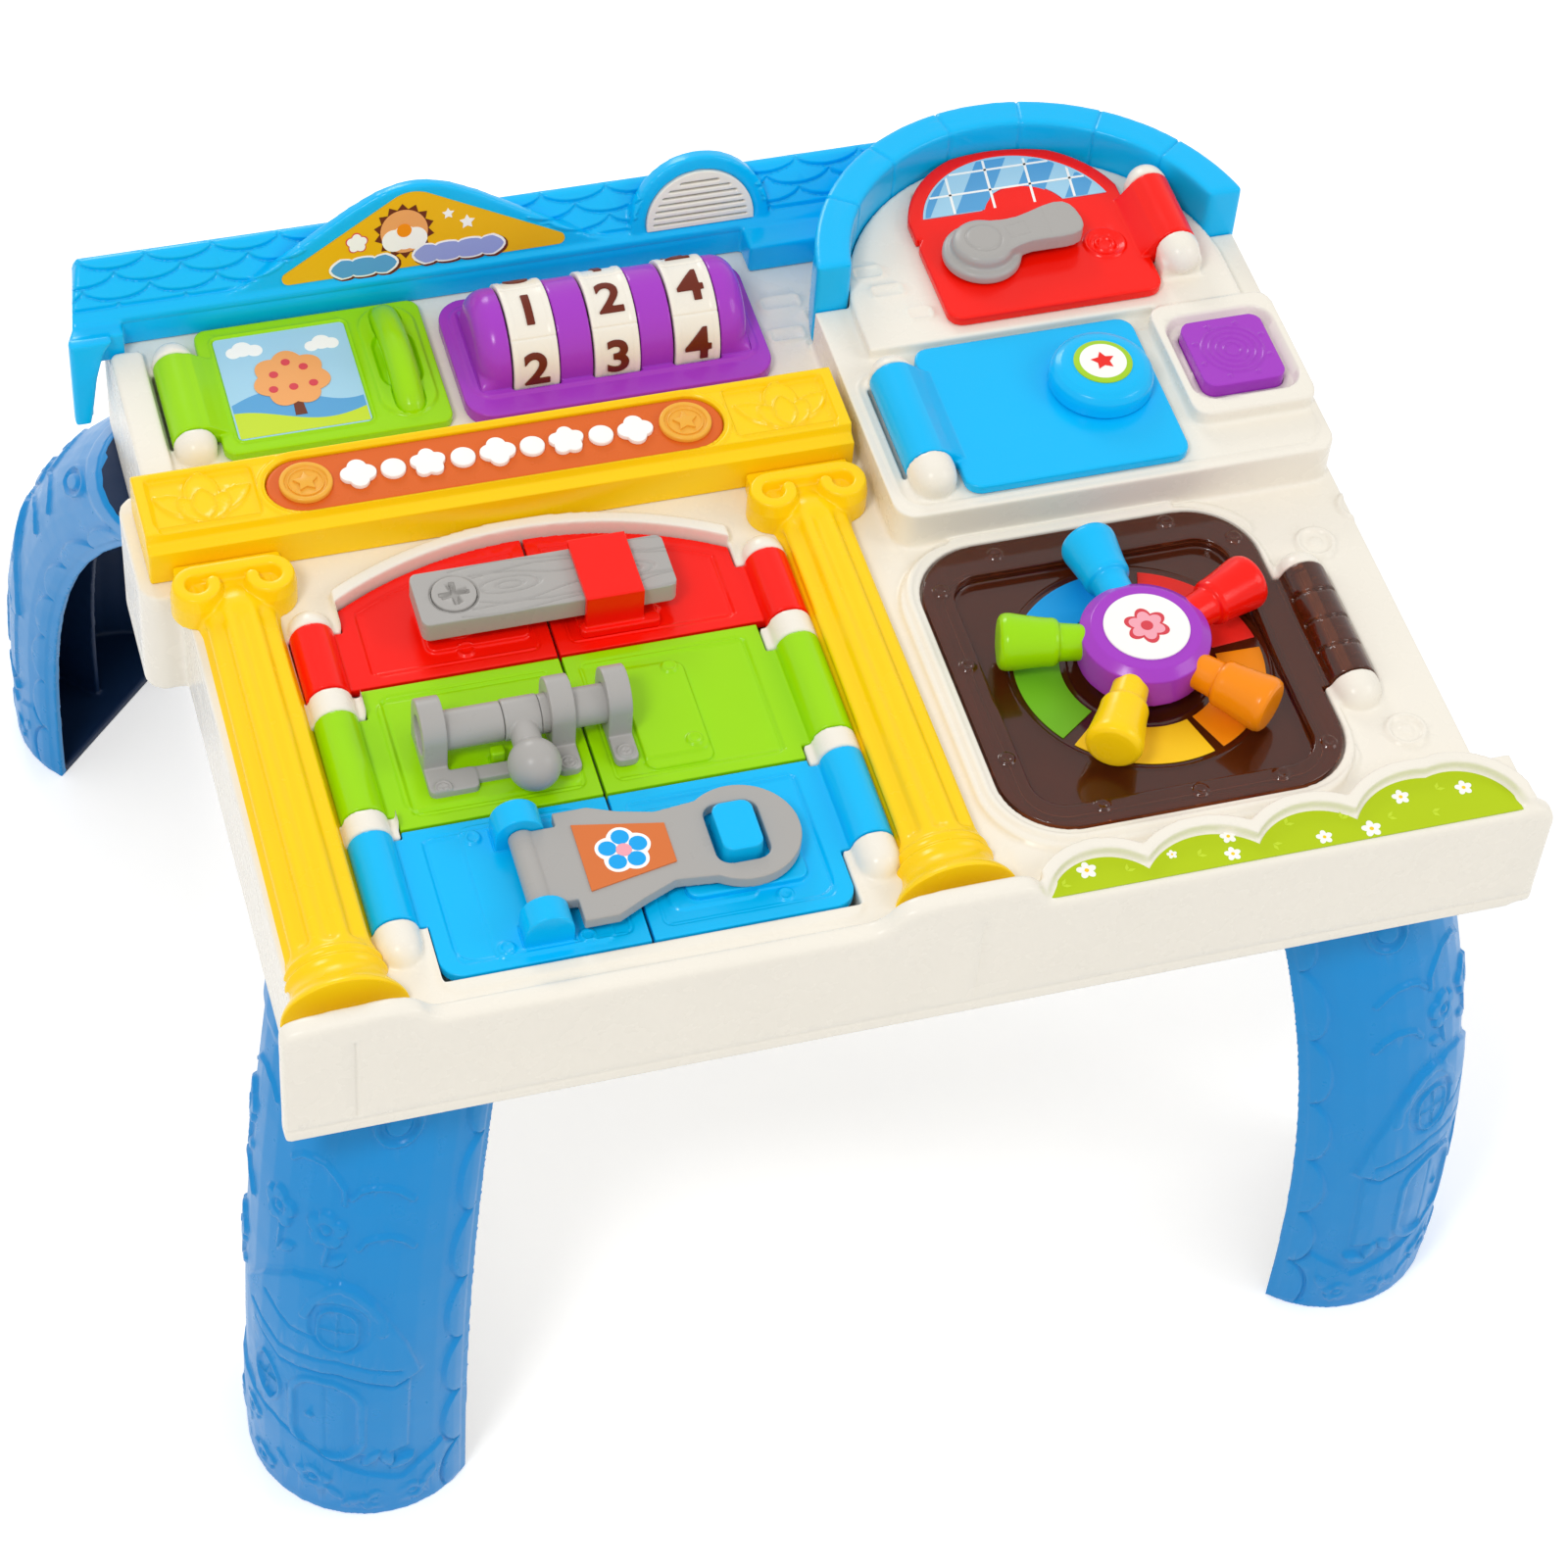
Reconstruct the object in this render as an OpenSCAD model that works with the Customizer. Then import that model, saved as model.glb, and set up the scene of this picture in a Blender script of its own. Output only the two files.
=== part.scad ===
// Musical activity table: a bank front lying on a tray, on four half-round legs.
// Millimetres. The tray is drawn from its left front corner, with z = 0 on the deck.

/* [Tray] */
// Height of the deck above the floor
deck_h = 273; // [255:1:290]
// Length of the front apron
apron_l = 449; // [448:0.5:451]
// Thickness of the front apron
apron_t = 8; // [6:0.5:9]
// Height of the apron's lip in front of the latch doors
lip_h = 4; // [3:0.1:4.6]
// Depth of the case below the deck
case_h = 48.4; // [44:0.4:52]
// Left side of the front half of the case
case_x0 = 7; // [5:0.5:8]
// Right side of the front half of the case
case_x1 = 430; // [429.5:0.1:431]
// How far the back half stands out at the left
back_out_l = 4; // [2:0.25:5]
// How far the back half stands out at the right
back_out_r = 4; // [3:0.25:5]
// Where the back half starts
back_y0 = 205; // [200:1:208]
// How far the case stands out at the left under the beam
beam_out_l = 14.5; // [12:0.25:16]
// Where that stops
beam_out_y1 = 257; // [252:1:262]
// Overall depth of the case
case_d = 355; // [354:0.25:360]
// Corner radius of the case
case_r = 14; // [8:1:16]
// Wall of the case and of the pockets
wall = 3; // [2:0.2:3.4]
// Thickness of the bottom plate
base_t = 2.5; // [2:0.25:3]
// Gap between two pieces that only lie beside each other
fit = 0.3; // [0.2:0.05:0.4]
// Gap under a piece that is seated
seat = 0.02; // [0.01:0.005:0.03]
// Radial clearance of everything that turns or slides on a pin
run = 0.05; // [0.03:0.01:0.09]

/* [Legs] */
// Outer radius of a leg
leg_r = 44.5; // [40:0.5:46]
// Wall of a leg
leg_wall = 3.5; // [2.5:0.25:4.5]
// Leg top: distance from the side of the table's middle plane
leg_top_x = 170; // [166:0.5:171]
// Foot: distance from the middle plane
leg_foot_x = 191.6; // [187:0.2:196]
// Front leg top, from the apron
leg_top_yf = 64; // [62:0.5:70]
// Front foot, from the apron
leg_foot_yf = 28; // [25:0.5:36]
// Rear leg top, from the apron
leg_top_yb = 309; // [300:0.5:310]
// Rear foot, from the apron, behind the front foot
leg_foot_yb = 393; // [380:0.5:396]
// Extra splay of the rear feet
leg_splay = 26; // [20:0.5:28]
// How soon a leg bends outward below the tray
leg_bow = 2.8; // [2.4:0.1:3.2]
// Thickness of the end plates of a leg
leg_plate = 4; // [3:0.25:5]

/* [Latch doors] */
// Middle line of the three pairs of doors
door_mid = 129.7; // [129:0.1:130.4]
// Half width of a pair, without the hinges
door_half = 71.6; // [71:0.1:72]
// Gap between two leaves
leaf_gap = 0.9; // [0.6:0.1:1.2]
// Thickness of a leaf
leaf_t = 4; // [3:0.25:4.5]
// Front edge of the first row
row_y0 = 18.8; // [18.4:0.1:19.2]
// Depth of one row
row_d = 64.7; // [64.3:0.1:65]
// Radius of the arched back edge
arch_r = 139.6; // [138:0.2:141]
// Depth of the sunk panel in a leaf
panel_drop = 0.7; // [0.4:0.1:1]
// Border round the sunk panel
panel_edge = 5.5; // [4:0.25:6.5]
// Corner radius at the front of the doors
door_corner = 8; // [5:0.5:10]
// Radius of the hinge barrels of the latch doors
barrel_r = 8; // [7:0.1:8.2]
// Distance from a hinge line to the leaf
hinge_off = 11.2; // [10.9:0.1:11.4]
// Radius of the long hinge rods
rod_r = 2.5; // [2:0.1:3]
// Gap round the doors
frame_gap = 1.2; // [0.8:0.1:1.4]
// Width of the frame that stands round the doors
frame_w = 5; // [4:0.25:5.3]
// Height of that frame
frame_h = 5; // [3.5:0.25:5.2]
// Depth of the well under the doors
well_d = 12; // [10.5:0.5:14]

/* [Turning bar] */
// Length of the bar
bar_l = 92; // [88:0.5:93]
// Width of the bar
bar_w = 25; // [22:0.5:26]
// Thickness of the bar
bar_t = 8.6; // [7.5:0.1:9]
// Underside of the bar above the deck
bar_z = 5.5; // [5.3:0.05:5.8]
// Pivot of the bar, from the left leaf's hinge line
bar_pivot_x = 50.4; // [49.8:0.1:51]
// Pivot of the bar, from the apron
bar_pivot_y = 172.5; // [171.5:0.25:173]
// Pivot to the blunt end of the bar
bar_tail = 13.8; // [13:0.1:15]
// Radius of the pivot screw
screw_r = 3.5; // [3:0.1:4]
// Radius of the screw head
screw_head_r = 8; // [7:0.1:8.5]
// Width of the strap over the bar
strap_w = 21; // [18:0.5:23]
// Thickness of the strap
strap_t = 3; // [2.4:0.1:3.4]
// Gap round the bar under the strap
strap_gap = 0.5; // [0.3:0.05:0.6]

/* [Sliding bolt] */
// Bolt line from the apron
bolt_y = 114.3; // [113.8:0.1:114.6]
// Bolt line above the deck
bolt_z = 11.5; // [11.3:0.1:11.8]
// Radius of the bolt
bolt_r = 7; // [6.6:0.1:7.1]
// Radius of the bolt under the grip
bolt_neck_r = 4.4; // [4:0.1:4.8]
// Left end of the bolt from the left hinge line
bolt_x0 = 27.1; // [26.8:0.1:27.4]
// Length of the bolt
bolt_l = 65.8; // [65.4:0.1:66.2]
// Travel of the bolt
bolt_travel = 11.5; // [11:0.1:11.6]
// Outer radius of the bolt clips
clip_r = 10; // [9.5:0.1:10.5]
// Centre of a clip from the apron
clip_y = 115.5; // [115.2:0.1:115.8]
// Centre of a clip above the deck
clip_z = 14; // [13.6:0.1:14.2]
// Width of a clip
clip_w = 8.5; // [8:0.1:8.8]
// Length of the grip ring
grip_l = 13; // [12:0.1:13.2]
// Radius of the grip ring
grip_r = 7.4; // [7.2:0.1:7.5]
// Reach of the grip ball
ball_reach = 21.5; // [20:0.1:22.5]
// Radius of the grip ball
ball_r = 9.3; // [9:0.1:9.4]
// Radius of the stalk of the ball
stalk_r = 5.2; // [4.8:0.1:5.3]
// Thickness of the feet of the clips
foot_t = 3; // [2.5:0.1:3.2]

/* [Hasp] */
// Pin line from the left hinge line
hasp_x = 48.8; // [48.4:0.1:49.2]
// Pin line above the deck
hasp_z = 5.6; // [5.5:0.05:6]
// Radius of the hasp barrel
hasp_barrel_r = 4.5; // [4:0.1:4.6]
// Radius of the hasp pin
hasp_pin_r = 2; // [1.5:0.1:2.2]
// Middle of the hasp from the apron
hasp_y = 51; // [50.5:0.1:51.5]
// Pin to the middle of the ring
hasp_reach = 72.8; // [72.4:0.1:73.2]
// Radius of the ring end
hasp_ring_r = 20.5; // [19.5:0.1:21]
// Thickness of the hasp
hasp_t = 5; // [4.2:0.1:5.2]
// Underside of the hasp above the deck
hasp_under = 3.5; // [3.2:0.1:3.7]
// Radius of the cheeks that hold the pin
cheek_r = 8.5; // [8:0.1:8.8]
// Staple length along the hasp
staple_l = 15; // [14:0.1:15.2]
// Staple width
staple_w = 22; // [20:0.1:22.2]
// Gap between staple and hasp
staple_gap = 2; // [1.9:0.1:2.4]
// Height of the staple above the deck
staple_h = 12; // [10:0.1:12.5]

/* [Number reels] */
// Reel line from the apron
reel_y = 296; // [295.5:0.1:296.5]
// Reel line above the deck
reel_z = 8; // [7.5:0.1:8.5]
// Radius of a reel
reel_r = 22.5; // [21.5:0.1:22.8]
// Width of a reel
reel_w = 17.2; // [16:0.1:17.5]
// Distance between reels
reel_pitch = 30.7; // [30:0.1:31]
// Middle reel from the left end of the apron
reel_x = 183.2; // [183:0.1:183.5]
// Axle of the reels
axle_r = 3; // [2.5:0.1:3.5]
// Radius of the cover
cover_r = 21.5; // [20.5:0.1:21.6]
// Thickness of the cover
cover_t = 2; // [1.6:0.1:2.4]
// Length of the cover
cover_l = 103; // [102:0.5:105]
// Slot clearance beside a reel
reel_gap = 0.5; // [0.3:0.05:0.7]
// Length of the cover's flange
flange_l = 117; // [115:0.5:118]
// Depth of the flange
flange_d = 63; // [60:0.5:63.5]
// Height of the flange
flange_h = 6; // [5:0.1:7]

/* [Picture door] */
// Left edge of the leaf
pic_x0 = 34.5; // [34.3:0.1:35]
// Right edge of the leaf
pic_x1 = 119.5; // [119:0.1:120.5]
// Front edge of the leaf
pic_y0 = 265; // [264.5:0.1:265.5]
// Back edge of the leaf
pic_y1 = 330.5; // [330:0.1:331]
// Gap under the leaf
pic_gap = 0.4; // [0.3:0.05:0.6]
// Thickness of the leaf
pic_t = 4; // [3:0.1:4.4]
// Hinge line of the picture door
pic_hinge_x = 25; // [24.8:0.1:25.2]
// Depth of the tray behind it
pic_well = 10; // [9:0.5:14]
// Height of the handle
pic_grip_h = 10.5; // [9:0.25:12]

/* [Bank front] */
// Left end of the beam
beam_x0 = -3; // [-3.5:0.1:-2.5]
// Right end of the beam
beam_x1 = 256; // [255:0.25:257]
// Front of the beam
beam_y0 = 212.5; // [212:0.1:213]
// Back of the beam
beam_y1 = 250; // [248:0.25:251]
// Height of the beam
beam_h = 20; // [18:0.25:21]
// Wall of the beam
beam_wall = 3; // [2:0.1:3.4]
// Depth of the sunk places in the beam
beam_sink = 3; // [2:0.1:3.2]
// Width of the sign plate
sign_w = 26; // [24:0.25:27]
// Length of the sign plate
sign_l = 168; // [160:0.5:170]
// Thickness of the sign plate
sign_t = 1.8; // [1.4:0.1:2.2]
// Left column from the left end of the apron
col_xl = 24; // [23.5:0.1:24.2]
// Right column from the left end of the apron
col_xr = 234; // [233.8:0.1:234.5]
// Radius of a column
col_r = 13.5; // [12.5:0.1:13.6]
// How far the column's centre lies below the deck
col_sink = 3; // [2:0.1:4]
// Depth of the flutes
flute_r = 2.2; // [1.6:0.1:2.4]
// Height of the capitals
cap_h = 18; // [16:0.1:19]
// Radius of the scrolls of a capital
scroll_r = 9; // [8.4:0.1:9.3]
// Half distance of the scrolls
scroll_off = 13.5; // [13:0.1:14]

/* [Roof] */
// Front of the roof
roof_y0 = 333; // [332.6:0.1:333.6]
// Left end of the roof
roof_x0 = -12; // [-14:0.25:-10]
// Height of the eave
eave_h = 14; // [12:0.25:15]
// Height of the ridge
ridge_h = 29.4; // [28:0.2:31]
// Ridge from the eave
ridge_off = 17; // [15:0.25:18]
// Wall of the roof
roof_wall = 3; // [2.4:0.1:3.4]
// Depth of the skirt on the left side
skirt_h = 27; // [22:0.5:30]
// Thickness of that skirt
skirt_w = 7.7; // [6:0.1:8.5]
// Lean of the gable
gable_lean = 13; // [10:0.5:16]
// Middle of the gable
gable_x = 122; // [121:0.25:124]
// Half width of the gable
gable_half = 74; // [70:0.5:76]
// Height of the gable up its slope
gable_h = 37.5; // [36:0.25:40]
// Thickness of the gable
gable_t = 5; // [4:0.25:6]
// Middle of the speaker dome
dome_x = 231; // [230:0.25:232]
// Radius of the speaker dome
dome_r = 27; // [26:0.25:28]
// Radius of the speaker grille
grille_r = 21; // [20:0.25:22]
// Thickness of the grille
grille_t = 2; // [1.6:0.1:2.6]

/* [Vault] */
// Left side of the vault
vault_x0 = 260; // [259:0.25:260.5]
// Right side of the vault
vault_x1 = 429; // [428:0.25:429.4]
// Front of the vault
vault_y0 = 170; // [169:0.25:170.5]
// Height of the lower platform
vault_h = 17; // [15:0.25:17.5]
// Height of the upper platform
upper_h = 22; // [21.5:0.1:22.5]
// Front of the upper platform
upper_y0 = 250; // [249.5:0.1:250.5]
// Arch centre from the left end of the apron
rim_x = 345.9; // [345.5:0.1:346.5]
// Arch centre from the apron
rim_y = 268; // [267.5:0.1:268.5]
// Inner radius of the arch
rim_ri = 73.5; // [73:0.1:74]
// Width of the arch
rim_w = 13.5; // [12.5:0.1:13.8]
// Height of the arch
rim_h = 39; // [36:0.25:39.5]
// Where the arch stops, from the apron
rim_cut = 279; // [277:0.25:282]
// Where its right end stops
rim_cut_r = 287; // [285:0.25:290]
// Thickness of the vault doors
vdoor_t = 4; // [3.4:0.1:4.2]
// Gap under the vault doors
vdoor_gap = 0.4; // [0.3:0.05:0.6]
// Radius of the vault hinge barrels
vbarrel_r = 8; // [7.5:0.1:8.2]
// Radius of the blue vault door's hinge barrel
bbarrel_r = 8.8; // [8.4:0.1:9]
// Radius of the short hinge pins
pin_r = 2; // [1.5:0.1:2.4]
// Blue door, left edge
bdoor_x0 = 287.5; // [287:0.1:288]
// Blue door, right edge
bdoor_x1 = 373; // [372.5:0.1:373.8]
// Blue door, front edge
bdoor_y0 = 175; // [174.6:0.1:175.5]
// Blue door, back edge
bdoor_y1 = 247.5; // [247:0.1:248]
// Blue hinge line
bdoor_hx = 276.6; // [276.3:0.1:277]
// Blue hinge line above the platform
bdoor_hz = 4; // [3.6:0.1:4.4]
// Red door, left edge
rdoor_x0 = 305; // [304.5:0.1:305.5]
// Red door, right edge
rdoor_x1 = 389.5; // [389:0.1:389.7]
// Red door, front edge
rdoor_y0 = 254.5; // [254:0.1:255]
// Radius of the top of the red door
rdoor_r = 44; // [43:0.1:44.4]
// Centre of that radius from the apron
rdoor_cy = 299; // [298.5:0.1:299.5]
// Red hinge line
rdoor_hx = 399; // [398.8:0.1:399.3]
// Red hinge line above the platform
rdoor_hz = 8; // [7.8:0.1:8.4]
// Knob on the blue door, x
knob_x = 351; // [350:0.25:352]
// Knob on the blue door, y
knob_y = 216.5; // [216:0.25:218]
// Foot radius of the knob
knob_r = 19.5; // [18.5:0.1:20]
// Top radius of the knob
knob_top_r = 12.5; // [11.5:0.1:13]
// Height of the knob
knob_h = 10; // [9:0.1:11]
// Lever hub on the red door, x
lever_x = 326; // [325:0.25:327]
// Lever hub on the red door, y
lever_y = 284; // [283:0.25:285]
// Lever hub radius
lever_r = 15; // [14:0.1:15.5]
// Lever length
lever_l = 31.5; // [30:0.25:33]
// Turn of the lever at rest
lever_turn = 9; // [6:0.5:12]
// Radius of the end of the lever
lever_end_r = 8.5; // [7.5:0.1:9]
// Height of the lever
lever_h = 11; // [10:0.1:12]
// Shaft radius of the lever and the knob
shaft_r = 4; // [3.4:0.1:4.6]
// Square button, left edge
button_x0 = 388; // [387.5:0.1:388.5]
// Square button, width
button_w = 32; // [31:0.1:32.4]
// Square button, front edge
button_y0 = 202.5; // [202:0.1:203]
// Square button, depth
button_d = 34; // [33:0.1:34.4]
// Height of the button
button_h = 13; // [12:0.1:13.5]
// Height of the frame round the button
surround_h = 6.5; // [6:0.1:7]
// Travel of the button
button_travel = 3; // [2.5:0.1:3.2]

/* [Wheel door] */
// Wheel door, left edge
wheel_x0 = 262; // [261.6:0.1:262.4]
// Wheel door, right edge
wheel_x1 = 388.4; // [388:0.1:388.8]
// Wheel door, front edge
wheel_y0 = 31.8; // [31.5:0.1:32.2]
// Wheel door, back edge
wheel_y1 = 165.2; // [164.8:0.1:165.6]
// Corner radius of the wheel door
wheel_corner = 25; // [22:0.5:27]
// Thickness of the wheel door
wheel_t = 4; // [3.4:0.1:4.4]
// Depth of the dish in the wheel door
dish_d = 4.6; // [3:0.1:5.4]
// Hinge line of the wheel door
wheel_hx = 400; // [399.6:0.1:400.4]
// Radius of that hinge's barrel
wheel_barrel_r = 9.2; // [8.6:0.1:9.4]
// Depth of the well under the wheel
wheel_well = 16; // [15:0.25:18]
// Wheel centre from the left end of the apron
hub_x = 329.5; // [329:0.1:330]
// Wheel centre from the apron
hub_y = 100; // [99.5:0.1:100.5]
// Radius of the hub
hub_r = 23.5; // [22.5:0.1:24.5]
// Height of the hub above its door
hub_h = 16.5; // [15.5:0.1:17.5]
// Gap between the hub and its door
hub_gap = 0.8; // [0.5:0.1:1]
// Radius of the hub's spindle
spindle_r = 6; // [5:0.1:7]
// Height of the spokes above the door
spoke_z = 8.4; // [8.3:0.1:9]
// Radius of a spoke
spoke_r = 5.4; // [4.8:0.1:5.8]
// Radius of a spoke's end
grip_end_r = 8; // [7.6:0.1:8.1]
// Reach of the spokes
spoke_l = 52; // [50:0.25:53.5]
// Length of a spoke's end
grip_end_l = 16.5; // [15:0.25:18]
// Turn of the first spoke
spoke_turn = 23; // [20:0.5:26]
// Outer radius of the colour arcs
arc_ro = 45.4; // [44:0.1:46]
// Inner radius of the colour arcs
arc_ri = 28.5; // [27:0.1:30]
// Thickness of labels and inlays
label_t = 0.5; // [0.3:0.05:0.6]

/* [Inside] */
// Length of a battery cell
cell_l = 50; // [49:0.5:51]
// Radius of a battery cell
cell_r = 7.1; // [6.9:0.1:7.3]
// Radius of the speaker
speaker_r = 9; // [8:0.1:9.2]
// Radius of the case screws
case_screw_r = 1.5; // [1.2:0.1:1.8]
// Radius of the screw posts
post_r = 4.5; // [4:0.1:5]
// Thickness of the circuit board
board_t = 1.6; // [1.2:0.1:2]
// Thickness of the pads and covers
thin = 2; // [1.6:0.1:2.4]

/* [Hidden] */
$fn = 64;

cream = "#FBF4E6";
sky = "#1EB4F5";
leg_blue = "#3B8FD6";
yellow = "#FFD21A";
red = "#FF2A1A";
green = "#95DA00";
purple = "#A846C8";
grey = "#A8A8A8";
smoke = "#4A2212";
orange = "#E0662A";
dark = "#303236";

mid_x = 222;
mid_y = (leg_foot_yf + leg_foot_yb) / 2;
body_x = 222;
leg_x_f = leg_foot_x;
leg_x_b = leg_foot_x + leg_splay;
back_x0 = case_x0 - back_out_l;
back_x1 = case_x1 + back_out_r;

hinge_l = door_mid - door_half - hinge_off;
leaf_x0 = door_mid - door_half;
leaf_x1 = door_mid - leaf_gap / 2;
row1 = row_y0 + row_d;
row2 = row1 + row_d;
arch_cy = row2 + 57.4 - arch_r;
arch_side = arch_cy + sqrt(arch_r * arch_r - door_half * door_half);
ear_ys = [row_y0 + 7, row_y0 + 22.7, row1 - 3.2, row1 + 6.1, row2 - 13.5, row2 - 2.6, row2 + 27.8, row2 + 38];
frame_in = row_y0 - frame_gap;

function ear(i) = [ear_ys[2 * i], ear_ys[2 * i + 1]];
function barrel(i) = [ear_ys[2 * i + 1] + fit, ear_ys[2 * i + 2] - fit];

bar_x = hinge_l + bar_pivot_x;
bar_top = bar_z + bar_t;
strap_x = bar_x + 44;
bolt_x = hinge_l + bolt_x0;
clip1_x = bolt_x - 2.9;
grip_x = bolt_x + 26.3;
clip2_x = grip_x + 15.9;
keeper_x = bolt_x + bolt_l - 3.5;
hasp_px = hinge_l + hasp_x;
ring_x = hasp_px + hasp_reach;
hasp_top = hasp_under + hasp_t;

pic_z = pic_gap + pic_t;
pic_axis_z = pic_gap + pic_t / 2;
grip_mx = pic_x1 - 14;
pic_b0 = pic_y0 + 10.5;
pic_b1 = pic_y1 - 15;

cover_x0 = reel_x - cover_l / 2;
flange_x0 = reel_x - flange_l / 2;
flange_y0 = reel_y - flange_d / 2 - 2.5;
reel_well = reel_r + 2 - reel_z;

vb_z = vault_h + bdoor_hz;
vr_z = upper_h + rdoor_hz;
bdoor_z0 = vault_h + vdoor_gap;
bdoor_z1 = bdoor_z0 + vdoor_t;
rdoor_z0 = upper_h + vdoor_gap;
rdoor_z1 = rdoor_z0 + vdoor_t;
rdoor_cx = (rdoor_x0 + rdoor_x1) / 2 + 0.5;
bb0 = bdoor_y0 + 14;
bb1 = bdoor_y1 - 12;
rb0 = rdoor_y0 + 17;
rb1 = rb0 + 33;
surround_z = vault_h + surround_h;
button_z1 = surround_z + 1;
button_z0 = button_z1 - button_h;

wheel_z1 = wheel_t / 2;
wheel_b0 = wheel_y0 + 41;
wheel_b1 = wheel_y0 + 93.8;
hub_z0 = wheel_z1 + hub_gap;
dish_z = wheel_z1 - dish_d;
dish_t = 3;
shelf_z = 4.5;
// Hills: x, y and radius of each round top
hills = [[283, -6, 22], [321, -11, 28.3], [360, -6, 25], [401, -4.5, 29], [414, 2, 22.8]];

// ---------------------------------------------------------------- helpers

module on_table() translate([-mid_x, -mid_y, deck_h]) children();

module rounded(x0, y0, x1, y1, r) {
  translate([x0 + r, y0]) square([x1 - x0 - 2 * r, y1 - y0]);
  translate([x0, y0 + r]) square([x1 - x0, y1 - y0 - 2 * r]);
  for (x = [x0 + r, x1 - r], y = [y0 + r, y1 - r]) translate([x, y]) circle(r);
}

module slab(x0, y0, x1, y1, r, z0, z1)
  translate([0, 0, z0]) linear_extrude(z1 - z0) rounded(x0, y0, x1, y1, r);

module block(x0, y0, z0, x1, y1, z1)
  translate([x0, y0, z0]) cube([x1 - x0, y1 - y0, z1 - z0]);

module rod_x(y, z, x0, x1, r) translate([x0, y, z]) rotate([0, 90, 0]) cylinder(r = r, h = x1 - x0);
module rod_y(x, z, y0, y1, r) translate([x, y0, z]) rotate([-90, 0, 0]) cylinder(r = r, h = y1 - y0);
module rod_z(x, y, z0, z1, r) translate([x, y, z0]) cylinder(r = r, h = z1 - z0);
module both_doors() {
  children();
  translate([2 * door_mid, 0, 0]) mirror([1, 0, 0]) children();
}
module at_right() translate([2 * door_mid, 0, 0]) mirror([1, 0, 0]) children();

// ---------------------------------------------------------------- tray

module case_plan(inset) {
  rounded(case_x0 + inset, 4 + (inset > 0 ? inset : 0), case_x1 - inset, case_d - inset, case_r - inset);
  rounded(back_x0 + inset, back_y0 + inset, back_x1 - inset, case_d - inset, case_r - inset);
  rounded(case_x0 - beam_out_l + inset, back_y0 + inset, case_x0 + 60, beam_out_y1 - inset, 8 - inset);
}

// The apron's front: high at the columns, low along the shelf of hills
module apron_plan() {
  polygon([[0, -case_h], [apron_l, -case_h], [apron_l, -3], [apron_l - 1.5, 1.5], [apron_l - 6, shelf_z],
    [262, shelf_z], [259.5, 11.5], [256, 14.2], [250, 15.2], [236, 15.2], [222.7, 14.4], [214, 13.4], [210, 11],
    [206, 6.6], [201, lip_h], [54, lip_h], [50, 6], [47, 9.6], [43, 11.6], [37, 12.4], [17.4, 11.4], [5, 10.2],
    [1.6, 9], [0, 6.6]]);
}

module hills_plan(grow) {
  for (h = hills) translate([h[0], h[1]]) circle(h[2] + grow);
}

module shell_outside() {
  translate([0, 0, -case_h]) linear_extrude(case_h) case_plan(0);
  translate([0, apron_t, 0]) rotate([90, 0, 0]) linear_extrude(apron_t) apron_plan();
  // frame round the latch doors
  slab(leaf_x0 - 1, frame_in - frame_w, 2 * door_mid - leaf_x0 + 1, row1, 6, -wall, 1);
  translate([0, 0, -wall]) linear_extrude(wall + frame_h) intersection() {
    translate([door_mid, arch_cy]) circle(arch_r + frame_gap + frame_w, $fn = 180);
    translate([leaf_x0 - 1, row1]) square([2 * door_half + 2, 200]);
  }
  // bed of the wheel door
  slab(wheel_x0 - 9, wheel_y0 - 9, wheel_x1 + 3, wheel_y1 + 3.5, wheel_corner + 6, -wall, wheel_z1);
  // shelf of the hills, with its raised edge
  block(258, 1, -wall, apron_l - 6, 30, shelf_z - 4);
  translate([0, 0, -wall]) linear_extrude(wall + shelf_z) intersection() {
    hills_plan(5);
    translate([262, 0]) square([apron_l - 263, 40]);
  }
  translate([0, 0, shelf_z - 1]) linear_extrude(5.5) intersection() {
    difference() {
      hills_plan(5);
      hills_plan(fit);
    }
    translate([262, 2.5]) square([apron_l - 263, 40]);
  }
  // vault
  slab(vault_x0, vault_y0, vault_x1, rim_cut - fit, 8, -wall, vault_h);
  block(vault_x0, rim_cut - 20, -wall, vault_x1, rim_cut - fit, vault_h);
  block(rim_x, rim_cut - 20, -wall, vault_x1, rim_cut_r - fit, vault_h);
  // raised border at the left
  slab(back_x0, beam_y1 + 1, back_x0 + 12, roof_y0 - 7.5, 3, -wall, 4.6);
  block(vault_x0, rim_cut - 20, -wall, vault_x1, rim_cut - fit, vault_h);
  translate([0, 0, -wall]) linear_extrude(wall + upper_h) upper_plan(0);
  slab(button_x0 - 8, button_y0 - 12, vault_x1 - 1, button_y0 + button_d + 12, 6, 0, surround_z);
  // ears of the red vault hinge
  for (e = [[rb0 - 9, rb0], [rb1, rb1 + 5]])
    block(rdoor_hx - vbarrel_r, e[0] + fit, upper_h - wall, rdoor_hx + vbarrel_r, e[1] - fit, vr_z);
}

module upper_plan(inset) {
  intersection() {
    translate([rim_x, rim_y]) circle(rim_ri - fit - inset, $fn = 128);
    translate([rim_x - 100, rim_y]) square([200, 200]);
  }
  translate([rim_x - rim_ri + fit + inset, upper_y0 + inset])
    square([2 * (rim_ri - fit - inset), rim_y - upper_y0 - inset]);
}

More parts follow.
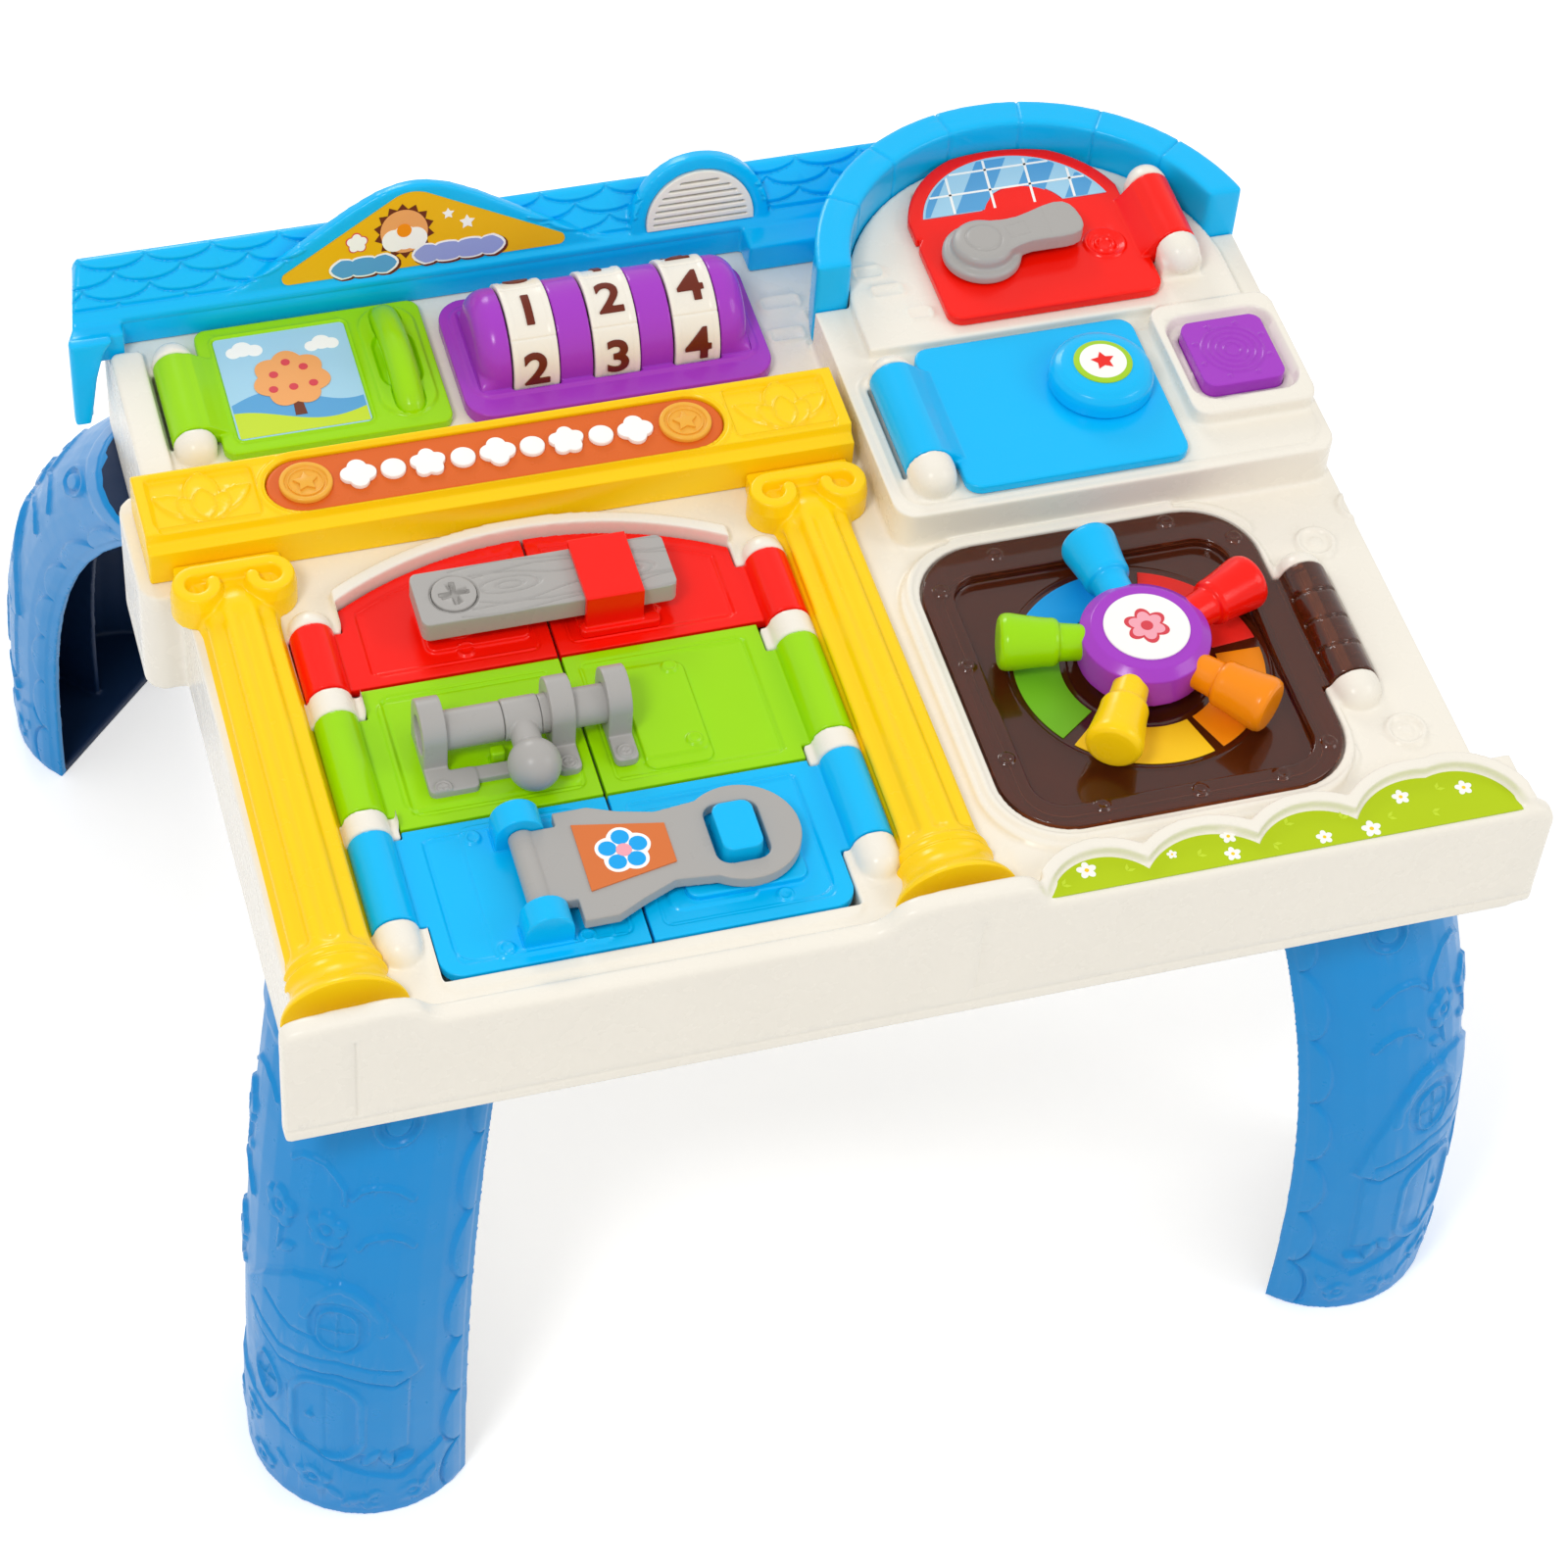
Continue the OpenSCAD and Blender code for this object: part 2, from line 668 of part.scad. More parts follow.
module shell_hollow() {
  translate([0, 0, -case_h - 1]) linear_extrude(case_h + 1 - wall) {
    rounded(case_x0 + wall, apron_t - 1, case_x1 - wall, case_d - wall, case_r - wall);
    rounded(back_x0 + wall, back_y0 + wall, back_x1 - wall, case_d - wall, case_r - wall);
    rounded(case_x0 - beam_out_l + wall, back_y0 + wall, case_x0 + 60, beam_out_y1 - wall, 8 - wall);
  }
  slab(vault_x0 + wall, vault_y0 + wall, vault_x1 - wall, rim_cut - fit - wall, 5, -wall - 1, vault_h - wall);
  translate([0, 0, -wall - 1]) linear_extrude(upper_h + 1) upper_plan(wall);
}

module shell_wells() {
  // under the latch doors
  slab(hinge_l - barrel_r - 4, row_y0 - 4, 2 * door_mid - hinge_l + barrel_r + 4, row2 + 60, 3, -well_d - thin, -wall + 0.5);
  // under the wheel door
  slab(wheel_x0 - 1, wheel_y0 - 1, wheel_x1 + 1, wheel_y1 + 1, wheel_corner, -wheel_well - thin, -wall + 0.5);
  block(wheel_x1 - 30, wheel_b0 - 3, -wheel_barrel_r - 3, wheel_hx + wheel_barrel_r + 3, wheel_b1 + 3, -wall + 0.5);
  // behind the picture door
  slab(pic_hinge_x - barrel_r - 3, pic_y0 + 3, pic_x1 - 3, pic_y1 - 3, 4, -pic_well - thin, -wall + 0.5);
  // under the reels
  slab(reel_x - 1.5 * reel_pitch - 5, reel_y - reel_r - 4, reel_x + 1.5 * reel_pitch + 5, reel_y + reel_r + 4, 3, -reel_well - thin, -wall + 0.5);
  // behind the vault doors
  slab(bdoor_x0 - 22, bdoor_y0 + 5, bdoor_x1 - 5, bdoor_y1 - 4, 4, vault_h - 13, vault_h - wall + 0.5);
  intersection() {
    slab(rdoor_x0 + 5, rdoor_y0 + 5, rdoor_x1 + 18, rdoor_cy + 32, 4, upper_h - 13, upper_h - wall + 0.5);
    translate([0, 0, upper_h - 14]) linear_extrude(14) upper_plan(1);
  }
  // guide of the button
  slab(button_x0 - 2.5, button_y0 - 2.5, button_x0 + button_w + 2.5, button_y0 + button_d + 2.5, 4, button_z0 - 6.5, vault_h - wall + 0.5);
  // posts that take the case screws
  for (p = posts) translate([p[0], p[1], -case_h + base_t + 14]) cylinder(r = post_r, h = case_h - base_t - 14 - wall + 0.5);
}

posts = [[case_x0 + 12, 235], [case_x0 + 12, 190], [case_x1 - 10, 150], [360, case_d - 10],
  [240, 30], [240, 200], [130, case_d - 12], [300, case_d - 10]];

module latch_plan(grow) {
  intersection() {
    translate([leaf_x0 - grow, row_y0 - grow]) square([2 * door_half + 2 * grow, 220]);
    translate([door_mid, arch_cy]) circle(arch_r + grow, $fn = 180);
  }
}

module shell_cuts() {
  // latch doors
  translate([0, 0, -well_d]) linear_extrude(well_d + frame_h + 1) intersection() {
    latch_plan(frame_gap);
    translate([leaf_x0 - 0.5, 0]) square([2 * door_half + 1, 230]);
  }
  both_doors() for (i = [0:2])
    block(hinge_l - barrel_r - 0.5, barrel(i)[0] - fit, -well_d, leaf_x0 + 1, barrel(i)[1] + fit, frame_h + 1);
  // wheel door
  slab(wheel_x0 - 0.8, wheel_y0 - 0.8, wheel_x1 + 0.8, wheel_y1 + 0.8, wheel_corner, -wheel_z1 - fit, wheel_z1 + 1);
  slab(wheel_x0 + 5, wheel_y0 + 5, wheel_x1 - 5, wheel_y1 - 5, wheel_corner - 6, -wheel_well, 0);
  block(wheel_x1 - 10, wheel_b0 - fit, -wheel_barrel_r - 0.6, wheel_hx + wheel_barrel_r + 0.6, wheel_b1 + fit, wheel_z1 + 1);
  // picture door
  slab(pic_x0 + 5, pic_y0 + 5, pic_x1 - 5, pic_y1 - 5, 4, -pic_well, 1);
  block(pic_hinge_x - barrel_r - 0.5, pic_b0 - fit, -pic_well, pic_hinge_x + barrel_r + 0.5, pic_b1 + fit, 1);
  // reels
  block(reel_x - 1.5 * reel_pitch - 3, reel_y - reel_r - 1.5, -reel_well, reel_x + 1.5 * reel_pitch + 3, reel_y + reel_r + 1.5, 1);
  // vault doors
  slab(bdoor_x0 + 4, bdoor_y0 + 7, bdoor_x1 - 7, bdoor_y1 - 6, 4, vault_h - 11, vault_h + 1);
  block(bdoor_hx - bbarrel_r - 0.5, bb0 - fit, vb_z - bbarrel_r - 0.5, bdoor_hx + bbarrel_r + 0.5, bb1 + fit, vault_h + 1);
  slab(rdoor_x0 + 7, rdoor_y0 + 7, rdoor_x1 - 7, rdoor_cy + 30, 4, upper_h - 11, upper_h + 1);
  block(rdoor_hx - vbarrel_r - 0.5, rb0 - fit, vr_z - vbarrel_r - 0.5, rdoor_hx + vbarrel_r + 0.5, rb1 + fit, upper_h + 1);
  // button
  slab(button_x0 - fit, button_y0 - fit, button_x0 + button_w + fit, button_y0 + button_d + fit, 5, button_z0 - 4.5, surround_z + 1);
  // screw holes in the posts
  for (p = posts) translate([p[0], p[1], -case_h]) cylinder(r = case_screw_r + run, h = case_h - 6);
}

// A barrel of the shell with a round end, toward the front (d < 0) or the back
module ear_y(x, z, y0, y1, r, d) {
  rod_y(x, z, d < 0 ? min(y0 + r, y1 - 0.5) : y0, d < 0 ? y1 : max(y1 - r, y0 + 0.5), r);
  intersection() {
    translate([x, d < 0 ? y0 + r - 0.2 : y1 - r + 0.2, z]) sphere(r - 0.2);
    block(x - r, y0, z - r, x + r, y1, z + r);
  }
}

module shell_ears() {
  both_doors() {
    ear_y(hinge_l, 0, ear(0)[0], ear(0)[1], barrel_r, -1);
    for (i = [1:2]) rod_y(hinge_l, 0, ear(i)[0], ear(i)[1], barrel_r);
    ear_y(hinge_l, 0, ear(3)[0], ear(3)[1], barrel_r, 1);
  }
  ear_y(wheel_hx, 0, wheel_b0 - 13, wheel_b0, wheel_barrel_r, -1);
  ear_y(wheel_hx, 0, wheel_b1, wheel_b1 + 10, wheel_barrel_r, 1);
  ear_y(pic_hinge_x, pic_axis_z, pic_b0 - 11, pic_b0, barrel_r, -1);
  ear_y(pic_hinge_x, pic_axis_z, pic_b1, pic_b1 + 10, barrel_r, 1);
  ear_y(bdoor_hx, vb_z, bb0 - 14, bb0, bbarrel_r, -1);
  ear_y(bdoor_hx, vb_z, bb1, bb1 + 8.5, bbarrel_r, 1);
  ear_y(rdoor_hx, vr_z, rb0 - 12, rb0, vbarrel_r, -1);
  ear_y(rdoor_hx, vr_z, rb1, rb1 + 9.5, vbarrel_r, 1);
}

module top_shell() color(cream) on_table() difference() {
  union() {
    difference() {
      union() {
        difference() {
          shell_outside();
          shell_hollow();
        }
        shell_wells();
      }
      shell_cuts();
    }
    shell_ears();
  }
  both_doors() rod_y(hinge_l, 0, ear(0)[0] + 3.5, ear(3)[1] - 3.5, rod_r + seat);
  rod_y(wheel_hx, 0, wheel_b0 - 8.5, wheel_b1 + 6.5, pin_r + seat);
  rod_y(pic_hinge_x, pic_axis_z, pic_b0 - 7.5, pic_b1 + 6.5, pin_r + seat);
  rod_y(bdoor_hx, vb_z, bb0 - 9.5, bb1 + 5.5, pin_r + seat);
  rod_y(rdoor_hx, vr_z, rb0 - 8, rb1 + 6, pin_r + seat);
}

// ---------------------------------------------------------------- bottom

bat_x = 222;
bat_y = 262;
bat_w = 3 * (2 * cell_r + 1) + 3;
bat_l = cell_l + 6;

module bottom_shell() color(cream) on_table() difference() {
  union() {
    translate([0, 0, -case_h]) linear_extrude(base_t) {
      rounded(case_x0 + wall + fit, apron_t - 1 + fit, case_x1 - wall - fit, case_d - wall - fit, case_r - wall - fit);
      rounded(back_x0 + wall + fit, back_y0 + wall + fit, back_x1 - wall - fit, case_d - wall - fit, case_r - wall - fit);
      rounded(case_x0 - beam_out_l + wall + fit, back_y0 + wall + fit, case_x0 + 60, beam_out_y1 - wall - fit, 8 - wall - fit);
    }
    // battery box
    block(bat_x - bat_l / 2 - thin, bat_y - bat_w / 2 - thin, -case_h + 0.5, bat_x + bat_l / 2 + thin, bat_y + bat_w / 2 + thin, -case_h + base_t + 2 * cell_r + 3);
    // posts of the board and of the screws
    for (p = [[62, 252], [158, 252], [62, 322], [158, 322]]) rod_z(p[0], p[1], -case_h + 0.5, -case_h + 9, 3);
    for (p = posts) rod_z(p[0], p[1], -case_h + 0.5, -case_h + base_t + 14 - fit, post_r);
  }
  block(bat_x - bat_l / 2, bat_y - bat_w / 2, -case_h + base_t + thin, bat_x + bat_l / 2, bat_y + bat_w / 2, -case_h + base_t + 2 * cell_r + 4);
  block(bat_x - bat_l / 2, bat_y - bat_w / 2, -case_h - 1, bat_x + bat_l / 2, bat_y + bat_w / 2, -case_h + base_t + thin + 1);
  block(bat_x - bat_l / 2 - 5, bat_y - bat_w / 2 - 5, -case_h - 1, bat_x + bat_l / 2 + 5, bat_y + bat_w / 2 + 5, -case_h + thin);
  for (p = posts) {
    rod_z(p[0], p[1], -case_h - 1, -case_h + base_t + 20, case_screw_r + run);
    rod_z(p[0], p[1], -case_h - 1, -case_h + 1.5, 3.2);
  }
}

module battery_door() color(cream) on_table() {
  slab(bat_x - bat_l / 2 - 5 + fit, bat_y - bat_w / 2 - 5 + fit, bat_x + bat_l / 2 + 5 - fit, bat_y + bat_w / 2 + 5 - fit, 2, -case_h, -case_h + thin - seat);
}

module battery_cells() color(dark) on_table() for (i = [-1:1]) {
  y = bat_y + i * (2 * cell_r + 1);
  z = -case_h + thin + cell_r + seat;
  rod_x(y, z, bat_x - cell_l / 2, bat_x + cell_l / 2, cell_r);
  rod_x(y, z, bat_x + cell_l / 2 - 0.1, bat_x + cell_l / 2 + 1.5, 2.5);
}

module circuit_board() color("#1F7A3A") on_table() {
  slab(56, 246, 164, 328, 2, -case_h + 9 + seat, -case_h + 9 + board_t);
  block(90, 270, -case_h + 9 + board_t - 0.1, 104, 284, -case_h + 9 + board_t + 1.6);
  for (i = [0:3]) rod_z(80 + 14 * i, 306, -case_h + 9 + board_t - 0.1, -case_h + 9 + board_t + 8, 3.5);
}

module case_screws() color(grey) on_table() for (p = posts) {
  rod_z(p[0], p[1], -case_h + 0.2, -case_h + base_t + 24, case_screw_r);
  difference() {
    rod_z(p[0], p[1], -case_h + 0.2, -case_h + 1.5 - seat, 3);
    block(p[0] - 2, p[1] - 0.4, -case_h, p[0] + 2, p[1] + 0.4, -case_h + 0.9);
    block(p[0] - 0.4, p[1] - 2, -case_h, p[0] + 0.4, p[1] + 2, -case_h + 0.9);
  }
}

// ---------------------------------------------------------------- legs

leg_n = 16;
leg_m = 12;
leg_z1 = -case_h - seat;
leg_z0 = -deck_h;

function leg_at(top, foot, s) = foot + (top - foot) * pow(1 - s, leg_bow);
function leg_ring(c, z, a0, r) = [for (i = [0:leg_n]) [c[0] + r * cos(a0 + 180 * i / leg_n), c[1] + r * sin(a0 + 180 * i / leg_n), z]];

module leg_shell(top, foot, a0) {
  rings = [for (j = [0:leg_m]) let (z = leg_z1 + (leg_z0 - leg_z1) * j / leg_m, c = leg_at(top, foot, j / leg_m))
    concat(leg_ring(c, z, a0, leg_r), [for (p = [leg_n:-1:0]) leg_ring(c, z, a0, leg_r - leg_wall)[p]])];
  k = 2 * (leg_n + 1);
  pts = [for (r = rings, p = r) p];
  sides = [for (j = [0:leg_m - 1], i = [0:k - 1]) [j * k + i, j * k + (i + 1) % k, (j + 1) * k + (i + 1) % k, (j + 1) * k + i]];
  lid = [for (i = [0:leg_n - 1]) [i + 1, i, k - 1 - i, k - 2 - i]];
  floor_f = [for (i = [0:leg_n - 1]) let (o = leg_m * k) [o + i, o + i + 1, o + k - 2 - i, o + k - 1 - i]];
  polyhedron(points = pts, faces = concat(sides, lid, floor_f), convexity = 6);
}

module leg_plate_at(c, a0, z0, z1, r)
  translate([0, 0, z0]) linear_extrude(z1 - z0) polygon([for (p = leg_ring(c, 0, a0, r)) [p[0], p[1]]]);

// Upright web down the middle of a leg, from its inner wall to near the open side
module leg_web(top, foot, a0) {
  am = a0 + 90;
  n = leg_m;
  pts = [for (j = [0:n]) let (z = leg_z1 + (leg_z0 - leg_z1) * j / n, c = leg_at(top, foot, j / n),
      u = [cos(am), sin(am)], v = [-sin(am), cos(am)])
    each [for (q = [[12, -1.2], [leg_r - leg_wall + 1, -1.2], [leg_r - leg_wall + 1, 1.2], [12, 1.2]])
      [c[0] + q[0] * u[0] + q[1] * v[0], c[1] + q[0] * u[1] + q[1] * v[1], z]]];
  sides = [for (j = [0:n - 1], i = [0:3]) [j * 4 + i, j * 4 + (i + 1) % 4, (j + 1) * 4 + (i + 1) % 4, (j + 1) * 4 + i]];
  polyhedron(points = pts, faces = concat(sides, [[3, 2, 1, 0]], [[n * 4, n * 4 + 1, n * 4 + 2, n * 4 + 3]]), convexity = 4);
}

module leg(top, foot, a0) color(leg_blue) on_table() union() {
  leg_shell(top, foot, a0);
  leg_web(top, foot, a0);
  leg_plate_at(top, a0, leg_z1 - leg_plate, leg_z1, leg_r - 1);
  leg_plate_at(foot, a0, leg_z0, leg_z0 + leg_plate, leg_r - 1);
}

module leg_front_left() leg([body_x - leg_top_x, leg_top_yf], [body_x - leg_x_f, leg_foot_yf], 135);
module leg_front_right() leg([body_x + leg_top_x, leg_top_yf], [body_x + leg_x_f, leg_foot_yf], 225);
module leg_rear_left() leg([body_x - leg_top_x - 15, leg_top_yb], [body_x - leg_x_b, leg_foot_yb], 45);
module leg_rear_right() leg([body_x + leg_top_x + 15, leg_top_yb], [body_x + leg_x_b, leg_foot_yb], 315);

// ---------------------------------------------------------------- roof

module roof_profile(t) {
  // y, z of the roof's section, thinned by t from outside
  polygon([[roof_y0 + t, -1], [roof_y0 + t, eave_h - t], [roof_y0 + 5 + t, eave_h + 3 - 1.3 * t],
    [roof_y0 + ridge_off - 1, ridge_h - t], [case_d - 3, ridge_h - t],
    [case_d - 1 - t, ridge_h - 4 - t], [case_d - 1 - t, -1]]);
}

module along_x(x0, x1) translate([x0, 0, 0]) rotate([90, 0, 90]) linear_extrude(x1 - x0) children();

module gable_plan() {
  intersection() {
    union() {
      polygon([[gable_x - gable_half, 0], [gable_x - gable_half, 3], [gable_x - gable_half + 8, 5],
        [gable_x - 25, gable_h - 8], [gable_x - 14, gable_h - 2.6], [gable_x + 14, gable_h - 2.6], [gable_x + 25, gable_h - 8],
        [gable_x + gable_half - 8, 5], [gable_x + gable_half, 3], [gable_x + gable_half, 0]]);
      translate([gable_x, gable_h - 36]) circle(36);
    }
    translate([gable_x - 100, 0]) square([200, gable_h]);
  }
}

module dome_plan() intersection() {
  union() {
    translate([dome_x, 5]) circle(dome_r);
    translate([dome_x - dome_r, 0]) square([2 * dome_r, 5]);
  }
  translate([dome_x - 50, 0]) square([100, 60]);
}

// Stands the children up on the eave, leaning back
module on_eave(back) translate([0, roof_y0 + 1.5, eave_h - 1]) rotate([90 - gable_lean, 0, 0]) translate([0, 0, -back]) children();

module grille_plan(r) intersection() {
  translate([dome_x, 5]) circle(r);
  translate([dome_x - 40, 3]) square([80, 60]);
}

module roof_panel() color(sky) on_table() difference() {
  union() {
    difference() {
      union() {
        along_x(roof_x0, rim_x - 30) intersection() {
          roof_profile(0);
          translate([roof_y0 - 20, seat]) square([90, 80]);
        }
        block(dome_x + 16, roof_y0 - 11.5, seat, rim_x - 40, roof_y0 + 1, eave_h - 1);
        block(roof_x0, roof_y0 - 7, -skirt_h, roof_x0 + skirt_w, case_d - 1, eave_h - 1);
        block(roof_x0, roof_y0 - 7, seat, back_x0 + 6, roof_y0 + 4, eave_h - 1);
      }
      along_x(roof_x0 + 8 + roof_wall, rim_x) roof_profile(roof_wall);
      block(dome_x + 16 + roof_wall, roof_y0 - 11.5 + roof_wall, -1, rim_x, roof_y0 + 4, eave_h - 1 - roof_wall);
    }
    on_eave(gable_t) linear_extrude(gable_t) gable_plan();
    on_eave(gable_t + 1) linear_extrude(gable_t + 1) dome_plan();
  }
  translate([rim_x, rim_y, -60]) cylinder(r = rim_ri + rim_w + fit, h = 160, $fn = 128);
  block(roof_x0 - 1, roof_y0 - 30, -60, rim_x, case_d + 10, -skirt_h - 0.01);
  block(back_x0 - fit, roof_y0 - 30, -60, rim_x, case_d + 10, seat);
  translate([0, case_d + 10, 0]) rotate([90, 0, 0]) linear_extrude(60)
    polygon([[roof_x0 - 1, eave_h], [roof_x0 + 3, eave_h], [roof_x0 + 9, ridge_h + 1], [roof_x0 - 1, ridge_h + 1]]);
  translate([0, 0, -60]) linear_extrude(120)
    polygon([[roof_x0 - 1, roof_y0 - 8], [roof_x0, roof_y0 - 7], [roof_x0 + 3, roof_y0], [roof_x0 + 7.5, case_d], [roof_x0 + 7.5, case_d + 5], [roof_x0 - 1, case_d + 5]]);
  on_eave(grille_t) linear_extrude(20) grille_plan(grille_r + fit);
  on_eave(grille_t + 3.6) linear_extrude(20) translate([dome_x, 13.5]) circle(speaker_r + fit);
}

module gable_label() color(yellow) on_table() on_eave(-seat) linear_extrude(label_t) label_triangle();

module label_triangle() hull() {
  translate([gable_x - 49.5, 6]) circle(2.5);
  translate([gable_x + 53.5, 6.5]) circle(2.5);
  translate([gable_x - 1, gable_h - 16.5]) circle(14);
}

module speaker_grille() color(cream) on_table() on_eave(grille_t - seat) difference() {
  linear_extrude(grille_t + 0.6) grille_plan(grille_r);
  for (i = [0:6]) translate([dome_x - 40, 5 + 2.7 * i, -1]) intersection() {
    cube([80, 0.9, 6]);
    translate([40, -2.7 * i, 0]) cylinder(r = grille_r - 2.5, h = 6);
  }
}

module speaker() color(dark) on_table() on_eave(grille_t + 3.5) translate([dome_x, 13.5, 0]) difference() {
  cylinder(r = speaker_r, h = 3.5 - seat);
  translate([0, 0, 2]) cylinder(r1 = 2.5, r2 = speaker_r - 1.5, h = 2);
}

module arch_rim() color(sky) on_table() translate([rim_x, rim_y, seat]) intersection() {
  difference() {
    cylinder(r = rim_ri + rim_w, h = rim_h, $fn = 128);
    translate([0, 0, -1]) cylinder(r = rim_ri, h = rim_h + 2, $fn = 128);
  }
  union() {
    translate([-120, rim_cut - rim_y, -1]) cube([120, 120, rim_h + 4]);
    translate([-1, rim_cut_r - rim_y, -1]) cube([121, 120, rim_h + 4]);
  }
}

// ---------------------------------------------------------------- bank front

beam_mid = (beam_y0 + beam_y1) / 2;
sign_x0 = beam_x0 + (beam_x1 - beam_x0 - sign_l) / 2 + 0.3;

module sign_plan(grow) rounded(sign_x0 - grow, beam_mid - sign_w / 2 - grow, sign_x0 + sign_l + grow, beam_mid + sign_w / 2 + grow, sign_w / 2 + grow - 0.01);

module beam() color(yellow) on_table() difference() {
  along_x(beam_x0, beam_x1) polygon([[beam_y0, seat], [beam_y0, beam_h - 5], [beam_y0 + 4, beam_h - 4], [beam_y0 + 5, beam_h],
    [beam_y1 - 3, beam_h], [beam_y1, beam_h - 3], [beam_y1, seat]]);
  block(beam_x0 + beam_wall, beam_y0 + beam_wall, -1, beam_x1 - beam_wall, beam_y1 - beam_wall, beam_h - beam_sink - beam_wall);
  translate([0, 0, beam_h - beam_sink]) linear_extrude(10) sign_plan(fit);
  slab(beam_x0 + 4, beam_y0 + 8, sign_x0 - 3, beam_y1 - 5, 2, beam_h - 1.2, beam_h + 1);
  slab(sign_x0 + sign_l + 3, beam_y0 + 8, beam_x1 - 4, beam_y1 - 5, 2, beam_h - 1.2, beam_h + 1);
}

module sign_plate() color(orange) on_table() translate([0, 0, beam_h - beam_sink + seat]) linear_extrude(sign_t) sign_plan(0);

module sign_emblems() color("#F2B84A") on_table() {
  z = beam_h - beam_sink + sign_t + seat;
  for (x = [sign_x0 + sign_w / 2 + 1, sign_x0 + sign_l - sign_w / 2 - 1]) rod_z(x, beam_mid, z, z + 2, 9.2);
  for (i = [0:4]) rod_z(sign_x0 + sign_l / 2 + 22 * (i - 2), beam_mid, z, z + 1.4, i % 2 == 0 ? 6 : 4);
}

module column(x) color(yellow) on_table() {
  // shaft
  difference() {
    rod_y(x, -col_sink, 14, beam_y0 - 15, col_r);
    for (i = [-2:2]) rod_y(x + (col_r + 0.4) * sin(27 * i), -col_sink + (col_r + 0.4) * cos(27 * i), 20, beam_y0 - 30, flute_r);
    block(x - 30, -10, -40, x + 30, 260, seat);
  }
  // base
  translate([0, 0, seat]) linear_extrude(9) polygon([[x - 18, apron_t + fit], [x + 18, apron_t + fit], [x + 13, 18], [x - 13, 18]]);
  // capital
  slab(x - scroll_off - scroll_r + 1, beam_y0 - 10, x + scroll_off + scroll_r - 1, beam_y0 - 0.3, 2, seat, cap_h);
  slab(x - 12, beam_y0 - 24, x + 12, beam_y0 - 8, 2, seat, cap_h - 4);
  for (s = [-1, 1]) rod_z(x + s * scroll_off, beam_y0 - 15.5, seat, cap_h - 1, scroll_r);
  for (s = [-1, 1]) rod_z(x + s * scroll_off, beam_y0 - 15.5, seat, cap_h, scroll_r / 2.6);
}

module column_left() column(col_xl);
module column_right() column(col_xr);

// ---------------------------------------------------------------- picture door

module picture_door() color(green) on_table() difference() {
  union() {
    slab(pic_x0, pic_y0, pic_x1, pic_y1, 5, pic_gap, pic_z);
    rod_y(pic_hinge_x, pic_axis_z, pic_b0 + fit, pic_b1 - fit, barrel_r);
    block(pic_hinge_x, pic_b0 + fit, pic_gap, pic_x0 + 6, pic_b1 - fit, pic_z);
    for (y = [pic_y0 + 14.3, pic_y1 - 11.8]) rod_z(grip_mx, y, pic_gap + 1, pic_z + 1, 9);
    block(grip_mx - 7, pic_y0 + 14, pic_gap + 1, grip_mx + 7, pic_y1 - 12, pic_z + 0.6);
    translate([grip_mx - 5.2, 0, 0]) rotate([90, 0, 90]) linear_extrude(10.4) polygon([[pic_y0 + 8.5, pic_z - 1],
      [pic_y0 + 9, pic_z + 4], [pic_y0 + 14, pic_z + pic_grip_h - 2.5], [pic_y0 + 22, pic_z + pic_grip_h],
      [pic_y1 - 19, pic_z + pic_grip_h], [pic_y1 - 11, pic_z + pic_grip_h - 2.5], [pic_y1 - 5.5, pic_z + 4], [pic_y1 - 5, pic_z - 1]]);
  }
  rod_y(pic_hinge_x, pic_axis_z, pic_b0 - 1, pic_b1 + 1, pin_r + run);
  slab(pic_x0 + 6, pic_y0 + 6, pic_x1 - 29, pic_y1 - 6, 2, pic_z - label_t - 0.1, pic_z + 1);
  slab(grip_mx - 12, pic_y0 + 19, grip_mx + 12, pic_y1 - 17, 3, pic_z + 0.8, pic_z + pic_grip_h - 4);
}

module picture_label() color("#8FC9EA") on_table()
  slab(pic_x0 + 6 + fit, pic_y0 + 6 + fit, pic_x1 - 29 - fit, pic_y1 - 6 - fit, 2, pic_z - label_t - 0.1 + seat, pic_z - 0.1);

// ---------------------------------------------------------------- number reels

module reel_housing() color(purple) on_table() difference() {
  union() {
    slab(flange_x0, flange_y0, flange_x0 + flange_l, flange_y0 + flange_d, 11, seat, flange_h);
    difference() {
      rod_x(reel_y, reel_z, cover_x0, cover_x0 + cover_l, cover_r);
      block(cover_x0 - 1, reel_y - 40, -60, cover_x0 + cover_l + 1, reel_y + 40, flange_h - 1);
    }
  }
  rod_x(reel_y, reel_z, cover_x0 + 3, cover_x0 + cover_l - 3, cover_r - cover_t);
  for (i = [-1:1]) rod_x(reel_y, reel_z, reel_x + i * reel_pitch - reel_w / 2 - reel_gap, reel_x + i * reel_pitch + reel_w / 2 + reel_gap, reel_r + reel_gap);
  rod_x(reel_y, reel_z, cover_x0 + 0.8, cover_x0 + cover_l - 0.8, axle_r + seat);
}

module reel_axle() color(grey) on_table() rod_x(reel_y, reel_z, cover_x0 + 1, cover_x0 + cover_l - 1, axle_r);

module reel(i) color(cream) on_table() difference() {
  x = reel_x + i * reel_pitch;
  rod_x(reel_y, reel_z, x - reel_w / 2, x + reel_w / 2, reel_r);
  rod_x(reel_y, reel_z, x - reel_w, x + reel_w, axle_r + run);
  for (s = [-1, 1]) difference() {
    rod_x(reel_y, reel_z, x + (s < 0 ? -reel_w : 2), x + (s < 0 ? -2 : reel_w), reel_r - 3);
    rod_x(reel_y, reel_z, x - 2 * reel_w, x + 2 * reel_w, axle_r + 2.5);
  }
}
module reel_left() reel(-1);
module reel_middle() reel(0);
module reel_right() reel(1);

